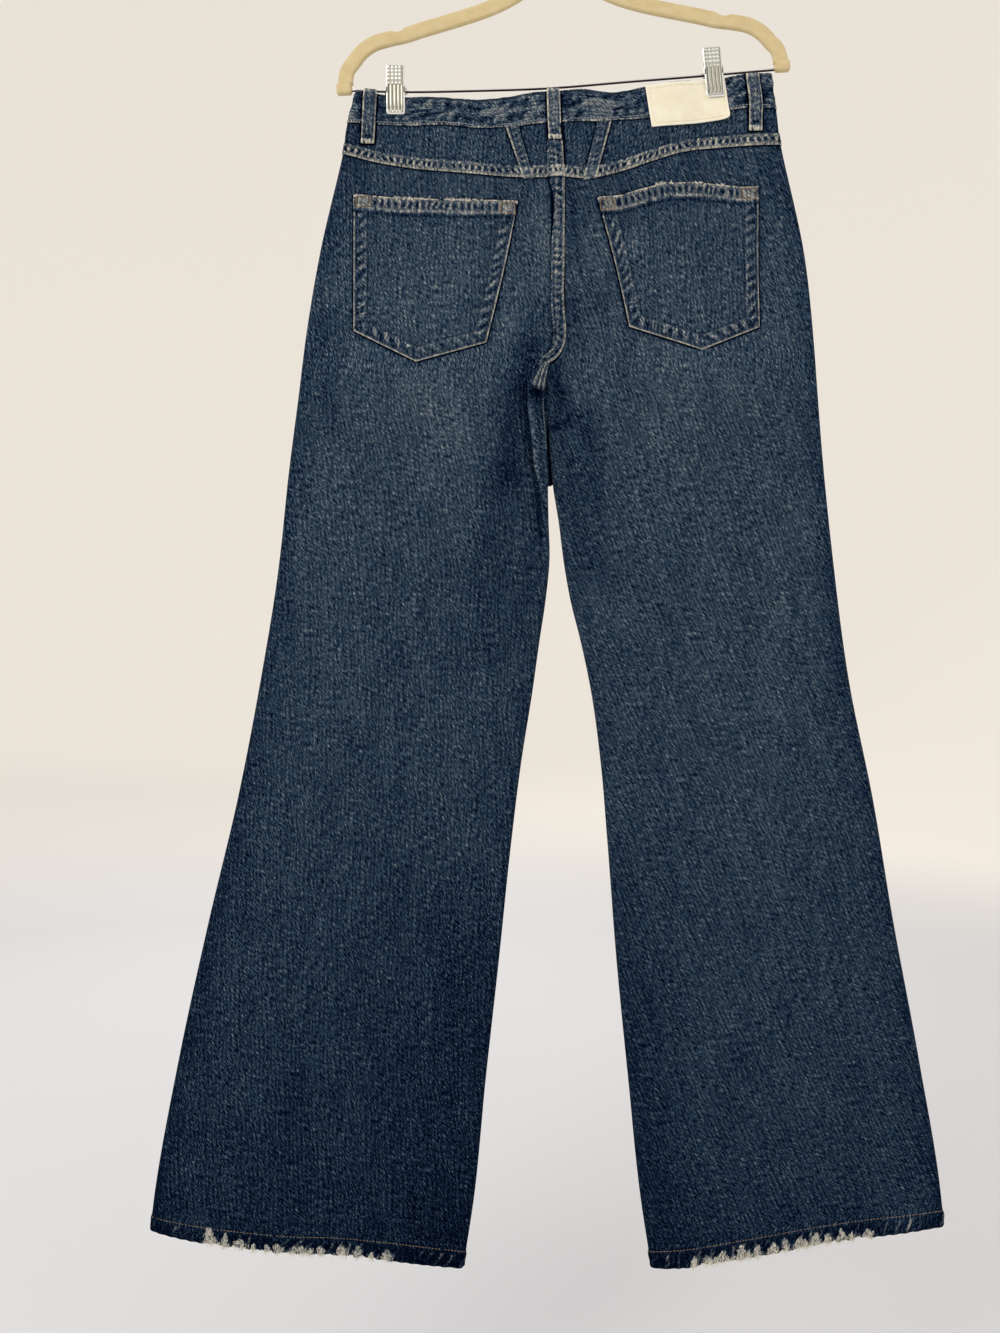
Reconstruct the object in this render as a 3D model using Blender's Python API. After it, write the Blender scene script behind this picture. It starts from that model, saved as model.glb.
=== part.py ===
"""Wide leg jeans hung by the waistband from a clip hanger (metres, +Z up).

The origin is the inner top of the hanger's hook, where a rod carries it.
+X runs to the right as the back of the jeans is seen, and the back faces -Y.
A "drop" is a distance straight down from the origin.  A "level" names one line
across a leg or the seat by the drop of its inner end.  Every panel is a wall
around one shared middle surface, so neighbours meet 0.3 mm apart at their seams.
"""
import math

import bmesh
import bpy
import numpy as np
from mathutils import Matrix, Vector

COLLECTION = "wide_leg_jeans_on_clip_hanger"
CUTTERS = "cutters"

# Cloth thicknesses, each measured out (+) or in (-) from the middle surface.
SEAM_GAP = 0.0003
HALF_CLOTH = 0.0007
BAND_OUT = 0.0012
BAND_IN = -0.0016
FELL_RISE = 0.0008
HEM_OUT = 0.0015
HEM_IN = -0.0013
LAID_CLOTH = 0.0012         # a piece that is laid on a panel
LAID_GAP = 0.0008           # room that a laid piece keeps from a line it follows
LAID_IN = HALF_CLOTH + SEAM_GAP
LAID_OUT = LAID_IN + LAID_CLOTH
POCKET_HEM_RISE = 0.0007

# Named levels.
WAIST_TOP = 0.2386
WAIST_SEAM = 0.2668
YOKE_SEAM = 0.3236
HIP = 0.402
SEAT = 0.480
CROTCH = 0.516
KNEE = 0.803
CALF = 1.173
HEM_TOP = 1.337
HEM_EDGE = 1.351
YOKE_BAND = 0.0100          # felled band above the yoke seam
CENTRE_BAND = 0.0110        # felled band beside the centre back seam

# How the cloth folds over at its sides.
FOLD_RADIUS = 0.004
ARC_SHARE = 0.1             # share of a panel's columns given to each edge
CROTCH_ROUND = 0.022        # height over which the seat closes under the crotch
SEAT_SPREAD = 0.85          # that height grows away from the centre seam
SEAT_SOFTENS = 0.030
LEG_BULGE_POWER = 0.9
FRONT_DIP = 0.020           # the front waist hangs lower than the back

# Clips: where they bite and how the cloth narrows towards them.
CLIP_PINCH = 0.0019
CLIP_REACH = 0.014
CLIP_SPREAD = 0.35
PINCH_END = 0.395


def table(columns, rows):
    """A short table as arrays, one for each named column."""
    values = np.array(rows, dtype=float)
    return {name: values[:, i] for i, name in enumerate(columns.split())}


# The silhouette's outer edges: the two side seams from waist to hem.
OUTER = table("level left_x left_drop right_x right_drop", [
    (WAIST_TOP, -0.1865, 0.2365, 0.2075, 0.2195),
    (WAIST_SEAM, -0.1935, 0.2645, 0.2120, 0.2515),
    (YOKE_SEAM, -0.1980, 0.2945, 0.2165, 0.2860),
    (HIP, -0.2190, 0.3850, 0.2380, 0.3850),
    (SEAT, -0.2340, 0.4750, 0.2480, 0.4750),
    (CROTCH, -0.2390, 0.5160, 0.2510, 0.5160),
    (0.613, -0.2500, 0.6030, 0.2580, 0.6030),
    (0.684, -0.2580, 0.6790, 0.2660, 0.6790),
    (KNEE, -0.2760, 0.7930, 0.2810, 0.7930),
    (0.922, -0.2980, 0.9070, 0.3040, 0.9070),
    (1.040, -0.3250, 1.0210, 0.3230, 1.0210),
    (CALF, -0.3530, 1.1500, 0.3470, 1.1500),
    (HEM_TOP, -0.3790, 1.3020, 0.3700, 1.2980),
    (HEM_EDGE, -0.3800, 1.3130, 0.3710, 1.3110),
])

# The centre back and front seams, down to the point of the crotch.
SEAM = table("level x", [
    (WAIST_TOP, 0.0071),
    (WAIST_SEAM, 0.0084),
    (YOKE_SEAM, 0.0115),
    (0.391, 0.0113),
    (0.455, 0.0115),
    (0.478, 0.0108),
    (0.487, 0.0086),
    (0.494, 0.0040),
    (0.500, -0.0020),
    (0.507, -0.0056),
    (CROTCH, -0.0062),
])

# The inner edges of the legs, below the crotch.
INNER = table("level left_x right_x", [
    (CROTCH, -0.0062, -0.0062),
    (0.521, -0.0073, -0.0051),
    (0.532, -0.0079, -0.0044),
    (0.550, -0.0079, -0.0033),
    (0.584, -0.0062, -0.0010),
    (0.613, -0.0045, 0.0020),
    (0.641, -0.0038, 0.0066),
    (0.679, -0.0029, 0.0114),
    (0.717, -0.0066, 0.0180),
    (0.755, -0.0123, 0.0275),
    (KNEE, -0.0190, 0.0375),
    (0.869, -0.0295, 0.0465),
    (0.945, -0.0390, 0.0530),
    (1.059, -0.0510, 0.0618),
    (CALF, -0.0636, 0.0730),
    (1.287, -0.0750, 0.0850),
    (HEM_EDGE, -0.0850, 0.0950),
])

# How far each named line hangs below the straight line between its ends.
SAG = table("across waist_top_left waist_seam_left yoke_left hem_left"
            " waist_top_right waist_seam_right yoke_right hem_right", [
    (0.00, 0, 0, 0, 0, 0, 0, 0, 0),
    (0.15, 0.0024, 0.0021, 0.0074, 0.0008, -0.0010, -0.0029, -0.0034, 0.0010),
    (0.30, 0.0053, 0.0031, 0.0096, 0.0010, 0.0001, -0.0012, -0.0060, -0.0005),
    (0.45, 0.0070, 0.0038, 0.0102, 0.0006, 0.0008, 0.0008, -0.0064, -0.0020),
    (0.60, 0.0088, 0.0058, 0.0096, -0.0015, 0.0036, 0.0021, -0.0018, -0.0010),
    (0.75, 0.0062, 0.0056, 0.0081, -0.0020, 0.0062, 0.0022, 0.0028, 0.0000),
    (0.90, 0.0010, 0.0023, 0.0048, -0.0005, 0.0003, 0.0012, 0.0041, 0.0015),
    (1.00, 0, 0, 0, 0, 0, 0, 0, 0),
])
SAG_LINES = {"waist_top": WAIST_TOP, "waist_seam": WAIST_SEAM,
             "yoke": YOKE_SEAM, "hem": HEM_EDGE}
SAG_KNOTS = np.array([WAIST_TOP, WAIST_SEAM, YOKE_SEAM, HIP, CALF, HEM_EDGE])

# Half the depth of the hanging cloth, and where across a leg it is deepest.
DEPTH = table("level back_left back_right front_left front_right"
              " peak_left peak_right inner_zone", [
    (WAIST_TOP, 0.0080, 0.0080, 0.0080, 0.0080, 0.50, 0.50, CENTRE_BAND),
    (WAIST_SEAM, 0.0090, 0.0090, 0.0085, 0.0085, 0.50, 0.50, CENTRE_BAND),
    (YOKE_SEAM, 0.0125, 0.0125, 0.0100, 0.0100, 0.50, 0.50, CENTRE_BAND),
    (HIP, 0.0160, 0.0160, 0.0130, 0.0130, 0.50, 0.50, CENTRE_BAND),
    (SEAT, 0.0170, 0.0170, 0.0140, 0.0140, 0.50, 0.50, CENTRE_BAND),
    (CROTCH, 0.0160, 0.0160, 0.0140, 0.0140, 0.50, 0.50, 0.0120),
    (0.613, 0.0150, 0.0150, 0.0140, 0.0140, 0.50, 0.50, 0.0090),
    (KNEE, 0.0140, 0.0140, 0.0140, 0.0140, 0.47, 0.52, 0.0050),
    (1.040, 0.0145, 0.0130, 0.0145, 0.0140, 0.42, 0.58, 0.0045),
    (CALF, 0.0150, 0.0120, 0.0150, 0.0140, 0.37, 0.64, 0.0045),
    (HEM_EDGE, 0.0160, 0.0110, 0.0150, 0.0140, 0.33, 0.69, 0.0045),
])

# The largest folds: soft ridges (+) and troughs (-) that run down the cloth.
FOLDS = table("face x top bottom lean width depth", [
    (-1, -0.0250, 0.535, 0.720, 0.10, 0.0060, -0.0030),
    (-1, -0.0150, 0.530, 0.640, 0.12, 0.0050, 0.0012),
    (-1, 0.0240, 0.560, 0.720, 0.08, 0.0110, -0.0024),
    (-1, -0.1500, 0.330, 0.520, -0.12, 0.0280, -0.0016),
    (-1, 0.1480, 0.320, 0.500, 0.10, 0.0300, -0.0014),
    (-1, -0.1450, 0.640, 1.080, -0.10, 0.0320, -0.0022),
    (-1, 0.1600, 0.700, 1.160, 0.10, 0.0300, -0.0020),
    (-1, -0.1500, 1.020, 1.400, -0.18, 0.0300, -0.0030),
    (-1, 0.2550, 1.000, 1.400, 0.16, 0.0320, -0.0026),
    (1, -0.0600, 0.420, 0.640, -0.35, 0.0140, -0.0030),
    (1, 0.0640, 0.410, 0.620, 0.38, 0.0130, -0.0028),
    (1, -0.0900, 0.380, 0.520, -0.70, 0.0110, -0.0020),
    (1, 0.1000, 0.390, 0.540, 0.66, 0.0120, -0.0022),
    (1, -0.1750, 0.700, 1.120, -0.12, 0.0300, -0.0024),
    (1, 0.1500, 0.680, 1.080, 0.10, 0.0300, -0.0026),
    (1, -0.2250, 1.040, 1.400, -0.18, 0.0320, -0.0034),
    (1, 0.2200, 1.060, 1.400, 0.17, 0.0300, -0.0030),
])

# Rows and columns of the panels' grids.
BODY_LEVELS = (0.338, 0.368, HIP, 0.436, 0.464, 0.480, 0.487, 0.494, 0.500,
               0.507, 0.512, CROTCH, 0.521, 0.529, 0.545, 0.575, 0.613, 0.660,
               0.725, KNEE, 0.895, 1.020, CALF, 1.260)
YOKE_LEVELS = (0.280, 0.294, 0.306)
BAND_LEVELS = (0.2480, 0.2575)
STEP = 0.0005               # run of a step in thickness
ARC_TURNS = (0.0, 0.42, 1.0)
COLUMN_PLACES = {           # where each half's columns cross the waistband
    "left": (-0.1700, -0.1590, -0.1488, -0.1386, -0.1270, -0.1110,
             -0.0900, -0.0680, -0.0460, -0.0230),
    "right": (0.1870, 0.1740, 0.1655, 0.1546, 0.1440, 0.1370, 0.1270, 0.1140,
              0.0940, 0.0700, 0.0460, 0.0270),
}
COLUMN_LEVEL = 0.252

# The front pockets' curved openings, and the facings that show in them.
SCOOP_COLUMN = {"left": 9, "right": 11}     # where the opening meets the waistband
SCOOP_DROP = 0.078
SCOOP_ROUND = 0.75          # under 1 makes the curve fuller at its corner
SCOOP_ROWS = 5
FACING_TUCK = 0.018
FACING_EDGE = 0.012         # the facing stops just short of the side seam
FACING_OUT = -LAID_IN
FACING_IN = FACING_OUT - LAID_CLOTH

# The back pockets, as drops of their outlines.
POCKET_LEFT = {
    "top": [(-0.1869, 0.3350), (-0.1460, 0.3397), (-0.0868, 0.3431), (-0.0331, 0.3451)],
    "bottom": [(-0.1868, 0.4642), (-0.1279, 0.4948), (-0.0625, 0.4773)],
    "side": (0.0, 0.0),
}
POCKET_RIGHT = {
    "top": [(0.0421, 0.3419), (0.0636, 0.3397), (0.0830, 0.3332), (0.1060, 0.3269),
            (0.1312, 0.3253), (0.1561, 0.3274), (0.1797, 0.3292), (0.1939, 0.3278)],
    "bottom": [(0.0714, 0.4627), (0.1395, 0.4836), (0.1940, 0.4610)],
    "side": (0.0030, -0.0010),
}
POCKET_HEM = 0.0145
POCKET_SHARES = (0, 0.12, 0.26, 0.38, 0.5, 0.62, 0.76, 0.88, 1)     # the tip is at 0.5
POCKET_ROWS = (0.28, 0.46, 0.64, 0.82, 1.0)

# The patch and the felled dart strips, as corners.
PATCH = {"top": [(0.0875, 0.2347), (0.1627, 0.2234)],
         "bottom": [(0.0933, 0.2730), (0.1682, 0.2615)], "side": (0.0, 0.0)}
PATCH_IN = BAND_OUT + 2 * SEAM_GAP
PATCH_OUT = PATCH_IN + LAID_CLOTH
DART_LEFT = {"top": [(-0.0438, 0.2732), (-0.0331, 0.2720)],
             "bottom": [(-0.0290, 0.3130), (-0.0200, 0.3126)], "side": (0.0, 0.0)}
DART_RIGHT = {"top": [(0.0429, 0.2680), (0.0548, 0.2674)],
              "bottom": [(0.0300, 0.3126), (0.0400, 0.3112)], "side": (0.0, 0.0)}
DART_OUT = LAID_IN + 0.0010

# Belt loops: the middle of each one's top and bottom.
LOOP_WIDTH = 0.0140
LOOP_THICK = 0.0019
LOOP_PLACES = table("across thick", [(-0.5, 0.7), (-0.25, 1), (0.25, 1), (0.5, 0.7)])
LOOPS = {
    "belt_loop_back_left": (-1, (-0.1721, 0.2337), (-0.1752, 0.2862)),
    "belt_loop_back_centre": (-1, (0.0015, 0.2352), (0.0021, 0.2865)),
    "belt_loop_back_right": (-1, (0.1896, 0.2165), (0.1926, 0.2740)),
    "belt_loop_front_left": (1, (-0.1020, 0.2420), (-0.1030, 0.2990)),
    "belt_loop_front_right": (1, (0.1090, 0.2340), (0.1100, 0.2930)),
}
LOOP_ROWS = table("along lift", [
    (0.00, 0.0016),
    (0.09, 0.0015),
    (0.22, 0.0017),
    (0.45, 0.0019),
    (0.60, 0.0017),
    (0.72, 0.0011),
    (0.86, 0.0010),
    (1.00, 0.0010),
])

# The fly and its button.
FLY_WIDTH = 0.038
FLY_LAP = 0.003
FLY_LENGTH = 0.140
FLY_FOOT = 0.45             # share of its length that the foot's curve takes
FLY_OUT = LAID_IN + 0.0011
BUTTON_RADIUS = 0.0085
BUTTON_HEIGHT = 0.0034
BUTTON_BELOW_TOP = 0.014
BUTTON_ASIDE = 0.004
BUTTON_PROFILE = table("radius height", [
    (0.00, 0.65), (0.62, 0.65), (0.80, 1.00), (1.00, 0.80),
    (1.00, 0.35), (0.45, 0.35), (0.45, 0.00), (0.00, 0.00),
])

# The hanger, drawn level and then turned to the tilt that it hangs at.
TILT = math.radians(2.8)
ARM_WIDTH = 0.0140
ARM_THICK = 0.0056
ARM_EDGE = 0.0012
ARM = table("x z", [
    (-0.2068, -0.2120),
    (-0.2044, -0.2042),
    (-0.1984, -0.1972),
    (-0.1915, -0.1889),
    (-0.1801, -0.1809),
    (-0.1633, -0.1763),
    (-0.1474, -0.1735),
    (-0.1325, -0.1694),
    (-0.1061, -0.1631),
    (-0.0786, -0.1561),
    (-0.0636, -0.1519),
    (-0.0422, -0.1425),
    (-0.0224, -0.1273),
    (-0.0090, -0.1070),
    (0.0000, -0.0900),
])
ARM_SAMPLES = 26
NOTCH_X = 0.1535
NOTCH_HALF = 0.0055
NOTCH_DEEP = 0.0022
NECK_HALF = 0.0068
NECK_TOP = -0.0880
NECK_BEVEL = (0.0020, 0.0040)
ARM_MEETS_NECK = 0.0010
UNDER_MEETS = 0.0040        # half the run between the arms' lower edges
CROOK_Z = -0.1190
CAP_SIZE = (0.0150, 0.0070, 0.0112)
CAP_ROUND = 0.0016
CAP_PLACES = {"hanger_end_left": (-0.1972, -0.2316), "hanger_end_right": (0.2185, -0.2096)}

HOOK_RADIUS = 0.0209
HOOK_WIRE = 0.0019
HOOK_LEAVES = math.radians(-58)
HOOK_ENDS = math.radians(205)
HOOK_STEPS = 22
SHANK_STRAIGHT = 0.020
SHANK_SHARES = (0.35, 0.60, 0.82)

BAR_RADIUS = 0.0013
BAR = table("x drop", [
    (-0.1893, 0.2328),
    (-0.1482, 0.2339),
    (-0.0684, 0.2328),
    (-0.0057, 0.2306),
    (0.0741, 0.2242),
    (0.1425, 0.2188),
    (0.2106, 0.2130),
])
BAR_SAMPLES = 24

# The clips: top centre, lean, and how far the back and front jaws stand off.
CLIPS = {
    "left": ((-0.1488, 0.2071), 0.0, 0.0034, 0.0034),
    "right": ((0.1520, 0.1906), math.radians(4.3), 0.0054, 0.0037),
}
CLIP_WIDTH = 0.0175
CLIP_LENGTH = 0.0495
CLIP_SHEET = 0.0009
RIB_HEIGHT = 0.0005
RIB_COUNT = 4
CLIP_PROFILE = table("along stand rib", [
    (0.0000, 0.0072, 0.0),
    (0.0190, 0.0048, 0.0),
    (0.0225, 0.0042, 1.0),
    (0.0320, 0.0026, 1.0),
    (0.0430, 0.0008, 1.0),
    (0.0460, 0.0000, 0.0),
    (0.0495, 0.0000, 0.0),
])
EAR_ALONG = (0.0235, 0.0310)
EAR_END = 0.0020
EAR_BITE = 0.0004           # how far an ear runs into its plate
EAR_INSET = 0.00054
SPRING_RADIUS = 0.0032
SPRING_BORE = 0.0016
SPRING_HALF = 0.0060
SPRING_REACH = 0.004        # run of the bar that gives the sleeve its slope

# Colours from the photo, as linear base colour, roughness and metallic.
LOOKS = {
    "denim": ((0.036, 0.062, 0.105), 0.90, 0.0),
    "denim_band": ((0.042, 0.070, 0.112), 0.90, 0.0),
    "denim_worn": ((0.105, 0.130, 0.150), 0.90, 0.0),
    "patch": ((0.850, 0.790, 0.640), 0.65, 0.0),
    "velvet": ((0.780, 0.640, 0.400), 0.95, 0.0),
    "steel": ((0.700, 0.690, 0.650), 0.30, 1.0),
    "button": ((0.420, 0.330, 0.230), 0.40, 1.0),
}


# ---------------------------------------------------------------- the cloth

def smooth(at, knots, values):
    """A smooth curve through (knots, values), read at one or many places."""
    slopes = np.gradient(values, knots)
    i = np.clip(np.searchsorted(knots, at) - 1, 0, len(knots) - 2)
    step = knots[i + 1] - knots[i]
    t = np.clip((at - knots[i]) / step, -0.3, 1.3)
    start = values[i] * (1 + 2 * t) * (1 - t) ** 2 + slopes[i] * step * t * (1 - t) ** 2
    end = values[i + 1] * t * t * (3 - 2 * t) + slopes[i + 1] * step * t * t * (t - 1)
    return start + end


def ease(t):
    t = np.clip(t, 0.0, 1.0)
    return t * t * (3 - 2 * t)


def seat_share(level, from_seam=0.0):
    """1 where the two halves are one tube, 0 where the legs have parted.

    The change is sudden and round at the crotch, and longer away from it.
    """
    above = CROTCH_ROUND + SEAT_SPREAD * from_seam
    below = SEAT_SPREAD * from_seam
    t = np.clip((level - CROTCH + above) / (above + below), 0.0, 1.0)
    far = np.clip(from_seam / SEAT_SOFTENS, 0.0, 1.0)
    return (1 - far) * np.sqrt(1 - t * t) + far * (1 - ease(t))


def inner_x(side, level):
    seam = smooth(np.minimum(level, CROTCH), SEAM["level"], SEAM["x"])
    leg = smooth(np.maximum(level, CROTCH), INNER["level"], INNER[side + "_x"])
    return np.where(level <= CROTCH, seam, leg)


def outer_edge(side, level):
    return (smooth(level, OUTER["level"], OUTER[side + "_x"]),
            smooth(level, OUTER["level"], OUTER[side + "_drop"]))


def sag(side, across, level):
    """Extra drop of the lines across a panel, zero between hip and calf."""
    total = 0.0
    for line, at in SAG_LINES.items():
        share = np.interp(level, SAG_KNOTS, (SAG_KNOTS == at).astype(float))
        total = total + share * smooth(across, SAG["across"], SAG[line + "_" + side])
    return total


def front_dip(face, across, level):
    if face < 0:
        return 0.0
    return FRONT_DIP * ease(across) * (1 - ease((level - WAIST_TOP) / (SEAT - WAIST_TOP)))


def drop_at(side, face, across, level):
    outer_drop = outer_edge(side, level)[1]
    line = outer_drop + (level - outer_drop) * across
    return line + sag(side, across, level) + front_dip(face, across, level)


def pinch(x, level):
    """How much the clips press the cloth together at a place."""
    below = np.maximum(level - WAIST_TOP, 0.0)
    total = 0.0
    for (clip_x, _), _, _, _ in CLIPS.values():
        beyond = np.maximum(np.abs(x - clip_x) - CLIP_WIDTH / 2, 0.0)
        reach = CLIP_REACH + CLIP_SPREAD * below
        total = total + np.exp(-(beyond / reach) ** 2)
    return total * (1 - ease((level - WAIST_SEAM) / (PINCH_END - WAIST_SEAM)))


def fold_depth(face, x, drop):
    total = 0.0
    for i in range(len(FOLDS["x"])):
        if FOLDS["face"][i] != face:
            continue
        run = (drop - FOLDS["top"][i]) / (FOLDS["bottom"][i] - FOLDS["top"][i])
        along = np.sin(math.pi * np.clip(run, 0.0, 1.0)) ** 1.3
        middle = FOLDS["x"][i] + FOLDS["lean"][i] * (drop - FOLDS["top"][i])
        total = total + FOLDS["depth"][i] * along * np.exp(-((x - middle) / FOLDS["width"][i]) ** 2)
    return total


def cloth(side, face, across, level, rise):
    """Points of the middle surface: a share across a panel, at a level."""
    out_x = outer_edge(side, level)[0]
    in_x = inner_x(side, level) + (-1 if side == "left" else 1) * SEAM_GAP / 2
    x = out_x + (in_x - out_x) * across
    drop = drop_at(side, face, across, level)
    seat = seat_share(level, np.abs(in_x - out_x) * (1 - np.clip(across, 0, 1)))
    peak = smooth(level, DEPTH["level"], DEPTH["peak_" + side])
    leg_bulge = np.clip(across, 0, 1) ** (math.log(0.5) / np.log(peak))
    leg_bulge = np.maximum(np.sin(math.pi * leg_bulge), 0.0) ** LEG_BULGE_POWER
    bulge = seat * np.sin(math.pi / 2 * across) + (1 - seat) * leg_bulge
    name = ("back_" if face < 0 else "front_") + side
    depth = smooth(level, DEPTH["level"], DEPTH[name])
    half = FOLD_RADIUS * rise + (depth - FOLD_RADIUS) * bulge
    press = np.clip(pinch(x, level), 0, 1) * rise
    half = half * (1 - press) + CLIP_PINCH * press
    half = half + fold_depth(face, x, drop) * rise
    return np.stack([x, face * (half + SEAM_GAP / 2), -drop], axis=-1)


def by_column(side, face, column, level):
    """The middle surface by column: 0 at the side seam, 1 at the inner edge."""
    seat = seat_share(level)
    zone = smooth(level, DEPTH["level"], DEPTH["inner_zone"])
    width = np.abs(inner_x(side, level) - outer_edge(side, level)[0])
    turn_out = np.clip(column / ARC_SHARE, 0, 1) * math.pi / 2
    turn_in = np.clip((1 - column) / ARC_SHARE, 0, 1) * math.pi / 2
    from_inner = zone * (seat * turn_in * 2 / math.pi + (1 - seat) * (1 - np.cos(turn_in)))
    middle = np.clip((column - ARC_SHARE) / (1 - 2 * ARC_SHARE), 0, 1)
    run = FOLD_RADIUS + middle * (width - FOLD_RADIUS - zone)
    run = np.where(column < ARC_SHARE, FOLD_RADIUS * (1 - np.cos(turn_out)), run)
    run = np.where(column > 1 - ARC_SHARE, width - from_inner, run)
    rise = np.sin(turn_out) * (seat + (1 - seat) * np.sin(turn_in))
    return cloth(side, face, run / width, level, rise)


def unit(v):
    return v / np.linalg.norm(v, axis=-1, keepdims=True)


def column_normals(side, face, column, level):
    """Outward normals, the same for the panels on both sides of a seam."""
    nudge_c = 0.002
    nudge_l = 0.0006
    lower, upper = np.maximum(column - nudge_c, 0), np.minimum(column + nudge_c, 1)
    over = by_column(side, face, upper, level) - by_column(side, face, lower, level)
    down = by_column(side, face, column, level) - by_column(side, face, column, level - nudge_l)
    way = face * (1 if side == "left" else -1)
    normal = unit(way * np.cross(over, down))
    on_seam = (column > 1 - 1e-9) & (level <= CROTCH + 1e-9)
    seam = -face * np.stack([0 * level, down[..., 2], -down[..., 1]], axis=-1)
    return np.where(on_seam[..., None], unit(seam), normal)


def at_place(face, x, drop):
    """The middle surface at a place seen square on: a share and a level."""
    x = np.asarray(x, dtype=float)
    drop = np.asarray(drop, dtype=float)
    points = {}
    for side in ("left", "right"):
        level = drop.copy()
        for _ in range(30):
            out_x = outer_edge(side, level)[0]
            across = np.clip((x - out_x) / (inner_x(side, level) - out_x), 0, 1)
            level = level + 0.8 * (drop - drop_at(side, face, across, level))
        edge = np.abs(x - outer_edge(side, level)[0])
        rise = np.sqrt(np.maximum(1 - (1 - np.minimum(edge / FOLD_RADIUS, 1)) ** 2, 0))
        points[side] = cloth(side, face, across, level, rise)
    left = x < inner_x("left", drop)
    y = np.where(left, points["left"][..., 1], points["right"][..., 1])
    return np.stack([x, y, -drop], axis=-1)


def laid(face, x, drop, lift):
    """Points that lie on the cloth, moved out from it by lift."""
    nudge = 0.0015
    here = at_place(face, x, drop)
    over = at_place(face, x + nudge, drop) - at_place(face, x - nudge, drop)
    down = at_place(face, x, drop + nudge) - at_place(face, x, drop - nudge)
    normal = unit(-face * np.cross(down, over))
    return here + normal * np.asarray(lift)[..., None]


# ---------------------------------------------------------------- building

SHARP = math.radians(40)


def clear_scene():
    for item in list(bpy.data.objects):
        bpy.data.objects.remove(item, do_unlink=True)


def collection(name):
    group = bpy.data.collections.new(name)
    bpy.context.scene.collection.children.link(group)
    return group


def material(node, look):
    colour, roughness, metallic = LOOKS[look]
    made = bpy.data.materials.new(node)
    made.use_nodes = True
    shader = made.node_tree.nodes["Principled BSDF"]
    shader.inputs["Base Color"].default_value = (*colour, 1.0)
    shader.inputs["Roughness"].default_value = roughness
    shader.inputs["Metallic"].default_value = metallic
    made.diffuse_color = (*colour, 1.0)
    return made


def add(group, node, mesh, look):
    """Put a finished mesh in the collection under its node's name."""
    item = bpy.data.objects.new(node, mesh)
    mesh.materials.clear()
    mesh.materials.append(material(node, look))
    mesh.shade_smooth()
    mesh.set_sharp_from_angle(angle=SHARP)
    group.objects.link(item)
    return item


def wall_mesh(node, outer, inner):
    """Loft a closed wall between an outer and an inner grid of points."""
    rows, cols = outer.shape[:2]
    bm = bmesh.new()
    skins = []
    for grid in (outer, inner):
        skins.append([[bm.verts.new(grid[r, c]) for c in range(cols)] for r in range(rows)])
    for skin in skins:
        for r in range(rows - 1):
            for c in range(cols - 1):
                bm.faces.new((skin[r][c], skin[r][c + 1], skin[r + 1][c + 1], skin[r + 1][c]))
    rim = [(0, c) for c in range(cols)] + [(r, cols - 1) for r in range(1, rows)]
    rim += [(rows - 1, c) for c in range(cols - 2, -1, -1)] + [(r, 0) for r in range(rows - 2, 0, -1)]
    for (r0, c0), (r1, c1) in zip(rim, rim[1:] + rim[:1]):
        bm.faces.new((skins[0][r0][c0], skins[0][r1][c1], skins[1][r1][c1], skins[1][r0][c0]))
    bmesh.ops.recalc_face_normals(bm, faces=bm.faces)
    mesh = bpy.data.meshes.new(node)
    bm.to_mesh(mesh)
    bm.free()
    return mesh


def columns_of(side):
    """Columns of one half: arcs at both edges, and closest beside the clip."""
    edge = [ARC_SHARE * turn for turn in ARC_TURNS]
    start = outer_edge(side, COLUMN_LEVEL)[0]
    width = abs(inner_x(side, COLUMN_LEVEL) - start)
    run = np.abs(np.array(COLUMN_PLACES[side]) - start)
    share = (run - FOLD_RADIUS) / (width - FOLD_RADIUS - CENTRE_BAND)
    middle = ARC_SHARE + share * (1 - 2 * ARC_SHARE)
    return np.array(edge + list(middle) + [1 - e for e in reversed(edge)])


def grid_of(side, face, columns, levels):
    """Middle points and normals for every column and level of one panel."""
    level = levels if levels.ndim == 2 else np.repeat(levels[:, None], len(columns), axis=1)
    column = np.broadcast_to(columns, level.shape)
    return by_column(side, face, column, level), column_normals(side, face, column, level)


def panel(group, node, side, face, levels, lift_out, lift_in, look, columns=None):
    columns = columns_of(side) if columns is None else columns
    points, normals = grid_of(side, face, columns, np.asarray(levels, dtype=float))
    mesh = wall_mesh(node, points + normals * lift_out[..., None],
                     points + normals * lift_in[..., None])
    return add(group, node, mesh, look)


def spread(rows, cols, value):
    return np.full((rows, cols), float(value))


# ---------------------------------------------------------------- the jeans

def waistband_back(group):
    levels = np.array((WAIST_TOP,) + BAND_LEVELS + (WAIST_SEAM - SEAM_GAP / 2,))
    parts = [grid_of(side, -1, columns_of(side), levels) for side in ("left", "right")]
    left = [grid[:, :-1] for grid in parts[0]]
    right = [grid[:, ::-1] for grid in parts[1]]
    points = np.concatenate([left[0], right[0]], axis=1)
    normals = np.concatenate([left[1], right[1]], axis=1)
    mesh = wall_mesh("waistband_back", points + normals * BAND_OUT, points + normals * BAND_IN)
    add(group, "waistband_back", mesh, "denim_band")


def waistband_front(group, side):
    levels = np.array((WAIST_TOP,) + BAND_LEVELS + (WAIST_SEAM - SEAM_GAP / 2,))
    shape = (len(levels), len(columns_of(side)))
    panel(group, "waistband_front_" + side, side, 1, levels, spread(*shape, BAND_OUT),
          spread(*shape, BAND_IN), "denim_band")


def yoke(group, side):
    band = YOKE_SEAM - YOKE_BAND
    levels = np.array((WAIST_SEAM + SEAM_GAP / 2,) + YOKE_LEVELS
                      + (band - STEP, band, YOKE_SEAM - SEAM_GAP / 2))
    shape = (len(levels), len(columns_of(side)))
    out = spread(*shape, HALF_CLOTH)
    out[-2:] += FELL_RISE
    panel(group, "yoke_" + side, side, -1, levels, out, spread(*shape, -HALF_CLOTH), "denim")


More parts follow.
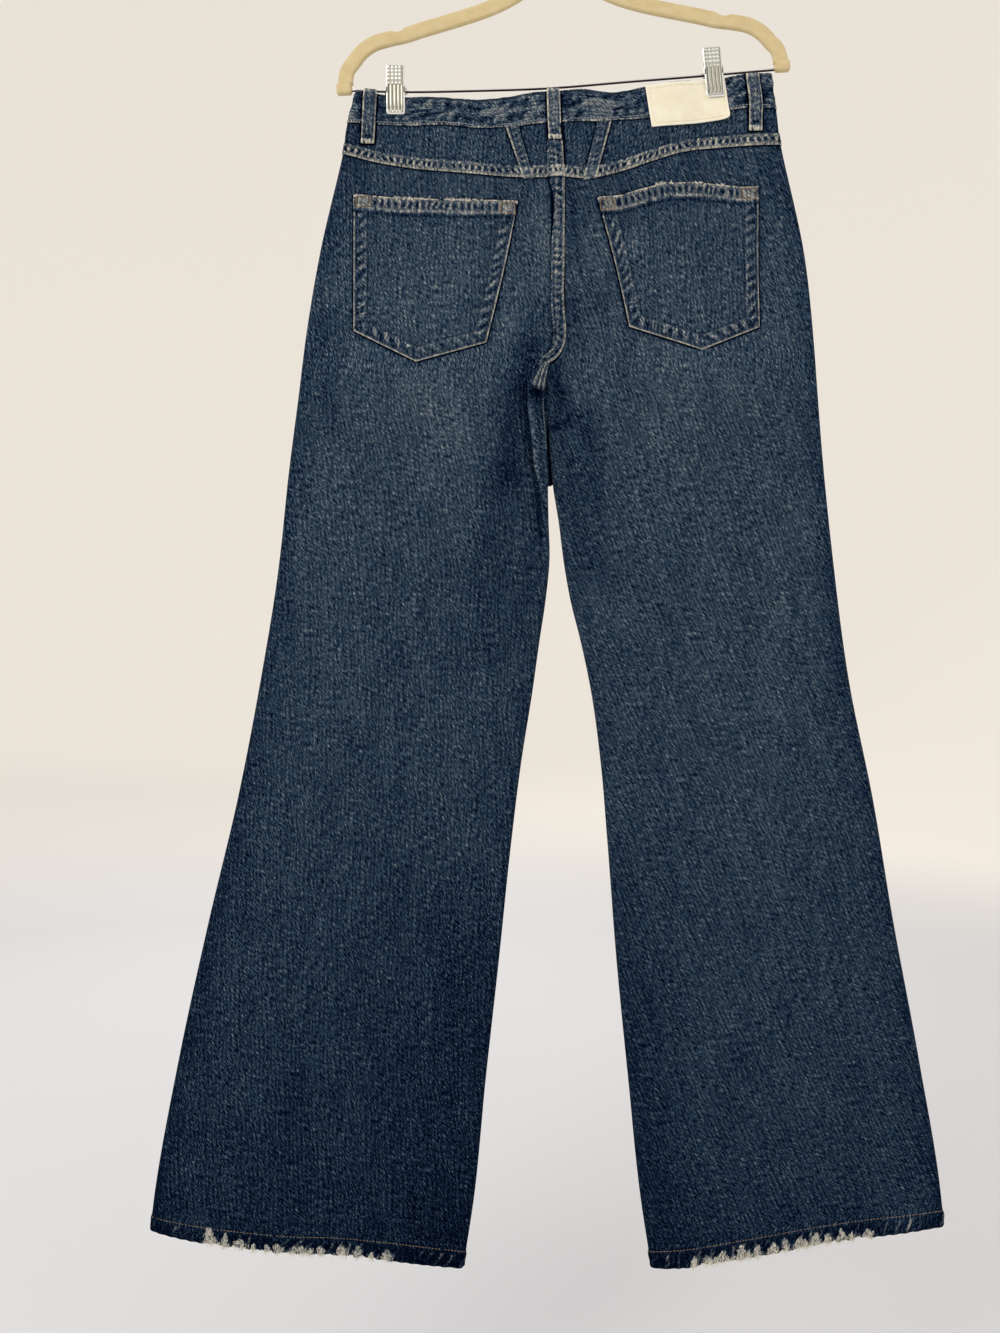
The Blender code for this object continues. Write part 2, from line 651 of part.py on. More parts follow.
def hem_lifts(levels, cols):
    """Thickness of a leg panel, with the turned hem at its foot."""
    at_hem = (np.asarray(levels) >= HEM_TOP - 1e-6)[:, None] * np.ones((1, cols))
    out = np.where(at_hem, HEM_OUT, HALF_CLOTH)
    inside = np.where(at_hem, HEM_IN, -HALF_CLOTH)
    return out, inside


def back(group, side):
    levels = np.array((YOKE_SEAM + SEAM_GAP / 2,) + BODY_LEVELS
                      + (HEM_TOP - STEP, HEM_TOP, HEM_EDGE))
    columns = columns_of(side)
    if side == "left":
        columns = np.insert(columns, len(columns) - len(ARC_TURNS),
                            1 - ARC_SHARE - STEP / CENTRE_BAND * ARC_SHARE)
    out, inside = hem_lifts(levels, len(columns))
    if side == "left":
        in_band = (columns >= 1 - ARC_SHARE - 1e-9)[None, :]
        above = (1 - ease((levels - SEAT) / (CROTCH - SEAT)))[:, None]
        out = out + FELL_RISE * in_band * above
    panel(group, "back_" + side, side, -1, levels, out, inside, "denim", columns)


def scoop_level(side, columns):
    """The top edge of a front panel, cut away in a curve for the pocket."""
    share = np.clip(columns / columns_of(side)[SCOOP_COLUMN[side]], 0, 1)
    return WAIST_SEAM + SEAM_GAP / 2 + SCOOP_DROP * (1 - share ** 2) ** SCOOP_ROUND


def front(group, side):
    columns = columns_of(side)
    above = np.linspace(scoop_level(side, columns), np.full(len(columns), HIP), SCOOP_ROWS)
    body = [level for level in BODY_LEVELS if level > HIP] + [HEM_TOP - STEP, HEM_TOP, HEM_EDGE]
    below = np.repeat(np.array(body)[:, None], len(columns), axis=1)
    levels = np.concatenate([above, below])
    out, inside = hem_lifts(levels[:, 0], len(columns))
    panel(group, "front_" + side, side, 1, levels, out, inside, "denim", columns)


def front_pocket_facing(group, side):
    columns = columns_of(side)[:SCOOP_COLUMN[side] + 2]
    columns[0] = FACING_EDGE
    tops = np.full(len(columns), WAIST_SEAM + SEAM_GAP / 2)
    feet = scoop_level(side, columns) + FACING_TUCK
    levels = np.linspace(tops, feet, 6)
    shape = levels.shape
    panel(group, "front_pocket_facing_" + side, side, 1, levels, spread(*shape, FACING_OUT),
          spread(*shape, FACING_IN), "denim", columns)


def along_line(points, share):
    """Places at shares of the way along a run of points."""
    points = np.array(points)
    steps = np.linalg.norm(np.diff(points, axis=0), axis=1)
    reach = np.concatenate([[0], np.cumsum(steps)]) / steps.sum()
    return np.stack([np.interp(share, reach, points[:, i]) for i in (0, 1)], axis=-1)


def piece_grid(shape, shares, rows):
    """A grid of seen places between a piece's top and bottom edges."""
    top = along_line(shape["top"], shares)
    bottom = along_line(shape["bottom"], shares)
    rows = np.asarray(rows)[:, None, None]
    grid = top[None] * (1 - rows) + bottom[None] * rows
    bow = np.sin(math.pi * rows[..., 0])
    first, last = shape["side"]
    grid[..., 0] += bow * (first * (1 - shares) + last * shares)[None]
    return grid[..., 0], grid[..., 1]


def on_back(group, node, shape, shares, rows, lift_out, lift_in, look):
    x, drop = piece_grid(shape, np.asarray(shares), rows)
    out = np.broadcast_to(lift_out, x.shape)
    inside = np.broadcast_to(lift_in, x.shape)
    mesh = wall_mesh(node, laid(-1, x, drop, out), laid(-1, x, drop, inside))
    add(group, node, mesh, look)


def back_pocket(group, side, shape):
    left, tip, right = shape["bottom"]
    to_tip, to_right = math.dist(left, tip), math.dist(tip, right)
    shares = np.interp(POCKET_SHARES, [0, 0.5, 1], [0, to_tip / (to_tip + to_right), 1])
    tall = left[1] - shape["top"][0][1]
    hem = POCKET_HEM / tall
    rows = np.array((0, hem, hem + STEP / tall) + POCKET_ROWS)
    out = np.where(rows <= hem + 1e-9, LAID_OUT + POCKET_HEM_RISE, LAID_OUT)[:, None]
    on_back(group, "pocket_back_" + side, shape, shares, rows, out, LAID_IN, "denim")


def dart_strip(group, side, shape):
    on_back(group, "dart_strip_" + side, shape, np.linspace(0, 1, 4), np.linspace(0, 1, 7),
            DART_OUT, LAID_IN, "denim_worn")


def patch(group):
    rows = np.array([0.0, 0.25, 0.5, 0.75, 1.0])
    on_back(group, "patch", PATCH, np.linspace(0, 1, 7), rows, PATCH_OUT, PATCH_IN, "patch")


def belt_loop(group, node, face, top, bottom):
    top, bottom = np.array(top), np.array(bottom)
    along = LOOP_ROWS["along"][:, None]
    aside = LOOP_WIDTH * LOOP_PLACES["across"]
    thick = LOOP_THICK * LOOP_PLACES["thick"]
    x = top[0] + (bottom[0] - top[0]) * along + aside
    drop = top[1] + (bottom[1] - top[1]) * along + 0 * aside
    lift = LOOP_ROWS["lift"][:, None] + 0 * aside
    mesh = wall_mesh(node, laid(face, x, drop, lift + thick), laid(face, x, drop, lift))
    add(group, node, mesh, "denim_worn")


def fly(group):
    """The lapped fly on the front, with a curved foot."""
    shares = np.linspace(0, 1, 7)
    middle = SEAM["x"][1]
    x = middle - FLY_WIDTH + (FLY_WIDTH + FLY_LAP) * shares
    side_x = outer_edge("left", WAIST_SEAM)[0]
    across = np.minimum((x - side_x) / (middle - side_x), 1.0)
    top = drop_at("left", 1, across, WAIST_SEAM) + LAID_GAP
    reach = FLY_LENGTH * (1 - FLY_FOOT * (1 - np.sqrt(1 - (1 - shares) ** 2)))
    rows = np.linspace(0, 1, 8)[:, None]
    x = x[None] + 0 * rows
    drop = top[None] + reach[None] * rows
    mesh = wall_mesh("fly_placket", laid(1, x, drop, 0 * x + FLY_OUT), laid(1, x, drop, 0 * x + LAID_IN))
    add(group, "fly_placket", mesh, "denim")


def waist_button(group):
    """A turned button with a raised lip, closed over the waistband."""
    profile = [(BUTTON_RADIUS * r, BUTTON_HEIGHT * h)
               for r, h in zip(BUTTON_PROFILE["radius"], BUTTON_PROFILE["height"])]
    x = SEAM["x"][0] - BUTTON_ASIDE
    drop = drop_at("left", 1, 1.0, WAIST_TOP) + BUTTON_BELOW_TOP
    seat = laid(1, np.array([x]), np.array([drop]), np.array([BAND_OUT + SEAM_GAP]))[0]
    turned(group, "waist_button", profile, seat, Matrix.Rotation(-math.pi / 2, 4, "X"), 24, "button")


def turned(group, node, profile, place, turn, steps, look):
    """A profile turned about its own Z, then set in place."""
    bm = bmesh.new()
    verts = [bm.verts.new((r, 0.0, z)) for r, z in profile]
    edges = [bm.edges.new(pair) for pair in zip(verts, verts[1:])]
    if profile[0][0] > 0:
        edges.append(bm.edges.new((verts[-1], verts[0])))
    bmesh.ops.spin(bm, geom=verts + edges, cent=(0, 0, 0), axis=(0, 0, 1),
                   angle=math.tau, steps=steps, use_merge=True)
    bmesh.ops.remove_doubles(bm, verts=bm.verts, dist=0.00002)
    bmesh.ops.recalc_face_normals(bm, faces=bm.faces)
    mesh = bpy.data.meshes.new(node)
    bm.to_mesh(mesh)
    bm.free()
    item = add(group, node, mesh, look)
    item.matrix_world = Matrix.Translation(Vector(place)) @ turn
    return item


# ---------------------------------------------------------------- the hanger

def tilted(x, z):
    """From the level hanger's own plane to where it hangs."""
    return (x * math.cos(TILT) - z * math.sin(TILT), x * math.sin(TILT) + z * math.cos(TILT))


def arm_edges():
    """The upper and lower edges of the left arm, tip to neck."""
    steps = np.hypot(np.diff(ARM["x"]), np.diff(ARM["z"]))
    reach = np.concatenate([[0], np.cumsum(steps)])
    at = np.linspace(0, reach[-1], ARM_SAMPLES)
    x, z = smooth(at, reach, ARM["x"]), smooth(at, reach, ARM["z"])
    run_x, run_z = np.gradient(x), np.gradient(z)
    size = np.hypot(run_x, run_z)
    up_x, up_z = -run_z / size, run_x / size
    notch = NOTCH_DEEP * np.exp(-((x + NOTCH_X) / NOTCH_HALF) ** 4)
    half = ARM_WIDTH / 2
    upper = [(px, pz) for px, pz in zip(x + up_x * (half - notch), z + up_z * (half - notch))
             if px < -NECK_HALF - ARM_MEETS_NECK]
    lower = [(px, pz) for px, pz in zip(x - up_x * half, z - up_z * half) if px < -UNDER_MEETS]
    return upper, lower


def hanger_frame(group):
    upper, lower = arm_edges()
    left = upper + [(-NECK_HALF, NECK_TOP - NECK_BEVEL[1]), (-NECK_HALF + NECK_BEVEL[0], NECK_TOP)]
    over = left + [(-x, z) for x, z in reversed(left)]
    under = [(-x, z) for x, z in lower] + [(0.0, CROOK_Z)] + [(x, z) for x, z in reversed(lower)]
    curve = bpy.data.curves.new("hanger_frame", "CURVE")
    curve.dimensions = "2D"
    curve.fill_mode = "BOTH"
    curve.extrude = ARM_THICK / 2 - ARM_EDGE
    curve.bevel_depth = ARM_EDGE
    curve.bevel_resolution = 1
    curve.offset = -ARM_EDGE
    spline = curve.splines.new("POLY")
    outline = [tilted(x, z) for x, z in over + under]
    spline.points.add(len(outline) - 1)
    for point, (x, z) in zip(spline.points, outline):
        point.co = (x, z, 0.0, 1.0)
    spline.use_cyclic_u = True
    place = Matrix.Rotation(math.pi / 2, 4, "X")
    add_curve(group, "hanger_frame", curve, place, "velvet")


def add_curve(group, node, curve, place, look):
    """Turn a curve into a welded mesh and put it in the collection."""
    guide = bpy.data.objects.new(node + "_guide", curve)
    bpy.context.scene.collection.objects.link(guide)
    guide.matrix_world = place
    bpy.context.view_layer.update()
    evaluated = guide.evaluated_get(bpy.context.evaluated_depsgraph_get())
    mesh = bpy.data.meshes.new_from_object(evaluated)
    mesh.name = node
    mesh.transform(guide.matrix_world)
    bm = bmesh.new()
    bm.from_mesh(mesh)
    bmesh.ops.remove_doubles(bm, verts=bm.verts, dist=0.00001)
    bmesh.ops.recalc_face_normals(bm, faces=bm.faces)
    bm.to_mesh(mesh)
    bm.free()
    bpy.data.objects.remove(guide, do_unlink=True)
    return add(group, node, mesh, look)


def wire(group, node, points, radius, look):
    curve = bpy.data.curves.new(node, "CURVE")
    curve.dimensions = "3D"
    curve.bevel_depth = radius
    curve.bevel_resolution = 2
    curve.use_fill_caps = True
    spline = curve.splines.new("POLY")
    spline.points.add(len(points) - 1)
    for point, place in zip(spline.points, points):
        point.co = (*place, 1.0)
    return add_curve(group, node, curve, Matrix.Identity(4), look)


def hanger_hook(group):
    """The crook is a long arc about a centre below the rod's contact."""
    inner = HOOK_RADIUS - HOOK_WIRE
    turns = np.linspace(HOOK_LEAVES, HOOK_ENDS, HOOK_STEPS)
    arc = [(HOOK_RADIUS * math.cos(a), -inner + HOOK_RADIUS * math.sin(a)) for a in turns]
    foot = NECK_TOP + SEAM_GAP
    bends = foot + SHANK_STRAIGHT
    join_x, join_z = arc[0]
    shank = [(0.0, foot), (0.0, bends)]
    for share in SHANK_SHARES:
        shank.append((join_x * float(ease(share)) * share, bends + (join_z - bends) * share))
    points = [tilted(x, z) for x, z in shank + arc]
    wire(group, "hanger_hook", [(x, 0.0, z) for x, z in points], HOOK_WIRE, "steel")


def hanger_bar(group):
    at = np.linspace(BAR["x"][0], BAR["x"][-1], BAR_SAMPLES)
    drop = smooth(at, BAR["x"], BAR["drop"])
    points = [(x, 0.0, -z) for x, z in zip(at, drop)]
    wire(group, "hanger_bar", points, BAR_RADIUS, "steel")


def hanger_end(group, node, place):
    bm = bmesh.new()
    bmesh.ops.create_cube(bm, size=1.0)
    bmesh.ops.scale(bm, vec=CAP_SIZE, verts=bm.verts)
    bmesh.ops.bevel(bm, geom=bm.edges[:], offset=CAP_ROUND, segments=2, affect="EDGES", profile=0.5)
    mesh = bpy.data.meshes.new(node)
    bm.to_mesh(mesh)
    bm.free()
    item = add(group, node, mesh, "velvet")
    item.matrix_world = Matrix.Translation((place[0], 0.0, place[1])) @ Matrix.Rotation(-TILT, 4, "Y")


def clip_jaw(group, name, face, stand_off):
    """One pressed plate of a clip, with ribs and two ears at the bar."""
    (top_x, top_drop), lean, _, _ = CLIPS[name]
    across = np.linspace(-0.5, 0.5, 1 + 3 * RIB_COUNT)
    along, stand, rib = (CLIP_PROFILE[key][:, None] for key in ("along", "stand", "rib"))
    wave = 0.5 - 0.5 * np.cos(2 * math.pi * RIB_COUNT * (across + 0.5))
    near = stand_off + stand + 0 * across
    far = near + CLIP_SHEET + RIB_HEIGHT * rib * wave
    x = across * CLIP_WIDTH + 0 * along
    down = along + 0 * across
    grids = [np.stack([x, face * y, -down], axis=-1) for y in (far, near)]
    node = "clip_%s_%s" % (name, "back" if face < 0 else "front")
    item = add(group, node, wall_mesh(node, *grids), "steel")
    reach = stand_off + np.interp(EAR_ALONG[0], CLIP_PROFILE["along"], CLIP_PROFILE["stand"]) + EAR_BITE
    for way in (-1, 1):
        bm = bmesh.new()
        bmesh.ops.create_cube(bm, size=1.0)
        size = (CLIP_SHEET, reach - EAR_END, EAR_ALONG[1] - EAR_ALONG[0])
        bmesh.ops.scale(bm, vec=size, verts=bm.verts)
        middle = (way * (CLIP_WIDTH / 2 - EAR_INSET), face * (EAR_END + size[1] / 2),
                  -sum(EAR_ALONG) / 2)
        bmesh.ops.translate(bm, vec=middle, verts=bm.verts)
        mesh = bpy.data.meshes.new(node + "_ear")
        bm.to_mesh(mesh)
        bm.free()
        join(item, mesh)
    item.matrix_world = Matrix.Translation((top_x, 0.0, -top_drop)) @ Matrix.Rotation(-lean, 4, "Y")


def join(item, mesh):
    """Add a solid to an object by a Boolean union."""
    ear = bpy.data.objects.new(mesh.name, mesh)
    ear.hide_render = True
    ear.display_type = "WIRE"
    bpy.data.collections[CUTTERS].objects.link(ear)
    union = item.modifiers.new(mesh.name, "BOOLEAN")
    union.operation = "UNION"
    union.solver = "EXACT"
    union.object = ear
    ear.parent = item


def clip_spring(group, name):
    """The sleeve of the clip's spring, wound around the bar."""
    (top_x, top_drop), lean, _, _ = CLIPS[name]
    middle_x = top_x + math.sin(lean) * sum(EAR_ALONG) / 2
    drop = float(smooth(np.array([middle_x]), BAR["x"], BAR["drop"])[0])
    ahead = float(smooth(np.array([middle_x + SPRING_REACH]), BAR["x"], BAR["drop"])[0])
    slope = math.atan2(ahead - drop, SPRING_REACH)
    profile = [(SPRING_RADIUS, -SPRING_HALF), (SPRING_RADIUS, SPRING_HALF),
               (SPRING_BORE, SPRING_HALF), (SPRING_BORE, -SPRING_HALF)]
    turn = Matrix.Rotation(slope, 4, "Y") @ Matrix.Rotation(math.pi / 2, 4, "Y")
    turned(group, "clip_%s_spring" % name, profile, (middle_x, 0.0, -drop), turn, 12, "steel")


def build():
    clear_scene()
    group = collection(COLLECTION)
    collection(CUTTERS)
    waistband_back(group)
    for side in ("left", "right"):
        waistband_front(group, side)
        yoke(group, side)
        back(group, side)
        front(group, side)
        front_pocket_facing(group, side)
    back_pocket(group, "left", POCKET_LEFT)
    back_pocket(group, "right", POCKET_RIGHT)
    dart_strip(group, "left", DART_LEFT)
    dart_strip(group, "right", DART_RIGHT)
    patch(group)
    for node, (face, top, bottom) in LOOPS.items():
        belt_loop(group, node, face, top, bottom)
    fly(group)
    waist_button(group)
    hanger_frame(group)
    hanger_hook(group)
    hanger_bar(group)
    for node, place in CAP_PLACES.items():
        hanger_end(group, node, place)
    for name, (_, _, back_stand, front_stand) in CLIPS.items():
        clip_jaw(group, name, -1, back_stand)
        clip_jaw(group, name, 1, front_stand)
        clip_spring(group, name)
    bpy.context.view_layer.update()


build()
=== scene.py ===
"""Looks of the wide leg jeans on their clip hanger (metres, +Z up, the CAD's frame).

The back of the jeans faces -Y, towards the camera.  A "drop" is a distance down
from the hook, and a "level" names one line across a leg or the seat by the drop
of its inner end.  All cloth is built on one middle surface, which repeats the
solids' tables, and its finer folds, seams and wear are added here.
"""

import math

import bmesh
import bpy
import numpy as np
from mathutils import Matrix, Vector


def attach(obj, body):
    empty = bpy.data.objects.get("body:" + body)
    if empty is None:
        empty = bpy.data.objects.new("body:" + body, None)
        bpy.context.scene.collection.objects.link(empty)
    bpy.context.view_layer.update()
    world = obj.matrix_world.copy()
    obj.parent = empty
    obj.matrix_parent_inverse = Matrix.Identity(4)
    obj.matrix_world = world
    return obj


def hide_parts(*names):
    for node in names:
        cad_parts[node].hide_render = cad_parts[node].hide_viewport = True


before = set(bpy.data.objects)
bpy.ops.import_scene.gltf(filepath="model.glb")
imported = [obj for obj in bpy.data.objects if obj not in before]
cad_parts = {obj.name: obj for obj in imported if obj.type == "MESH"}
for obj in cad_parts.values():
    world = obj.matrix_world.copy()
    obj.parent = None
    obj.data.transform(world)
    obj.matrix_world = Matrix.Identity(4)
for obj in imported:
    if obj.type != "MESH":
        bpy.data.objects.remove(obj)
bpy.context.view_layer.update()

SIDES = ("left", "right")

# ---------------------------------------------------------------- sizes of the solids

SEAM_GAP = 0.0003
HALF_CLOTH = 0.0007
BAND_OUT = 0.0012
BAND_IN = -0.0016
FELL_RISE = 0.0008
HEM_OUT = 0.0015
HEM_IN = -0.0013
LAID_IN = HALF_CLOTH + SEAM_GAP
LAID_CLOTH = 0.0012

WAIST_TOP = 0.2386
WAIST_SEAM = 0.2668
YOKE_SEAM = 0.3236
HIP = 0.402
SEAT = 0.480
CROTCH = 0.516
KNEE = 0.803
CALF = 1.173
HEM_TOP = 1.337
HEM_EDGE = 1.351
CENTRE_BAND = 0.0110

FOLD_RADIUS = 0.004
ARC_SHARE = 0.1
CROTCH_ROUND = 0.022
SEAT_SPREAD = 0.85
SEAT_SOFTENS = 0.030
LEG_BULGE_POWER = 0.9
FRONT_DIP = 0.020
CLIP_PINCH = 0.0019
CLIP_REACH = 0.014
CLIP_SPREAD = 0.35
PINCH_END = 0.395


def table(columns, rows):
    """A short table as arrays, one for each named column."""
    values = np.array(rows, dtype=float)
    return {name: values[:, i] for i, name in enumerate(columns.split())}


OUTER = table("level left_x left_drop right_x right_drop", [
    (WAIST_TOP, -0.1865, 0.2365, 0.2075, 0.2195),
    (WAIST_SEAM, -0.1935, 0.2645, 0.2120, 0.2515),
    (YOKE_SEAM, -0.1980, 0.2945, 0.2165, 0.2860),
    (HIP, -0.2190, 0.3850, 0.2380, 0.3850),
    (SEAT, -0.2340, 0.4750, 0.2480, 0.4750),
    (CROTCH, -0.2390, 0.5160, 0.2510, 0.5160),
    (0.613, -0.2500, 0.6030, 0.2580, 0.6030),
    (0.684, -0.2580, 0.6790, 0.2660, 0.6790),
    (KNEE, -0.2760, 0.7930, 0.2810, 0.7930),
    (0.922, -0.2980, 0.9070, 0.3040, 0.9070),
    (1.040, -0.3250, 1.0210, 0.3230, 1.0210),
    (CALF, -0.3530, 1.1500, 0.3470, 1.1500),
    (HEM_TOP, -0.3790, 1.3020, 0.3700, 1.2980),
    (HEM_EDGE, -0.3800, 1.3130, 0.3710, 1.3110),
])
SEAM = table("level x", [
    (WAIST_TOP, 0.0071), (WAIST_SEAM, 0.0084), (YOKE_SEAM, 0.0115), (0.391, 0.0113),
    (0.455, 0.0115), (0.478, 0.0108), (0.487, 0.0086), (0.494, 0.0040),
    (0.500, -0.0020), (0.507, -0.0056), (CROTCH, -0.0062),
])
INNER = table("level left_x right_x", [
    (CROTCH, -0.0062, -0.0062), (0.521, -0.0073, -0.0051), (0.532, -0.0079, -0.0044),
    (0.550, -0.0079, -0.0033), (0.584, -0.0062, -0.0010), (0.613, -0.0045, 0.0020),
    (0.641, -0.0038, 0.0066), (0.679, -0.0029, 0.0114), (0.717, -0.0066, 0.0180),
    (0.755, -0.0123, 0.0275), (KNEE, -0.0190, 0.0375), (0.869, -0.0295, 0.0465),
    (0.945, -0.0390, 0.0530), (1.059, -0.0510, 0.0618), (CALF, -0.0636, 0.0730),
    (1.287, -0.0750, 0.0850), (HEM_EDGE, -0.0850, 0.0950),
])
SAG = table("across waist_top_left waist_seam_left yoke_left hem_left"
            " waist_top_right waist_seam_right yoke_right hem_right", [
    (0.00, 0, 0, 0, 0, 0, 0, 0, 0),
    (0.15, 0.0024, 0.0011, 0.0040, 0.0008, -0.0010, -0.0029, -0.0044, 0.0010),
    (0.30, 0.0053, 0.0019, 0.0053, 0.0010, 0.0001, -0.0012, -0.0076, -0.0005),
    (0.45, 0.0070, 0.0028, 0.0053, 0.0006, 0.0008, 0.0008, -0.0092, -0.0020),
    (0.60, 0.0088, 0.0062, 0.0050, -0.0015, 0.0036, 0.0021, -0.0042, -0.0010),
    (0.75, 0.0062, 0.0054, 0.0040, -0.0020, 0.0062, 0.0022, 0.0014, 0.0000),
    (0.90, 0.0010, 0.0016, 0.0004, -0.0005, 0.0003, 0.0012, 0.0022, 0.0015),
    (1.00, 0, 0, -0.0030, 0, 0, 0, -0.0030, 0),
])
SAG_LINES = {"waist_top": WAIST_TOP, "waist_seam": WAIST_SEAM,
             "yoke": YOKE_SEAM, "hem": HEM_EDGE}
SAG_KNOTS = np.array([WAIST_TOP, WAIST_SEAM, YOKE_SEAM, HIP, CALF, HEM_EDGE])
DEPTH = table("level back_left back_right front_left front_right"
              " peak_left peak_right inner_zone", [
    (WAIST_TOP, 0.0080, 0.0080, 0.0080, 0.0080, 0.50, 0.50, CENTRE_BAND),
    (WAIST_SEAM, 0.0090, 0.0090, 0.0085, 0.0085, 0.50, 0.50, CENTRE_BAND),
    (YOKE_SEAM, 0.0125, 0.0125, 0.0100, 0.0100, 0.50, 0.50, CENTRE_BAND),
    (HIP, 0.0160, 0.0160, 0.0130, 0.0130, 0.50, 0.50, CENTRE_BAND),
    (SEAT, 0.0170, 0.0170, 0.0140, 0.0140, 0.50, 0.50, CENTRE_BAND),
    (CROTCH, 0.0160, 0.0160, 0.0140, 0.0140, 0.50, 0.50, 0.0120),
    (0.613, 0.0150, 0.0150, 0.0140, 0.0140, 0.50, 0.50, 0.0090),
    (KNEE, 0.0140, 0.0140, 0.0140, 0.0140, 0.47, 0.52, 0.0050),
    (1.040, 0.0145, 0.0130, 0.0145, 0.0140, 0.42, 0.58, 0.0045),
    (CALF, 0.0150, 0.0120, 0.0150, 0.0140, 0.37, 0.64, 0.0045),
    (HEM_EDGE, 0.0160, 0.0110, 0.0150, 0.0140, 0.33, 0.69, 0.0045),
])
FOLDS = table("face x top bottom lean width depth", [
    (-1, -0.0250, 0.535, 0.720, 0.10, 0.0060, -0.0030),
    (-1, -0.0150, 0.530, 0.640, 0.12, 0.0050, 0.0012),
    (-1, 0.0240, 0.560, 0.720, 0.08, 0.0110, -0.0024),
    (-1, -0.1500, 0.330, 0.520, -0.12, 0.0280, -0.0016),
    (-1, 0.1480, 0.320, 0.500, 0.10, 0.0300, -0.0014),
    (-1, -0.1450, 0.640, 1.080, -0.10, 0.0320, -0.0022),
    (-1, 0.1600, 0.700, 1.160, 0.10, 0.0300, -0.0020),
    (-1, -0.1500, 1.020, 1.400, -0.18, 0.0300, -0.0030),
    (-1, 0.2550, 1.000, 1.400, 0.16, 0.0320, -0.0026),
    (1, -0.0600, 0.420, 0.640, -0.35, 0.0140, -0.0030),
    (1, 0.0640, 0.410, 0.620, 0.38, 0.0130, -0.0028),
    (1, -0.0900, 0.380, 0.520, -0.70, 0.0110, -0.0020),
    (1, 0.1000, 0.390, 0.540, 0.66, 0.0120, -0.0022),
    (1, -0.1750, 0.700, 1.120, -0.12, 0.0300, -0.0024),
    (1, 0.1500, 0.680, 1.080, 0.10, 0.0300, -0.0026),
    (1, -0.2250, 1.040, 1.400, -0.18, 0.0320, -0.0034),
    (1, 0.2200, 1.060, 1.400, 0.17, 0.0300, -0.0030),
])
CLIPS = {
    "left": ((-0.1488, 0.2071), 0.0, 0.0034, 0.0034),
    "right": ((0.1520, 0.1906), math.radians(4.3), 0.0054, 0.0037),
}
CLIP_WIDTH = 0.0175

SCOOP_AT = {"left": -0.0900, "right": 0.1140}
SCOOP_DROP = 0.078
SCOOP_ROUND = 0.75
FACING_TUCK = 0.018

POCKETS = {
    "left": {
        "top": [(-0.1869, 0.3350), (-0.1460, 0.3397), (-0.0868, 0.3431), (-0.0331, 0.3451)],
        "bottom": [(-0.1868, 0.4642), (-0.1279, 0.4948), (-0.0625, 0.4773)],
        "side": (0.0, 0.0014),
    },
    "right": {
        "top": [(0.0421, 0.3419), (0.0636, 0.3397), (0.0830, 0.3332), (0.1060, 0.3269),
                (0.1312, 0.3253), (0.1561, 0.3274), (0.1797, 0.3292), (0.1939, 0.3278)],
        "bottom": [(0.0714, 0.4627), (0.1395, 0.4836), (0.1940, 0.4610)],
        "side": (0.0013, -0.0010),
    },
}
PATCH = {"top": [(0.0875, 0.2347), (0.1627, 0.2234)],
         "bottom": [(0.0933, 0.2730), (0.1682, 0.2615)], "side": (0.0, 0.0)}
PATCH_IN = BAND_OUT + 2 * SEAM_GAP
DARTS = {
    "left": {"top": [(-0.0432, 0.2732), (-0.0325, 0.2720)],
             "bottom": [(-0.0302, 0.3130), (-0.0212, 0.3126)], "side": (0.0, 0.0)},
    "right": {"top": [(0.0429, 0.2680), (0.0548, 0.2674)],
              "bottom": [(0.0318, 0.3128), (0.0430, 0.3114)], "side": (0.0, 0.0)},
}
LOOP_WIDTH = 0.0116
LOOP_THICK = 0.0019
LOOPS = {       # each belt loop's face, fade, seed and middle line
    "belt_loop_back_left": (-1, 0.46, 161, [(-0.1722, 0.2354), (-0.1736, 0.2618), (-0.1748, 0.2850)]),
    "belt_loop_back_centre": (-1, 0.55, 165, [(0.0007, 0.2372), (0.0013, 0.2600), (0.0022, 0.2846)]),
    "belt_loop_back_right": (-1, 0.50, 169, [(0.1887, 0.2209), (0.1920, 0.2470), (0.1921, 0.2733)]),
    "belt_loop_front_left": (1, 0.46, 173, [(-0.1020, 0.2420), (-0.1025, 0.2700), (-0.1030, 0.2990)]),
    "belt_loop_front_right": (1, 0.46, 177, [(0.1090, 0.2340), (0.1095, 0.2630), (0.1100, 0.2930)]),
}
LOOP_ROWS = table("along lift", [
    (0.00, 0.0016), (0.09, 0.0015), (0.22, 0.0017), (0.45, 0.0019),
    (0.60, 0.0017), (0.72, 0.0011), (0.86, 0.0010), (1.00, 0.0010),
])
FLY_WIDTH = 0.038
FLY_LAP = 0.003
FLY_LENGTH = 0.140
FLY_FOOT = 0.45
LAID_GAP = 0.0008

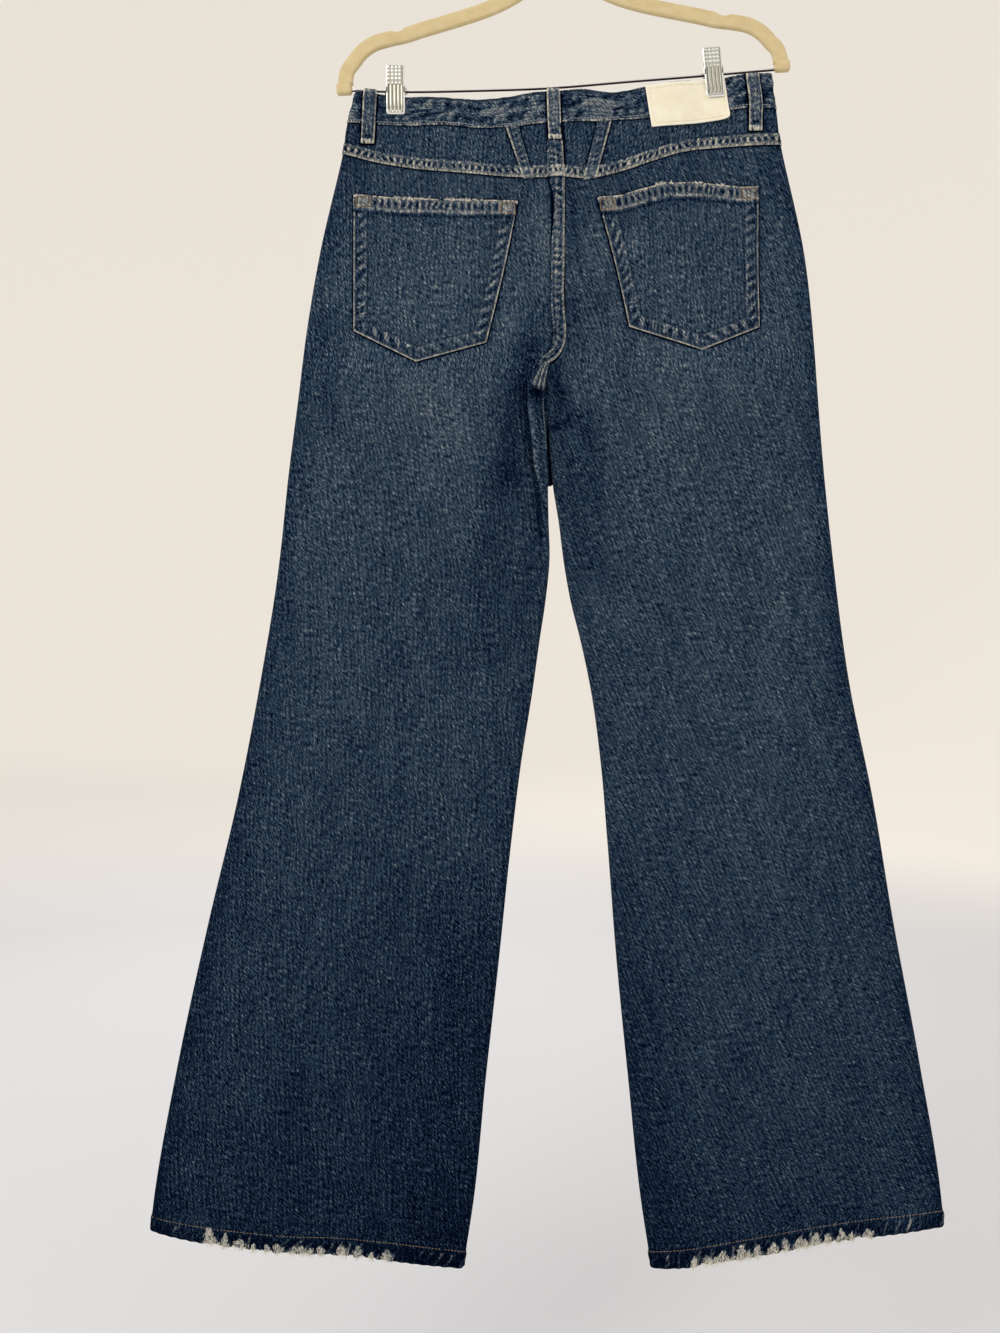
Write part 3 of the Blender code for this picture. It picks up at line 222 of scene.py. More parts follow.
# Finer creases: the face, a path on the cloth, half width, depth and darkening; darkening below zero is
# painted shade in the grooves, and above zero the ridges are paler.
CREASES = [
    (-1, [(-0.0262, 0.5150), (-0.0254, 0.5350), (-0.0214, 0.5620), (-0.0176, 0.5908),
          (-0.0125, 0.6184), (-0.0115, 0.6600)], 0.0032, -0.0028, -0.20),
    (-1, [(-0.0190, 0.5700), (-0.0120, 0.6050), (-0.0075, 0.6450)], 0.0034, 0.0010, 0.03),
    (-1, [(-0.0020, 0.5545), (0.0060, 0.5535), (0.0130, 0.5500), (0.0200, 0.5400)],
     0.0034, -0.0012, -0.17),
    (-1, [(0.0030, 0.5120), (0.0080, 0.5200), (0.0120, 0.5330)], 0.0040, -0.0008, -0.10),
    (-1, [(0.0105, 0.4884), (0.0150, 0.4898), (0.0200, 0.4930)], 0.0014, 0.0009, 0.10),
    (-1, [(0.0118, 0.4850), (0.0165, 0.4866), (0.0215, 0.4905)], 0.0014, -0.0006, -0.06),
    (-1, [(0.0247, 0.5577), (0.0350, 0.5700), (0.0447, 0.5842)], 0.0060, -0.0012, -0.03),
    (-1, [(0.0171, 0.5840), (0.0220, 0.6200), (0.0247, 0.6508)], 0.0070, -0.0014, -0.05),
    (-1, [(0.0040, 0.5200), (0.0120, 0.5120), (0.0230, 0.5060)], 0.0030, 0.0006, 0.02),
    (-1, [(-0.0480, 0.4980), (-0.0300, 0.5080), (-0.0200, 0.5180)], 0.0050, 0.0008, 0.0),
    (-1, [(-0.0600, 0.5300), (-0.0420, 0.5480), (-0.0320, 0.5750)], 0.0080, 0.0008, 0.0),
    (1, [(0.0050, 0.5100), (0.0300, 0.4960), (0.0650, 0.4700)], 0.0050, 0.0012, 0.02),
    (1, [(-0.0080, 0.5120), (-0.0350, 0.4950), (-0.0640, 0.4720)], 0.0045, 0.0011, 0.02),
    (1, [(0.0020, 0.5300), (0.0250, 0.5350), (0.0560, 0.5330)], 0.0050, -0.0010, -0.05),
    (1, [(-0.0100, 0.5280), (-0.0330, 0.5370), (-0.0600, 0.5390)], 0.0055, -0.0010, -0.05),
]

# Broad washed spots and painted shade: the face, a path, half width and how much paler (+) or darker (-);
# the darker ones are painted shade.
WASHES_AND_SHADES = [
    (-1, [(-0.0260, 0.4840), (-0.0330, 0.5200), (-0.0360, 0.5560), (-0.0410, 0.5950)],
     0.0170, -0.190),
    (-1, [(-0.0420, 0.4640), (-0.0440, 0.4960)], 0.0115, 0.080),
    (-1, [(-0.3000, 1.3180), (-0.1000, 1.3450)], 0.0170, -0.070),
    (-1, [(0.1000, 1.3380), (0.3000, 1.3150)], 0.0170, -0.070),
    (-1, [(-0.0470, 0.6100), (-0.0540, 0.6600), (-0.0570, 0.7000), (-0.0570, 0.7600)],
     0.0170, -0.080),
    (-1, [(-0.0215, 0.6250), (-0.0225, 0.7200)], 0.0100, -0.060),
    (-1, [(0.0450, 0.4330), (0.0200, 0.4450), (0.0200, 0.4700)], 0.0170, -0.100),
    (-1, [(0.0300, 0.5500), (0.0370, 0.5850), (0.0420, 0.6150), (0.0370, 0.6450),
          (0.0300, 0.6900)], 0.0150, -0.085),
    (-1, [(-0.0030, 0.3600), (-0.0030, 0.3880)], 0.0130, 0.075),
    (-1, [(0.0560, 0.3850), (0.0780, 0.3850)], 0.0140, 0.065),
    (-1, [(-0.2090, 0.4550), (-0.2100, 0.5600)], 0.0120, -0.095),
    (-1, [(0.0030, 0.5000), (0.0090, 0.5250), (0.0060, 0.5500)], 0.0110, -0.085),
    (-1, [(-0.0120, 0.4400), (-0.0200, 0.5050)], 0.0110, -0.060),
    (-1, [(0.0030, 0.5050), (0.0080, 0.5500), (0.0160, 0.6200)], 0.0080, -0.060),
    (-1, [(0.0180, 0.3300), (0.0200, 0.4000)], 0.0070, -0.075),
    (-1, [(-0.0080, 0.3350), (-0.0060, 0.4000), (-0.0060, 0.4600)], 0.0090, 0.030),
    (-1, [(0.0330, 0.3900), (0.0560, 0.4300)], 0.0200, 0.025),
    (-1, [(-0.0095, 0.3245), (-0.0105, 0.3320)], 0.0028, 0.080),
    (-1, [(-0.0045, 0.3225), (-0.0015, 0.3300)], 0.0022, -0.160),
    (-1, [(-0.1450, 0.5250), (-0.1000, 0.5450), (-0.0800, 0.5900)], 0.0330, 0.030),
    (-1, [(0.1450, 0.5050), (0.1000, 0.5500), (0.0900, 0.6300)], 0.0350, 0.025),
    (-1, [(-0.0800, 1.0500), (-0.0950, 1.1700), (-0.1100, 1.3000)], 0.0600, -0.055),
    (-1, [(0.0750, 0.9800), (0.0900, 1.1500), (0.1050, 1.3000)], 0.0360, -0.060),
    (-1, [(-0.2600, 1.0800), (-0.2900, 1.2000)], 0.0400, 0.015),
    (1, [(-0.1100, 0.5000), (-0.1350, 0.7200)], 0.0480, 0.055),
    (1, [(0.1150, 0.5000), (0.1400, 0.7200)], 0.0480, 0.055),
    (1, [(-0.1700, 1.0500), (-0.1900, 1.3000)], 0.0700, -0.030),
    (1, [(0.1700, 1.0500), (0.1900, 1.3000)], 0.0700, -0.030),
]


# ---------------------------------------------------------------- the middle surface

def smooth(at, knots, values):
    """A smooth curve through (knots, values), read at one or many places."""
    slopes = np.gradient(values, knots)
    i = np.clip(np.searchsorted(knots, at) - 1, 0, len(knots) - 2)
    step = knots[i + 1] - knots[i]
    t = np.clip((at - knots[i]) / step, -0.3, 1.3)
    start = values[i] * (1 + 2 * t) * (1 - t) ** 2 + slopes[i] * step * t * (1 - t) ** 2
    end = values[i + 1] * t * t * (3 - 2 * t) + slopes[i + 1] * step * t * t * (t - 1)
    return start + end


def ease(t):
    t = np.clip(t, 0.0, 1.0)
    return t * t * (3 - 2 * t)


def after(value, start, soft):
    """0 up to the start, rising to 1 over the soft width."""
    return ease((value - start) / soft)


def until(value, end, soft):
    """1 well before the end, falling over the soft width to 0 there."""
    return ease((end - value) / soft)


def within(value, start, end, soft, soft_end=None):
    """1 between the start and the end, falling to 0 outside over the soft widths."""
    return after(value, start, soft) * (1 - after(value, end, soft_end or soft))


def seat_share(level, from_seam=0.0):
    """1 where the two halves are one tube, 0 where the legs have parted."""
    above = CROTCH_ROUND + SEAT_SPREAD * from_seam
    below = SEAT_SPREAD * from_seam
    t = np.clip((level - CROTCH + above) / (above + below), 0.0, 1.0)
    far = np.clip(from_seam / SEAT_SOFTENS, 0.0, 1.0)
    return (1 - far) * np.sqrt(1 - t * t) + far * (1 - ease(t))


def inner_x(side, level):
    seam = smooth(np.minimum(level, CROTCH), SEAM["level"], SEAM["x"])
    leg = smooth(np.maximum(level, CROTCH), INNER["level"], INNER[side + "_x"])
    return np.where(level <= CROTCH, seam, leg)


def outer_edge(side, level):
    return (smooth(level, OUTER["level"], OUTER[side + "_x"]),
            smooth(level, OUTER["level"], OUTER[side + "_drop"]))


def share_across(side, x, level):
    """How far a place lies across a half: 0 at the side seam, 1 at the inner edge."""
    out_x = outer_edge(side, level)[0]
    return np.clip((x - out_x) / (inner_x(side, level) - out_x), 0, 1)


def sag(side, across, level):
    total = 0.0
    for line, at in SAG_LINES.items():
        share = np.interp(level, SAG_KNOTS, (SAG_KNOTS == at).astype(float))
        total = total + share * smooth(across, SAG["across"], SAG[line + "_" + side])
    return total


def front_dip(face, across, level):
    if face < 0:
        return 0.0
    return FRONT_DIP * ease(across) * (1 - ease((level - WAIST_TOP) / (SEAT - WAIST_TOP)))


def drop_at(side, face, across, level):
    outer_drop = outer_edge(side, level)[1]
    line = outer_drop + (level - outer_drop) * across
    return line + sag(side, across, level) + front_dip(face, across, level)


def pinch(x, level):
    """How much the clips press the cloth together at a place."""
    below = np.maximum(level - WAIST_TOP, 0.0)
    total = 0.0
    for (clip_x, _), _, _, _ in CLIPS.values():
        beyond = np.maximum(np.abs(x - clip_x) - CLIP_WIDTH / 2, 0.0)
        reach = CLIP_REACH + CLIP_SPREAD * below
        total = total + np.exp(-(beyond / reach) ** 2)
    return total * (1 - ease((level - WAIST_SEAM) / (PINCH_END - WAIST_SEAM)))


def reach_along(points):
    """How far along a path each of its points lies."""
    steps = np.linalg.norm(np.diff(points, axis=0), axis=1)
    return np.concatenate([[0], np.cumsum(steps)])


def path_distance(x, drop, path):
    """Distance from a path of places, and how far along it the nearest is (0..1)."""
    path = np.array(path)
    before = reach_along(path)
    best = np.full(np.shape(x), np.inf)
    along = np.zeros(np.shape(x))
    for i, step in enumerate(np.diff(before)):
        way = (path[i + 1] - path[i]) / step
        run = (x - path[i, 0]) * way[0] + (drop - path[i, 1]) * way[1]
        run = np.clip(run, 0, step)
        off = np.hypot(x - path[i, 0] - run * way[0], drop - path[i, 1] - run * way[1])
        nearer = off < best
        best = np.where(nearer, off, best)
        along = np.where(nearer, (before[i] + run) / before[-1], along)
    return best, along


def fold_depth(face, x, drop):
    total = 0.0
    for i in range(len(FOLDS["x"])):
        if FOLDS["face"][i] != face:
            continue
        run = (drop - FOLDS["top"][i]) / (FOLDS["bottom"][i] - FOLDS["top"][i])
        along = np.sin(math.pi * np.clip(run, 0.0, 1.0)) ** 1.3
        middle = FOLDS["x"][i] + FOLDS["lean"][i] * (drop - FOLDS["top"][i])
        total = total + FOLDS["depth"][i] * along * np.exp(-((x - middle) / FOLDS["width"][i]) ** 2)
    return total


def crease_depth(face, x, drop):
    total = 0.0
    for on_face, path, width, depth, _ in CREASES:
        if on_face != face:
            continue
        off, along = path_distance(x, drop, path)
        fade = np.sin(math.pi * np.clip(along, 0.02, 0.98)) ** 0.5
        total = total + depth * fade * np.exp(-(off / width) ** 2)
    return total


def cloth(side, face, across, level, rise):
    """Points of the middle surface: a share across a panel, at a level."""
    out_x = outer_edge(side, level)[0]
    in_x = inner_x(side, level) + (-1 if side == "left" else 1) * SEAM_GAP / 2
    x = out_x + (in_x - out_x) * across
    drop = drop_at(side, face, across, level)
    seat = seat_share(level, np.abs(in_x - out_x) * (1 - np.clip(across, 0, 1)))
    peak = smooth(level, DEPTH["level"], DEPTH["peak_" + side])
    leg_bulge = np.clip(across, 0, 1) ** (math.log(0.5) / np.log(peak))
    leg_bulge = np.maximum(np.sin(math.pi * leg_bulge), 0.0) ** LEG_BULGE_POWER
    bulge = seat * np.sin(math.pi / 2 * across) + (1 - seat) * leg_bulge
    name = ("back_" if face < 0 else "front_") + side
    depth = smooth(level, DEPTH["level"], DEPTH[name])
    half = FOLD_RADIUS * rise + (depth - FOLD_RADIUS) * bulge
    press = np.clip(pinch(x, level), 0, 1) * rise
    half = half * (1 - press) + CLIP_PINCH * press
    half = half + (fold_depth(face, x, drop) + crease_depth(face, x, drop)) * rise
    return np.stack([x, face * (half + SEAM_GAP / 2), -drop], axis=-1)


def by_column(side, face, column, level):
    """The middle surface by column: 0 at the side seam, 1 at the inner edge."""
    seat = seat_share(level)
    zone = smooth(level, DEPTH["level"], DEPTH["inner_zone"])
    width = np.abs(inner_x(side, level) - outer_edge(side, level)[0])
    turn_out = np.clip(column / ARC_SHARE, 0, 1) * math.pi / 2
    turn_in = np.clip((1 - column) / ARC_SHARE, 0, 1) * math.pi / 2
    from_inner = zone * (seat * turn_in * 2 / math.pi + (1 - seat) * (1 - np.cos(turn_in)))
    middle = np.clip((column - ARC_SHARE) / (1 - 2 * ARC_SHARE), 0, 1)
    run = FOLD_RADIUS + middle * (width - FOLD_RADIUS - zone)
    run = np.where(column < ARC_SHARE, FOLD_RADIUS * (1 - np.cos(turn_out)), run)
    run = np.where(column > 1 - ARC_SHARE, width - from_inner, run)
    rise = np.sin(turn_out) * (seat + (1 - seat) * np.sin(turn_in))
    return cloth(side, face, run / width, level, rise)


def unit(v):
    return v / np.maximum(np.linalg.norm(v, axis=-1, keepdims=True), 1e-12)


def column_normals(side, face, column, level):
    """Outward normals, the same for the panels on both sides of a seam."""
    nudge_c = 0.002
    nudge_l = 0.0006
    lower, upper = np.maximum(column - nudge_c, 0), np.minimum(column + nudge_c, 1)
    over = by_column(side, face, upper, level) - by_column(side, face, lower, level)
    down = by_column(side, face, column, level) - by_column(side, face, column, level - nudge_l)
    way = face * (1 if side == "left" else -1)
    normal = unit(way * np.cross(over, down))
    on_seam = (column > 1 - 1e-9) & (level <= CROTCH + 1e-9)
    seam = -face * np.stack([0 * level, down[..., 2], -down[..., 1]], axis=-1)
    return np.where(on_seam[..., None], unit(seam), normal)


LEVEL_TRIES = 22
LEVEL_STEP = 0.8


def at_place(face, x, drop):
    """The middle surface at a place seen square on."""
    x = np.asarray(x, dtype=float)
    drop = np.asarray(drop, dtype=float)
    points = {}
    for side in SIDES:
        level = drop.copy()
        for _ in range(LEVEL_TRIES):
            across = share_across(side, x, level)
            level = level + LEVEL_STEP * (drop - drop_at(side, face, across, level))
        edge = np.abs(x - outer_edge(side, level)[0])
        rise = np.sqrt(np.maximum(1 - (1 - np.minimum(edge / FOLD_RADIUS, 1)) ** 2, 0))
        points[side] = cloth(side, face, across, level, rise)
    left = x < inner_x("left", drop)
    y = np.where(left, points["left"][..., 1], points["right"][..., 1])
    return np.stack([x, y, -drop], axis=-1)


def place_frame(face, x, drop):
    """Middle points and outward normals at places seen square on."""
    nudge = 0.0015
    here = at_place(face, x, drop)
    over = at_place(face, x + nudge, drop) - at_place(face, x - nudge, drop)
    down = at_place(face, x, drop + nudge) - at_place(face, x, drop - nudge)
    return here, unit(-face * np.cross(down, over))


# ---------------------------------------------------------------- wandering and wear

LATTICE = 64


def wander(u, v, seed):
    """Smooth values from -1 to 1 that change over about one unit of u and v."""
    grid = np.random.default_rng(seed).random((LATTICE, LATTICE)) * 2 - 1
    u, v = np.broadcast_arrays(np.asarray(u, float), np.asarray(v, float))
    i, j = np.floor(u).astype(int), np.floor(v).astype(int)
    s, t = ease(u - i), ease(v - j)
    i0, i1, j0, j1 = i % LATTICE, (i + 1) % LATTICE, j % LATTICE, (j + 1) % LATTICE
    low = grid[i0, j0] * (1 - s) + grid[i1, j0] * s
    high = grid[i0, j1] * (1 - s) + grid[i1, j1] * s
    return low * (1 - t) + high * t


def roping(along, across, pitch, lean, seed):
    """The ridges of a puckered seam, from -1 in a hollow to 1 on a ridge.

    along and across are metres, and across runs away from the stitches.
    """
    turn = along / pitch + lean * across / pitch
    turn = turn + 0.45 * wander(along / (2.1 * pitch), across / (1.5 * pitch), seed)
    wave = np.sin(2 * math.pi * turn)
    size = 0.72 + 0.42 * wander(along / (1.6 * pitch) + 9, across / (2 * pitch), seed + 1)
    return np.clip(1.25 * wave, -1, 1) * size


def bump_at(value, middle, width):
    """1 at the middle, falling away smoothly over the width."""
    return np.exp(-((value - middle) / width) ** 2)


def lines(value, *marks):
    """A sum of bumps, each given by its size, middle and width."""
    return sum(size * bump_at(value, middle, width) for size, middle, width in marks)


FADE_ROWS = table("drop left right", [
    (0.200, 0.405, 0.395), (0.300, 0.410, 0.405), (0.360, 0.440, 0.432), (0.420, 0.470, 0.460),
    (0.500, 0.462, 0.463), (0.600, 0.430, 0.440), (0.750, 0.412, 0.430), (0.900, 0.383, 0.412),
    (1.050, 0.335, 0.385), (1.200, 0.288, 0.348), (1.280, 0.262, 0.325), (1.360, 0.225, 0.275),
])
DARK_SIDE = (-0.085, 0.0, 0.0140)       # depth, middle and reach of the painted shade along the side seams
# depth, middle and reach of the painted shade along the inner edges of the lower legs
DARK_INSEAM = (-0.040, 0.0, 0.0120)


def from_sides(x, drop):
    """Distance from the nearer side seam."""
    left, right = (np.abs(x - smooth(drop, OUTER[side + "_drop"], OUTER[side + "_x"])) for side in SIDES)
    return np.minimum(left, right)


def fade(x, drop, face=-1):
    """How pale the indigo is at a place: palest at the seat, darker towards the hems, with painted shade
    along the side seams and lower inseams, in the creases and in the darker washes.
    """
    left, right = (np.interp(drop, FADE_ROWS["drop"], FADE_ROWS[side]) for side in SIDES)
    middle = ease((x + 0.05) / 0.10)
    level = left * (1 - middle) + right * middle
    level = level + lines(from_sides(x, drop), DARK_SIDE)
    gap = np.minimum(np.abs(x - inner_x("left", drop)), np.abs(x - inner_x("right", drop)))
    level = level + after(drop, 0.52, 0.12) * lines(gap, DARK_INSEAM)
    marks = WASHES_AND_SHADES + [(on_face, path, width, tone) for on_face, path, width, _, tone in CREASES]
    for on_face, path, width, tone in marks:
        if on_face == face and tone:
            level = level + tone * bump_at(path_distance(x, drop, path)[0], 0.0, width)
    return level + 0.022 * wander(x / 0.030, drop / 0.110, 5) + 0.014 * wander(x / 0.012, drop / 0.05, 6)


# ---------------------------------------------------------------- meshes

def quad_mesh(name, points, quads, traits=None):
    """A mesh of quads whose named traits are stored at its points."""
    mesh = bpy.data.meshes.new(name)
    mesh.vertices.add(len(points))
    mesh.vertices.foreach_set("co", np.ascontiguousarray(points, dtype=np.float32).ravel())
    mesh.loops.add(quads.size)
    mesh.loops.foreach_set("vertex_index", quads.astype(np.int32).ravel())
    mesh.polygons.add(len(quads))
    mesh.polygons.foreach_set("loop_start", np.arange(0, quads.size, 4, dtype=np.int32))
    mesh.update(calc_edges=True)
    for trait, values in (traits or {}).items():
        kind = "FLOAT_VECTOR" if values.ndim == 2 else "FLOAT"
        made = mesh.attributes.new(trait, kind, "POINT")
        key = "vector" if values.ndim == 2 else "value"
        made.data.foreach_set(key, np.ascontiguousarray(values, dtype=np.float32).ravel())
    mesh.shade_smooth()
    return mesh


def signed_volume(points, quads):
    a, b, c, d = (points[quads[:, i]] for i in range(4))
    return float(np.einsum("ij,ij->", a, np.cross(b, c)) + np.einsum("ij,ij->", a, np.cross(c, d)))


PIECES = {}


def place_piece(mesh, look, nodes=()):
    """Put a finished mesh in the scene, riding on the one body."""
    name = mesh.name.split(".")[0]
    item = PIECES[name] = bpy.data.objects.new("made_" + name, mesh)
    bpy.context.scene.collection.objects.link(item)
    mesh.materials.append(look)
    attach(item, "root")
    if nodes:
        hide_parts(*nodes)


def grid_quads(rows, cols, first=0):
    at = first + np.arange(rows * cols).reshape(rows, cols)
    return np.stack([at[:-1, :-1], at[:-1, 1:], at[1:, 1:], at[1:, :-1]], axis=-1).reshape(-1, 4)


INNER_FADE = 0.66       # the pale weft shows on the cloth's inner face
FAR = 0.05


def shell(name, outer, inner, grain, fade_and_shade_at, wear_and_shading, rim, edge=FAR, turns=3,
          rim_wear=0.0, inner_fade=INNER_FADE):
    """A thin closed shell between two grids, with a rounded rim all round.

    grain gives each point its place in the cloth, across and along the warp.
    """
    rows, cols = outer.shape[:2]
    shape = (rows, cols)
    fade_and_shade_at, wear_and_shading, edge = (np.broadcast_to(v, shape) for v in (fade_and_shade_at, wear_and_shading, edge))
    r = np.concatenate([np.zeros(cols - 1), np.arange(rows - 1),
                        np.full(cols - 1, rows - 1), np.arange(rows - 1, 0, -1)]).astype(int)
    c = np.concatenate([np.arange(cols - 1), np.full(rows - 1, cols - 1),
                        np.arange(cols - 1, 0, -1), np.zeros(rows - 1)]).astype(int)
    middle, half = (outer + inner) / 2, (outer - inner) / 2
    out = unit(middle[r, c] - middle[np.clip(r, 1, rows - 2), np.clip(c, 1, cols - 2)])
    out = out * np.linalg.norm(half[r, c], axis=-1, keepdims=True) * rim
    angles = [math.pi * (j + 1) / (turns + 1) for j in range(turns)]
    rims = [middle[r, c] + half[r, c] * math.cos(a) + out * math.sin(a) for a in angles]
    points = np.concatenate([outer.reshape(-1, 3)] + rims + [inner.reshape(-1, 3)])

    count = rows * cols
    border = r * cols + c
    rings = [border] + [count + k * len(r) + np.arange(len(r)) for k in range(turns)]
    rings.append(count + turns * len(r) + border)
    quads = [grid_quads(rows, cols), grid_quads(rows, cols, count + turns * len(r))[:, ::-1]]
    for one, two in zip(rings, rings[1:]):
        quads.append(np.stack([one, two, np.roll(two, -1), np.roll(one, -1)], axis=-1))
    quads = np.concatenate(quads)
    if signed_volume(points, quads) < 0:
        quads = quads[:, ::-1]

    def spread(values, rim_values, inner_values):
        return np.concatenate([values.reshape(-1)] + [rim_values] * turns + [inner_values.reshape(-1)])

    flat = grain.reshape(-1, 2)
    grains = np.concatenate([flat] + [grain[r, c]] * turns + [flat])
    traits = {
        "grain": np.concatenate([grains, np.zeros((len(grains), 1))], axis=1),
        "fade": spread(fade_and_shade_at, fade_and_shade_at[r, c], np.full(shape, inner_fade)),
        # rubbed pale cloth, with painted shade in grooves and creases, and painted highlights and shade on
        # the clips' marks
        "wear_and_shading": spread(wear_and_shading, wear_and_shading[r, c] + rim_wear, np.zeros(shape)),
        # distance from a raised edge, beside which the denim paints a shadow
        "edge": spread(edge, edge[r, c], np.full(shape, FAR)),
    }
    return quad_mesh(name, points, quads, traits)


def grain_of(across, along):
    """Places in the cloth from two broadcastable parts."""
    return np.stack(np.broadcast_arrays(across, along), axis=-1)


def raised(name, node, points, normals, outer, inner, grain, fade_and_shade_at, wear_and_shading, rim,
           slot="denim", look=None, **how):
    """A cloth piece whose faces stand off the middle surface by outer and inner."""
    faces = [points + normals * np.asarray(rise)[..., None] for rise in (outer, inner)]
    place_piece(shell(name, *faces, grain, fade_and_shade_at, wear_and_shading, rim, **how), look or DENIM, [node])


def arc_places(points, start=0):
    """How far each point of a grid lies along its row from the start column."""
    steps = np.linalg.norm(np.diff(points, axis=1), axis=2)
    run = np.concatenate([np.zeros((len(points), 1)), np.cumsum(steps, axis=1)], axis=1)
    return run - run[:, start:start + 1]


def columns_for(middle, edge=8, inner=8):
    """Shares across a half: arcs at both edges and an even run between them."""
    return np.concatenate([np.linspace(0, ARC_SHARE, edge, endpoint=False),
                           np.linspace(ARC_SHARE, 1 - ARC_SHARE, middle, endpoint=False),
                           np.linspace(1 - ARC_SHARE, 1, inner)])


def grid_of(side, face, columns, levels):
    """Middle points and normals for every column and level of one half."""
    levels = np.asarray(levels, dtype=float)
    level = levels if levels.ndim == 2 else np.repeat(levels[:, None], len(columns), axis=1)
    column = np.broadcast_to(columns, level.shape)
    return by_column(side, face, column, level), column_normals(side, face, column, level), level


# ---------------------------------------------------------------- thread and fray

STITCH_PITCH = 0.0031
STITCH_LONG = 0.0025
STITCH_RADIUS = 0.00032
STITCH_RINGS = [(-1.0, 0.25, -1.1), (-0.5, 0.95, 0.0), (0.5, 0.95, 0.0), (1.0, 0.25, -1.1)]
SATIN_SLANT = 0.22
FIBRE_STEPS = 4


def resample(points, pitch):
    """Places every pitch along a run of points, with their directions."""
    reach = reach_along(points[:, :3])
    at = np.arange(pitch / 2, reach[-1] - pitch / 3, pitch)
    behind, place, ahead = (np.stack([np.interp(at + shift, reach, values) for values in points.T], axis=-1)
                            for shift in (-pitch / 4, 0.0, pitch / 4))
    return place, unit(ahead[:, :3] - behind[:, :3])


class Heap:
    """Collects many small forms, and makes one mesh of them."""

    def __init__(self, seed):
        self.points, self.quads, self.count = [], [], 0
        self.random = np.random.default_rng(seed)

    def mesh(self, name):
        return quad_mesh(name, np.concatenate(self.points), np.concatenate(self.quads))


class Threads(Heap):
    """Rows of stitches."""

    def add(self, places, ways, normals, long, radius, sink=0.3):
        """Stitches as short rounded bars whose ends dip into the cloth."""
        ways, normals = unit(ways), unit(normals)
        aside = unit(np.cross(ways, normals))
        n = len(places)
        if n == 0:
            return
        rings = []
        for along, size, dip in STITCH_RINGS:
            middle = places + ways * (long / 2 * along) + normals * (radius * (dip + 1 - sink))
            for turn in range(4):
                a = math.pi / 2 * turn + math.pi / 4
                rings.append(middle + (aside * math.cos(a) + normals * math.sin(a)) * radius * size)
        block = np.stack(rings, axis=1).reshape(-1, 3)
        base = self.count + 16 * np.arange(n)[:, None]
        sides = [[ring + turn, ring + (turn + 1) % 4, ring + (turn + 1) % 4 + 4, ring + turn + 4]
                 for ring in (0, 4, 8) for turn in range(4)]
        faces = np.array(sides + [[3, 2, 1, 0], [12, 13, 14, 15]])
        self.quads.append((base[:, :, None] + faces).reshape(-1, 4))
        self.points.append(block)
        self.count += len(block)

    def row(self, points, normals, pitch=STITCH_PITCH, long=STITCH_LONG, radius=STITCH_RADIUS,
            lost=0.0):
        """Stitches along a run of points; a share of them has worn away."""
        place, way = resample(np.concatenate([points, normals], axis=-1), pitch)
        kept = self.random.random(len(place)) >= lost
        place, way = place[kept], way[kept]
        long = long * (1 + 0.16 * (self.random.random(len(place)) - 0.5))[:, None]
        way = unit(way + 0.10 * (self.random.random((len(place), 3)) - 0.5))
        self.add(place[:, :3], way, place[:, 3:], long, radius)

    def satin(self, points, normals, wide, pitch, radius):
        """Close stitches across a run of points, as in a bar tack."""
        place, way = resample(np.concatenate([points, normals], axis=-1), pitch)
        normal = unit(place[:, 3:])
        slant = SATIN_SLANT * np.where(np.arange(len(way)) % 2, 1, -1)[:, None]
        across = unit(np.cross(way, normal) + slant * way)
        wide = wide * (1 + 0.2 * (self.random.random(len(place)) - 0.5))[:, None]
        self.add(place[:, :3], across, normal, wide, radius, sink=0.1)


class Fray(Heap):
    """Loose cotton fibres."""

    def fibre(self, root, way, long, radius, bend=0.5, droop=0.3):
        """One bent fibre of three sides that thins to its end."""
        random = self.random
        way = np.array(way, dtype=float)
        turn = random.normal(size=3) * bend
        path = [np.array(root, dtype=float)]
        for k in range(FIBRE_STEPS):
            share = k / FIBRE_STEPS
            way = unit(way + turn * share * 0.6 + np.array([0, 0, -droop * share]))
            path.append(path[-1] + way * long / FIBRE_STEPS)
        path = np.array(path)
        ways = unit(np.gradient(path, axis=0))
        aside = unit(np.cross(ways, random.normal(size=3)))
        other = np.cross(ways, aside)
        sizes = radius * np.linspace(1.0, 0.45, len(path))[:, None]
        for turn in range(3):
            a = math.tau / 3 * turn
            self.points.append(path + (aside * math.cos(a) + other * math.sin(a)) * sizes)
        n = len(path)
        for turn in range(3):
            a = self.count + turn * n + np.arange(n - 1)
            b = self.count + (turn + 1) % 3 * n + np.arange(n - 1)
            self.quads.append(np.stack([a, b, b + 1, a + 1], axis=-1))
        self.count += 3 * n

    def tuft(self, place, normal, way, size, fibres, spread=0.9):
        """A burst of fibres from a worn spot; size is how far they reach."""
        random = self.random
        normal, way = unit(np.array(normal, float)), unit(np.array(way, float))
        aside = np.cross(normal, way)
        for _ in range(fibres):
            off = random.normal(size=2) * size * 0.28
            root = np.array(place) + aside * off[0] + way * off[1] * 0.5 - normal * 0.0004
            lean = way * (0.8 + 0.5 * random.random()) + aside * random.normal() * spread
            lean = lean + normal * (0.25 + 0.45 * random.random())
            long = size * (0.45 + 0.75 * random.random())
            self.fibre(root, lean, long, 0.00016 + 0.00012 * random.random())


# ---------------------------------------------------------------- materials

def blank(name, roughness, **settings):
    """A material with its shader's own constants set."""
    made = bpy.data.materials.new(name)
    made.use_nodes = True
    shader = made.node_tree.nodes["Principled BSDF"]
    shader.inputs["Roughness"].default_value = roughness
    for key, value in settings.items():
        shader.inputs[key.replace("_", " ").title().replace("Ior", "IOR")].default_value = value
    return made, made.node_tree, shader


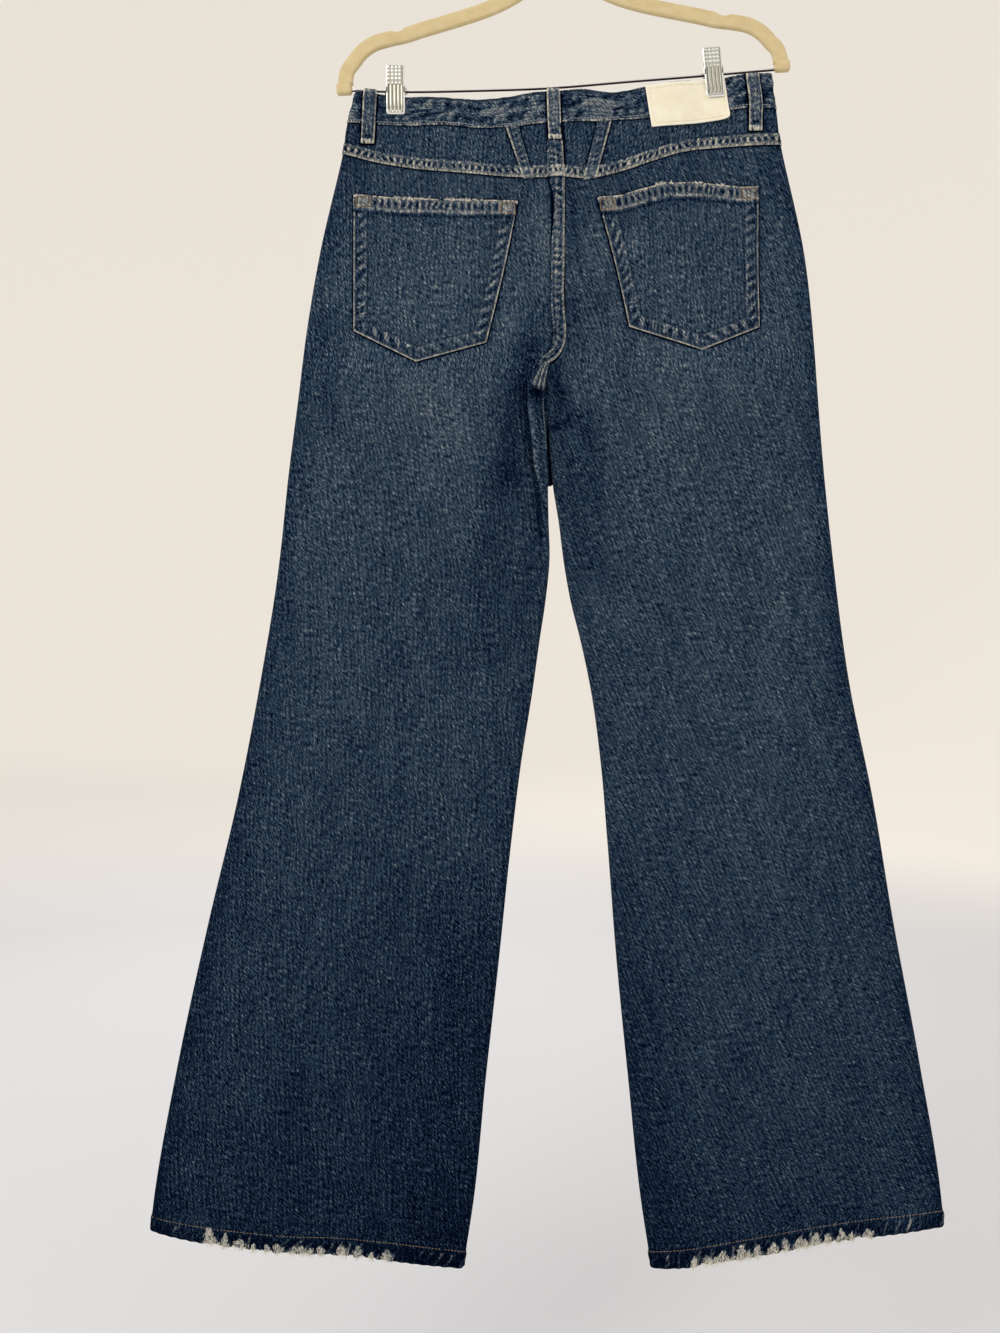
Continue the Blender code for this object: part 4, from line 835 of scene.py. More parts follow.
def feed(tree, socket, value):
    """Link a node's output to a socket, or set the socket's own value."""
    if isinstance(value, bpy.types.NodeSocket):
        tree.links.new(value, socket)
    else:
        socket.default_value = value


def add_node(tree, kind, inputs=(), **settings):
    """A node with its settings and inputs."""
    made = tree.nodes.new(kind)
    for key, value in settings.items():
        setattr(made, key, value)
    for key, value in dict(inputs).items():
        feed(tree, made.inputs[key], value)
    return made


def maths(tree, operation, a, b=0.0, c=0.0):
    """The result of one step of arithmetic."""
    return add_node(tree, "ShaderNodeMath", {0: a, 1: b, 2: c}, operation=operation).outputs[0]


def trait(tree, name, output="Fac"):
    """A value stored at the mesh's points."""
    return add_node(tree, "ShaderNodeAttribute", attribute_name=name).outputs[output]


def own_place(tree):
    """A point's place in its own object."""
    return add_node(tree, "ShaderNodeTexCoord").outputs["Object"]


def scaled(tree, vector, sizes):
    """A vector whose parts change by one over the given sizes, or all over one size."""
    sizes = np.broadcast_to(sizes, 3)
    scale = tuple(1 / float(size) for size in sizes)
    return add_node(tree, "ShaderNodeVectorMath", {0: vector, 1: scale}, operation="MULTIPLY").outputs[0]


def toward(tree, vector, way):
    """How far a vector reaches along a way."""
    return add_node(tree, "ShaderNodeVectorMath", {0: vector, 1: way},
                    operation="DOT_PRODUCT").outputs["Value"]


def blend(tree, level, *parts):
    """A level with shares of other values added to it, one after another."""
    for value, share in parts:
        level = maths(tree, "MULTIPLY_ADD", value, share, level)
    return level


def noise(tree, vector, detail, roughness=0.5):
    """Even noise whose grain is one unit of the vector."""
    return add_node(tree, "ShaderNodeTexNoise", {"Vector": vector, "Scale": 1.0, "Detail": detail,
                                                 "Roughness": roughness}).outputs["Fac"]


def ramp(tree, value, stops):
    """A colour read from stops at a value."""
    made = add_node(tree, "ShaderNodeValToRGB", {"Fac": value})
    elements = made.color_ramp.elements
    while len(elements) < len(stops):
        elements.new(0.5)
    for element, (place, colour) in zip(elements, stops):
        element.position = place
        element.color = (*colour, 1.0)
    return made.outputs["Color"]


def mapped(tree, value, from_range, to_range):
    """A value carried softly from one range to another."""
    made = add_node(tree, "ShaderNodeMapRange", {"Value": value}, interpolation_type="SMOOTHSTEP")
    made.inputs["From Min"].default_value, made.inputs["From Max"].default_value = from_range
    made.inputs["To Min"].default_value, made.inputs["To Max"].default_value = to_range
    return made.outputs[0]


def bump(tree, height, distance, strength):
    """A surface tilted as if it rose by height times distance."""
    return add_node(tree, "ShaderNodeBump", {"Height": height, "Distance": distance,
                                             "Strength": strength}).outputs["Normal"]


INDIGO = [
    (0.00, (0.0006, 0.0018, 0.0070)),
    (0.16, (0.0018, 0.0048, 0.0155)),
    (0.28, (0.0050, 0.0125, 0.0330)),
    (0.36, (0.0112, 0.0245, 0.0525)),
    (0.44, (0.0225, 0.0430, 0.0770)),
    (0.54, (0.0450, 0.0760, 0.1140)),
    (0.68, (0.0950, 0.1320, 0.1640)),
    (0.84, (0.2300, 0.2500, 0.2600)),
    (1.00, (0.6000, 0.5500, 0.4700)),
]
RUBBED = [
    (0.00, (0.0010, 0.0022, 0.0065)),
    (0.28, (0.0062, 0.0120, 0.0265)),
    (0.44, (0.0360, 0.0470, 0.0630)),
    (0.60, (0.1150, 0.1240, 0.1290)),
    (0.80, (0.2700, 0.2760, 0.2640)),
    (1.00, (0.6300, 0.5750, 0.4650)),
]
SLUB = (0.00100, 0.0028, 1.0)
TWILL = (0.0008, 0.0046, 1.0)
FINE = (0.0007, 0.0010, 1.0)
CLOUD = (0.0130, 0.0420, 1.0)
WORN = (0.0020, 0.0024, 1.0)
TWILL_PITCH = 0.0008
TWILL_LEAN = 0.70
SLUB_PITCH = 0.0038
SHADOW_LINE = (0.0027, -0.62)
SHADOW_REACH = (0.0060, -0.10)


def denim():
    """Ring-spun indigo twill: washed more where fade is high, rubbed where it is worn, darker where painted
    shade is given, and painted with shadow beside raised edges.
    """
    made, tree, shader = blank("denim", 0.95, specular_ior_level=0.0)
    grain = trait(tree, "grain", "Vector")
    leaning = toward(tree, grain, (1.0, -TWILL_LEAN, 0.0))
    down = toward(tree, grain, (0.0, 1.0, 0.0))
    across = toward(tree, grain, (1.0, 0.0, 0.0))
    slanted = add_node(tree, "ShaderNodeCombineXYZ", {0: leaning, 1: down}).outputs[0]
    slub = noise(tree, scaled(tree, grain, SLUB), 2.0, 0.6)
    twill = noise(tree, scaled(tree, slanted, TWILL), 1.0)
    fine = noise(tree, scaled(tree, grain, FINE), 1.0)
    cloud = noise(tree, scaled(tree, grain, CLOUD), 2.0)
    worn = noise(tree, scaled(tree, grain, WORN), 2.0, 0.6)
    drift = maths(tree, "MULTIPLY_ADD", cloud, SLUB_PITCH * 3, across)
    yarns = maths(tree, "SINE", maths(tree, "MULTIPLY", drift, math.tau / SLUB_PITCH))
    level = blend(tree, trait(tree, "fade"), (slub, 0.95), (twill, 1.40), (fine, 0.90), (cloud, 0.20),
                  (yarns, 0.060))
    rub = maths(tree, "MULTIPLY_ADD", worn, 0.68, 0.13)
    level = blend(tree, maths(tree, "SUBTRACT", level, 1.745), (trait(tree, "wear_and_shading"), rub))
    for reach, depth in (SHADOW_LINE, SHADOW_REACH):
        level = maths(tree, "ADD", level, mapped(tree, trait(tree, "edge"), (0.0, reach), (depth, 0.0)))
    rubbed = mapped(tree, trait(tree, "wear_and_shading"), (0.10, 0.75), (0.0, 1.0))
    both = add_node(tree, "ShaderNodeMix", {0: rubbed, 6: ramp(tree, level, INDIGO),
                                            7: ramp(tree, level, RUBBED)}, data_type="RGBA")
    tree.links.new(both.outputs[2], shader.inputs["Base Color"])
    ridges = maths(tree, "SINE", maths(tree, "MULTIPLY", leaning, math.tau / TWILL_PITCH))
    height = blend(tree, slub, (ridges, 0.22), (fine, 0.60))
    tree.links.new(bump(tree, height, 0.00045, 0.8), shader.inputs["Normal"])
    return made


def cotton(name, colour, roughness=0.85, spread=0.25):
    """Sewing thread or fray: spun fibre whose colour varies along it."""
    made, tree, shader = blank(name, roughness, specular_ior_level=0.25, sheen_weight=0.2)
    place = own_place(tree)
    change = noise(tree, scaled(tree, place, 0.004), 2.0)
    dark = tuple(c * (1 - spread) for c in colour)
    pale = tuple(min(c * (1 + spread), 0.95) for c in colour)
    tree.links.new(ramp(tree, change, [(0.3, dark), (0.7, pale)]), shader.inputs["Base Color"])
    twist = noise(tree, scaled(tree, place, 0.0004), 1.0)
    tree.links.new(bump(tree, twist, 0.0001, 0.5), shader.inputs["Normal"])
    return made


def patch_hide():
    """Pale pressed hide: faint mottling and fine creases."""
    made, tree, shader = blank("patch_hide", 0.62, specular_ior_level=0.35, sheen_weight=0.05)
    place = own_place(tree)
    cloud = noise(tree, scaled(tree, place, 0.012), 3.0)
    grain = noise(tree, scaled(tree, place, 0.0011), 3.0, 0.6)
    level = blend(tree, maths(tree, "MULTIPLY", cloud, 0.65), (grain, 0.35), (trait(tree, "wear_and_shading"), 0.25))
    colour = ramp(tree, level, [(0.25, (0.76, 0.68, 0.50)), (0.50, (0.83, 0.76, 0.58)),
                                (0.75, (0.88, 0.83, 0.70))])
    tree.links.new(colour, shader.inputs["Base Color"])
    crease = add_node(tree, "ShaderNodeTexVoronoi", {"Vector": scaled(tree, place, 0.0022),
                                                     "Scale": 1.0}).outputs["Distance"]
    height = blend(tree, grain, (crease, 0.5))
    tree.links.new(bump(tree, height, 0.00018, 0.6), shader.inputs["Normal"])
    return made


def velvet():
    """Short cream flock: matt, with a soft bloom at grazing angles."""
    made, tree, shader = blank("velvet_flock", 0.95, specular_ior_level=0.08, sheen_weight=0.35,
                               sheen_roughness=0.35, sheen_tint=(1.0, 0.93, 0.78, 1.0))
    place = own_place(tree)
    cloud = noise(tree, scaled(tree, place, (0.011, 0.011, 0.006)), 3.0)
    pile = noise(tree, scaled(tree, place, 0.0007), 2.0, 0.7)
    level = blend(tree, maths(tree, "MULTIPLY", cloud, 0.55), (pile, 0.45))
    colour = ramp(tree, level, [(0.30, (0.575, 0.440, 0.232)), (0.50, (0.635, 0.505, 0.278)),
                                (0.70, (0.690, 0.565, 0.330))])
    tree.links.new(colour, shader.inputs["Base Color"])
    tree.links.new(bump(tree, pile, 0.0006, 0.7), shader.inputs["Normal"])
    return made


def steel(name, colour, roughness):
    """Plated steel with a soft drawn grain and small scuffs."""
    made, tree, shader = blank(name, roughness, metallic=1.0)
    place = own_place(tree)
    drawn = noise(tree, scaled(tree, place, (0.0009, 0.0009, 0.009)), 3.0)
    scuff = noise(tree, scaled(tree, place, 0.0035), 3.0, 0.65)
    dull = tuple(c * 0.80 for c in colour)
    tree.links.new(ramp(tree, scuff, [(0.35, dull), (0.60, colour)]), shader.inputs["Base Color"])
    rough = maths(tree, "MULTIPLY_ADD", scuff, 0.30, roughness - 0.12)
    tree.links.new(rough, shader.inputs["Roughness"])
    tree.links.new(bump(tree, drawn, 0.00006, 0.35), shader.inputs["Normal"])
    return made


def drawn_wire():
    """Polished wire whose colour is painted bright on top and dark underneath, a painted reflection of a
    bright room above and a dark one below.
    """
    made, tree, shader = blank("wire_steel", 0.22, metallic=1.0)
    normal = add_node(tree, "ShaderNodeNewGeometry").outputs["Normal"]
    up = maths(tree, "MULTIPLY_ADD", toward(tree, normal, (0.0, 0.0, 1.0)), 0.5, 0.5)
    colour = ramp(tree, up, [(0.26, (0.034, 0.025, 0.027)), (0.42, (0.20, 0.19, 0.19)),
                             (0.56, (0.90, 0.89, 0.86))])
    tree.links.new(colour, shader.inputs["Base Color"])
    return made


def pressed_steel():
    """Plated sheet whose raised marks are painted bright as highlights and whose grooves are painted dull as
    shade.
    """
    made, tree, shader = blank("clip_steel", 0.34, metallic=1.0)
    place = own_place(tree)
    scuff = noise(tree, scaled(tree, place, (0.0030, 0.0030, 0.0050)), 3.0, 0.65)
    level = blend(tree, trait(tree, "fade"), (trait(tree, "wear_and_shading"), 0.34))
    level = blend(tree, maths(tree, "SUBTRACT", level, 0.08), (scuff, 0.16))
    colour = ramp(tree, level, [(0.00, (0.070, 0.066, 0.052)), (0.30, (0.300, 0.290, 0.235)),
                                (0.55, (0.560, 0.550, 0.480)), (0.80, (0.800, 0.800, 0.760)),
                                (1.00, (0.950, 0.950, 0.930))])
    tree.links.new(colour, shader.inputs["Base Color"])
    return made


DENIM = denim()
THREAD_WORN = cotton("thread_worn", (0.30, 0.33, 0.35))
THREAD_NAVY = cotton("thread_navy", (0.030, 0.042, 0.062), spread=0.4)
THREAD_TAN = cotton("thread_tan", (0.250, 0.165, 0.095), spread=0.35)
THREAD_CREAM = cotton("thread_cream", (0.78, 0.70, 0.55), spread=0.15)
FRAY_COTTON = cotton("fray_cotton", (0.74, 0.70, 0.60), roughness=0.95, spread=0.22)
HIDE = patch_hide()
VELVET = velvet()
STEEL = pressed_steel()
WIRE = drawn_wire()
BRASS = steel("button_brass", (0.42, 0.33, 0.23), 0.40)


# ---------------------------------------------------------------- distances on the cloth

def outline_of(shape):
    """A laid piece's outline as a closed path of seen places."""
    shares = np.linspace(0, 1, 9)
    x, drop = piece_grid(shape, shares, shares)
    ring = [(x[0, i], drop[0, i]) for i in range(9)] + [(x[i, -1], drop[i, -1]) for i in range(1, 9)]
    ring += [(x[-1, i], drop[-1, i]) for i in range(7, -1, -1)]
    return ring + [(x[i, 0], drop[i, 0]) for i in range(7, 0, -1)]


def along_line(points, share):
    points = np.array(points, dtype=float)
    steps = np.linalg.norm(np.diff(points, axis=0), axis=1)
    reach = np.concatenate([[0], np.cumsum(steps)]) / steps.sum()
    return np.stack([np.interp(share, reach, points[:, i]) for i in (0, 1)], axis=-1)


def piece_grid(shape, shares, rows):
    """A grid of seen places between a piece's top and bottom edges."""
    top = along_line(shape["top"], shares)
    bottom = along_line(shape["bottom"], shares)
    rows = np.asarray(rows)[:, None, None]
    grid = top[None] * (1 - rows) + bottom[None] * rows
    bow = np.sin(math.pi * rows[..., 0])
    first, last = shape["side"]
    grid[..., 0] += bow * (first * (1 - shares) + last * shares)[None]
    return grid[..., 0], grid[..., 1]


def loop_rings(face):
    """Outlines of one face's belt loops, for the shadows beside them."""
    half = LOOP_WIDTH / 2 + 0.0004
    rings = []
    for on_face, _, _, path in LOOPS.values():
        if on_face == face:
            rings.append([(x - half, d) for x, d in path] + [(x + half, d) for x, d in path[::-1]])
    return rings


def is_inside(x, drop, ring):
    found = np.zeros(np.shape(x), dtype=bool)
    for (x0, d0), (x1, d1) in zip(ring, ring[1:] + ring[:1]):
        if d0 == d1:
            continue
        crosses = (d0 > drop) != (d1 > drop)
        found ^= crosses & (x < x0 + (drop - d0) * (x1 - x0) / (d1 - d0))
    return found


def edge_distance(x, drop, rings):
    """Distance outside the nearest outline, below zero inside it."""
    best = np.full(np.shape(x), FAR)
    for ring in rings:
        off, _ = path_distance(x, drop, ring + ring[:1])
        best = np.minimum(best, np.where(is_inside(x, drop, ring), -off, off))
    return best


def seam_drop(side, face, x, level):
    """The drop of a level's line at a place x."""
    return drop_at(side, face, share_across(side, x, level), np.full(np.shape(x), level))


# ---------------------------------------------------------------- the panels

PANEL_COLUMNS = columns_for(54)
LEG_ROWS = ((YOKE_SEAM + SEAM_GAP / 2, 0.470, 0.0042), (0.470, 0.620, 0.0024),
            (0.620, HEM_TOP - 0.001, 0.0076))
FRONT_ROWS = ((HIP, 0.470, 0.0042), (0.470, 0.620, 0.0030), (0.620, HEM_TOP - 0.001, 0.0095))
SCOOP_ROWS = 26
CENTRE_STRIP = [  # the felled strip's right edge, and its width there
    (0.0084, 0.2672, 0.0132), (0.0098, 0.2860, 0.0138), (0.0112, 0.3130, 0.0150),
    (0.0116, 0.3215, 0.0150), (0.0116, 0.3300, 0.0120), (0.0113, 0.3910, 0.0115),
    (0.0114, 0.4513, 0.0115), (0.0126, 0.4660, 0.0115), (0.0114, 0.4780, 0.0108),
    (0.0080, 0.4865, 0.0098), (0.0030, 0.4925, 0.0086),
    (-0.0030, 0.4962, 0.0074), (-0.0064, 0.4992, 0.0062), (-0.0060, 0.5050, 0.0050),
]


def strip_ring():
    """The centre strip's outline, for the shadow beside it."""
    right = [(x, drop) for x, drop, _ in CENTRE_STRIP]
    left = [(x - wide, drop) for x, drop, wide in CENTRE_STRIP]
    return right + left[::-1]


def rows_of(spans):
    runs = [np.linspace(a, b, max(int(round((b - a) / step)), 1), endpoint=False)
            for a, b, step in spans]
    return np.concatenate(runs + [[spans[-1][1]]])


def panel_fade_and_shade(points, face=-1):
    return fade(points[..., 0], -points[..., 2], face)


GRAIN_LEAN = {"left": 0.16, "right": 0.25}      # how the slubs slant down each leg
PALE_SIDE = (0.10, 0.0, 0.0015)                 # the pale line where the side seams fold


def leg_grain(side, points, level, start):
    """Places in a leg's cloth, slanted as its slubs run."""
    across = arc_places(points, len(PANEL_COLUMNS) // 2)
    across = across if side == "left" else -across
    return np.stack([across - GRAIN_LEAN[side] * level + start, level], axis=-1)


def leg_back(side):
    """A back panel, with painted shadow beside the pocket and the centre strip that lie on it, and below the
    yoke.
    """
    points, normals, level = grid_of(side, -1, PANEL_COLUMNS, rows_of(LEG_ROWS))
    x, drop = points[..., 0], -points[..., 2]
    rings = [outline_of(POCKETS[side])] + ([strip_ring()] if side == "left" else [])
    from_yoke = np.maximum(drop - seam_drop(side, -1, x, YOKE_SEAM), 0)
    raised("leg_back_" + side, "back_" + side, points, normals, HALF_CLOTH, -HALF_CLOTH,
           leg_grain(side, points, level, 0.0), panel_fade_and_shade(points),
           lines(from_sides(x, drop), PALE_SIDE), rim=0.3,
           edge=np.minimum(edge_distance(x, drop, rings), from_yoke))


def scoop_level(side, columns):
    """The top edge of a front panel, cut away in a curve for the pocket."""
    level = WAIST_SEAM
    start = outer_edge(side, level)[0]
    width = abs(float(inner_x(side, np.array(level))) - start)
    run = abs(SCOOP_AT[side] - start)
    meets = ARC_SHARE + (run - FOLD_RADIUS) / (width - FOLD_RADIUS - CENTRE_BAND) * (1 - 2 * ARC_SHARE)
    share = np.clip(columns / meets, 0, 1)
    return WAIST_SEAM + SEAM_GAP / 2 + SCOOP_DROP * (1 - share ** 2) ** SCOOP_ROUND


def leg_front(side):
    """A front panel, worn along the curved opening of its pocket."""
    tops = scoop_level(side, PANEL_COLUMNS)
    above = np.linspace(tops, np.full(len(tops), HIP), SCOOP_ROWS, endpoint=False)
    below = rows_of(FRONT_ROWS)
    levels = np.concatenate([above, np.repeat(below[:, None], len(tops), axis=1)])
    points, normals, level = grid_of(side, 1, PANEL_COLUMNS, levels)
    opening = after(tops, WAIST_SEAM + 0.0015, 0.0030)[None, :]
    down = level - tops[None, :]
    ticks = roping(arc_places(points), down, 0.0052, 0.2, 63)
    wear_and_shading = opening * (lines(down, (0.60, 0.0006, 0.0014), (-0.25, 0.0100, 0.0010))
                      + ticks * lines(down, (0.24, 0.0062, 0.0030)))
    raised("leg_front_" + side, "front_" + side, points, normals, HALF_CLOTH, -HALF_CLOTH,
           leg_grain(side, points, level, 0.7), panel_fade_and_shade(points, 1), wear_and_shading, rim=0.5, rim_wear=0.5)


HEM_STRIP = 0.0055          # how far the strip starts above the hem's own top
HEM_STITCH = HEM_TOP - 0.0008
HEM_PITCH = 0.0104
HEM_COLUMNS = {-1: (360, 12, 12), 1: (190, 8, 8)}
HEM_LEVELS = {-1: 27, 1: 17}
TUFT_SHIFT = {-1: 0.0, 1: 0.006}
HEM_PUCKER = 0.00050
HEM_RISES = (0.0010, 0.0054, 0.0030)    # the stitches' rise at the ends and middle; the edge's rise
FRAYED = {"left": (-0.3290, -0.1520), "right": (0.1290, 0.3060)}    # worn stretches of the back hems
RAGGED = 0.0022
HEM_TUFTS = {       # each worn spot's place, half width and height as a share of the strip's
    "left": [(-0.3192, 0.0050, 0.84), (-0.3062, 0.0032, 0.70), (-0.2913, 0.0046, 0.46),
             (-0.2790, 0.0016, 0.22), (-0.2670, 0.0024, 0.34), (-0.2561, 0.0042, 0.44),
             (-0.2430, 0.0034, 0.33), (-0.2345, 0.0040, 0.38), (-0.2280, 0.0034, 0.30),
             (-0.2168, 0.0032, 0.42), (-0.1977, 0.0043, 0.50), (-0.1832, 0.0036, 0.55),
             (-0.1701, 0.0016, 0.24), (-0.1570, 0.0046, 0.50)],
    "right": [(0.1325, 0.0030, 0.48), (0.1470, 0.0044, 0.40), (0.1540, 0.0030, 0.30),
              (0.1612, 0.0042, 0.52), (0.1760, 0.0050, 0.62), (0.1840, 0.0024, 0.36),
              (0.1918, 0.0038, 0.55), (0.2058, 0.0046, 0.46), (0.2190, 0.0034, 0.60),
              (0.2310, 0.0042, 0.50), (0.2380, 0.0022, 0.30), (0.2468, 0.0046, 0.56),
              (0.2588, 0.0034, 0.44), (0.2718, 0.0040, 0.60), (0.2812, 0.0022, 0.38),
              (0.2988, 0.0036, 0.42)],
}


def hem_rise(columns, share):
    """How far the hem is drawn up from its level; share runs from its top to its edge."""
    ends, middle, edge = HEM_RISES
    return (ends + middle * np.sin(math.pi * columns) ** 0.7) * (1 - share) + edge * share


def flames(x, share, spots, seed):
    """Where the fold has worn to its white core: ragged spots that narrow upward."""
    worn = 0 * x
    rough = 0.42 * wander(x / 0.0019, share * 7, seed) + 0.22 * wander(x / 0.0008, share * 16, seed + 1)
    for i, (place, half, tall) in enumerate(spots):
        high = np.clip((share - 1 + tall) / tall, 0, 1)
        wide = half * (0.30 + 0.70 * ease(high / 0.62)) * (1 - 0.22 * after(high, 0.82, 0.18))
        lean = 0.55 * half * (1 - high) * math.sin(2.7 * i + seed)
        inside = wide * (high > 0) * (1 + rough) - np.abs(x - place - lean)
        worn = np.maximum(worn, ease(inside / 0.0012 + 0.5) * ease(high / 0.12))
    return worn


def hem(side, face):
    """The turned hem: a raised strip whose stitches have roped it."""
    columns = columns_for(*HEM_COLUMNS[face])
    levels = np.linspace(HEM_TOP - HEM_STRIP, HEM_EDGE, HEM_LEVELS[face])[:, None]
    share = (levels - levels[0]) / (HEM_EDGE - levels[0])
    level = levels - hem_rise(columns[None, :], share)
    points, _, _ = grid_of(side, face, columns, level)
    along, x = arc_places(points), points[..., 0]
    start, end = FRAYED[side]
    worn = after(x, start, 0.012) * until(x, end, 0.012) * (1.0 if face < 0 else 0.6)
    seed = 40 + (2 if side == "left" else 0) + (face > 0)
    ragged = RAGGED * worn * (0.55 + 0.45 * wander(along / 0.0042, 0, seed + 5)
                              + 0.25 * wander(along / 0.0013, 0, seed + 6))
    points, normals, _ = grid_of(side, face, columns, level - ragged * share)
    down = levels - HEM_STITCH + 0 * x
    lean = 1.0 if side == "left" else -1.0
    rope = roping(along, down, HEM_PITCH, lean * 0.45, seed)
    ticks = roping(along, down, 0.0046, lean * 0.3, seed + 7)
    body = after(down, 0.0012, 0.003)
    wear_and_shading = body * (1.15 * np.clip(rope, 0, 1) ** 1.5 + 0.16 * ticks - 0.34) + 0.04
    # painted shade along the groove of the stitches
    wear_and_shading += lines(down, (-0.40, 0.0, 0.0016))
    foot = after(share, 0.70, 0.26)
    wear_and_shading += foot * worn * (0.50 + 0.60 * wander(along / 0.0034, share * 3, seed + 3))
    tufts = flames(x - TUFT_SHIFT[face], share, HEM_TUFTS[side], seed)
    wear_and_shading = np.maximum(wear_and_shading, tufts * (1.45 if face < 0 else 1.0))
    lift = HALF_CLOTH + 0.0001 + (HEM_OUT - HALF_CLOTH) * after(levels, HEM_TOP - 0.0030, 0.0030)
    lift = lift + HEM_PUCKER * rope * body + lines(down, (-0.0005, 0.0, 0.0011)) + 0.0004 * tufts
    half = ("back_" if face < 0 else "front_") + side
    raised("hem_" + half, half, points, normals, lift, HEM_IN, grain_of(along, levels),
           panel_fade_and_shade(points, face) - 0.10 * body, wear_and_shading, rim=0.9, turns=4, rim_wear=0.15,
           inner_fade=0.55)


def stitch_line(side, face, level, threads, lift, columns, **how):
    """A row of stitches along a level, over the folds at both ends."""
    level = np.atleast_1d(level)[None, :] + 0 * columns
    points, normals, _ = grid_of(side, face, columns, level)
    threads.row(points[0] + normals[0] * lift, normals[0], **how)


# ---------------------------------------------------------------- the waistband

BAND_TALL = WAIST_SEAM - WAIST_TOP
PUCKER_PITCH = 0.0106
WAVE_PITCH = 0.0290
BAND_PALEST = 0.36          # the wear that the waistband's pale spots come near to
BAND_COLUMNS = columns_for(190, 6, 14)


def band_relief(along, share, seed):
    """Wear and rise of the puckered waistband; share is 0 at the top, 1 at its seam."""
    down = share * BAND_TALL
    top_row = roping(along, down, PUCKER_PITCH, 0.25, seed) * bump_at(share, 0.20, 0.10)
    low_row = roping(along + 0.004, down, PUCKER_PITCH, -0.20, seed + 3) * bump_at(share, 0.80, 0.11)
    large = roping(along, down, WAVE_PITCH, 1.9, seed + 9) * np.sin(math.pi * np.clip(share, 0, 1)) ** 0.7
    warp = wander(along / 0.0210, down / 0.0110, seed + 15)
    flow = wander(along / 0.0085 + 1.3 * warp, down / 0.0040 + along / 0.0170 + 1.1 * warp, seed + 13)
    small = wander(along / 0.0034 + warp, down / 0.0019 + along / 0.0120, seed + 17)
    ticks = roping(along, down, 0.0027, 0.1, seed + 11)
    wear_and_shading = 0.72 * flow + 0.26 * small + 0.16 * large
    wear_and_shading += 0.34 * np.tanh(2 * top_row) + 0.44 * np.tanh(2 * low_row)
    wear_and_shading = np.where(wear_and_shading > 0, BAND_PALEST * np.tanh(wear_and_shading / BAND_PALEST), 0.85 * wear_and_shading)
    wear_and_shading = wear_and_shading * bump_at(share, 0.5, 0.62) + 0.09 + 0.20 * until(share, 0.022, 0.022)
    wear_and_shading += lines(share, (0.70, 0.984, 0.020), (-0.42, 0.930, 0.018), (-0.45, 0.045, 0.028))
    wear_and_shading += ticks * lines(share, (0.46, 0.984, 0.020), (0.30, 0.045, 0.028))
    rise = 0.00028 * top_row + 0.00038 * low_row + 0.00048 * large + 0.00042 * flow + 0.00012 * small
    return wear_and_shading, rise + lines(share, (-0.00024, 0.075, 0.04), (-0.00024, 0.915, 0.035))


def band_piece(name, face, points, normals, level, seed):
    share = (level - WAIST_TOP) / BAND_TALL
    along = arc_places(points)
    wear_and_shading, rise = band_relief(along, share, seed)
    # for the painted shadow beside the belt loops
    near = edge_distance(points[..., 0], -points[..., 2], loop_rings(face))
    raised(name, name, points, normals, BAND_OUT - 0.0001 + rise, BAND_IN,
           grain_of(share * BAND_TALL, along), 0.445, wear_and_shading, rim=0.75, edge=near, turns=4,
           rim_wear=0.10, slot="denim_band")


def waistband_back():
    levels = np.linspace(WAIST_TOP, WAIST_SEAM, 27)
    left, right = (grid_of(side, -1, BAND_COLUMNS, levels) for side in SIDES)
    whole = [np.concatenate([a[:, :-1], b[:, ::-1]], axis=1) for a, b in zip(left, right)]
    band_piece("waistband_back", -1, *whole, 61)


def waistband_front(side):
    grid = grid_of(side, 1, BAND_COLUMNS, np.linspace(WAIST_TOP, WAIST_SEAM, 25))
    band_piece("waistband_front_" + side, 1, *grid, 71 if side == "left" else 81)


# ---------------------------------------------------------------- the yokes

FELL_PITCH = 0.0062
YOKE_BAND_TALL = 0.0108
YOKE_ROWS = ((WAIST_SEAM - 0.001, 0.3105, 0.0021), (0.3105, YOKE_SEAM - SEAM_GAP / 2, 0.0007))


def felled_wear(along, up, seed):
    """Wear and rise of a felled band; up is the distance from its lower, stitched edge."""
    squares = roping(along, up, FELL_PITCH, 0.10, seed)
    inside = within(up, 0.0026, YOKE_BAND_TALL - 0.0044, 0.0008, 0.0012)
    band = until(up, YOKE_BAND_TALL, 0.0014)
    wear_and_shading = band * (0.43 + 0.16 * wander(along / 0.0120, 0, seed + 4))
    wear_and_shading += inside * (0.60 * np.tanh(2.4 * (squares - 0.12)) - 0.17)
    rough = wander(along / 0.0021, up / 0.0030, seed + 2)
    wear_and_shading += rough * lines(up, (0.34, YOKE_BAND_TALL - 0.0018, 0.0020))
    # a pale lower edge, and painted shade just above the band's upper edge
    wear_and_shading += lines(up, (0.28, 0.0006, 0.0012), (-0.16, YOKE_BAND_TALL + 0.0014, 0.0012))
    return wear_and_shading, 0.00028 * inside * squares


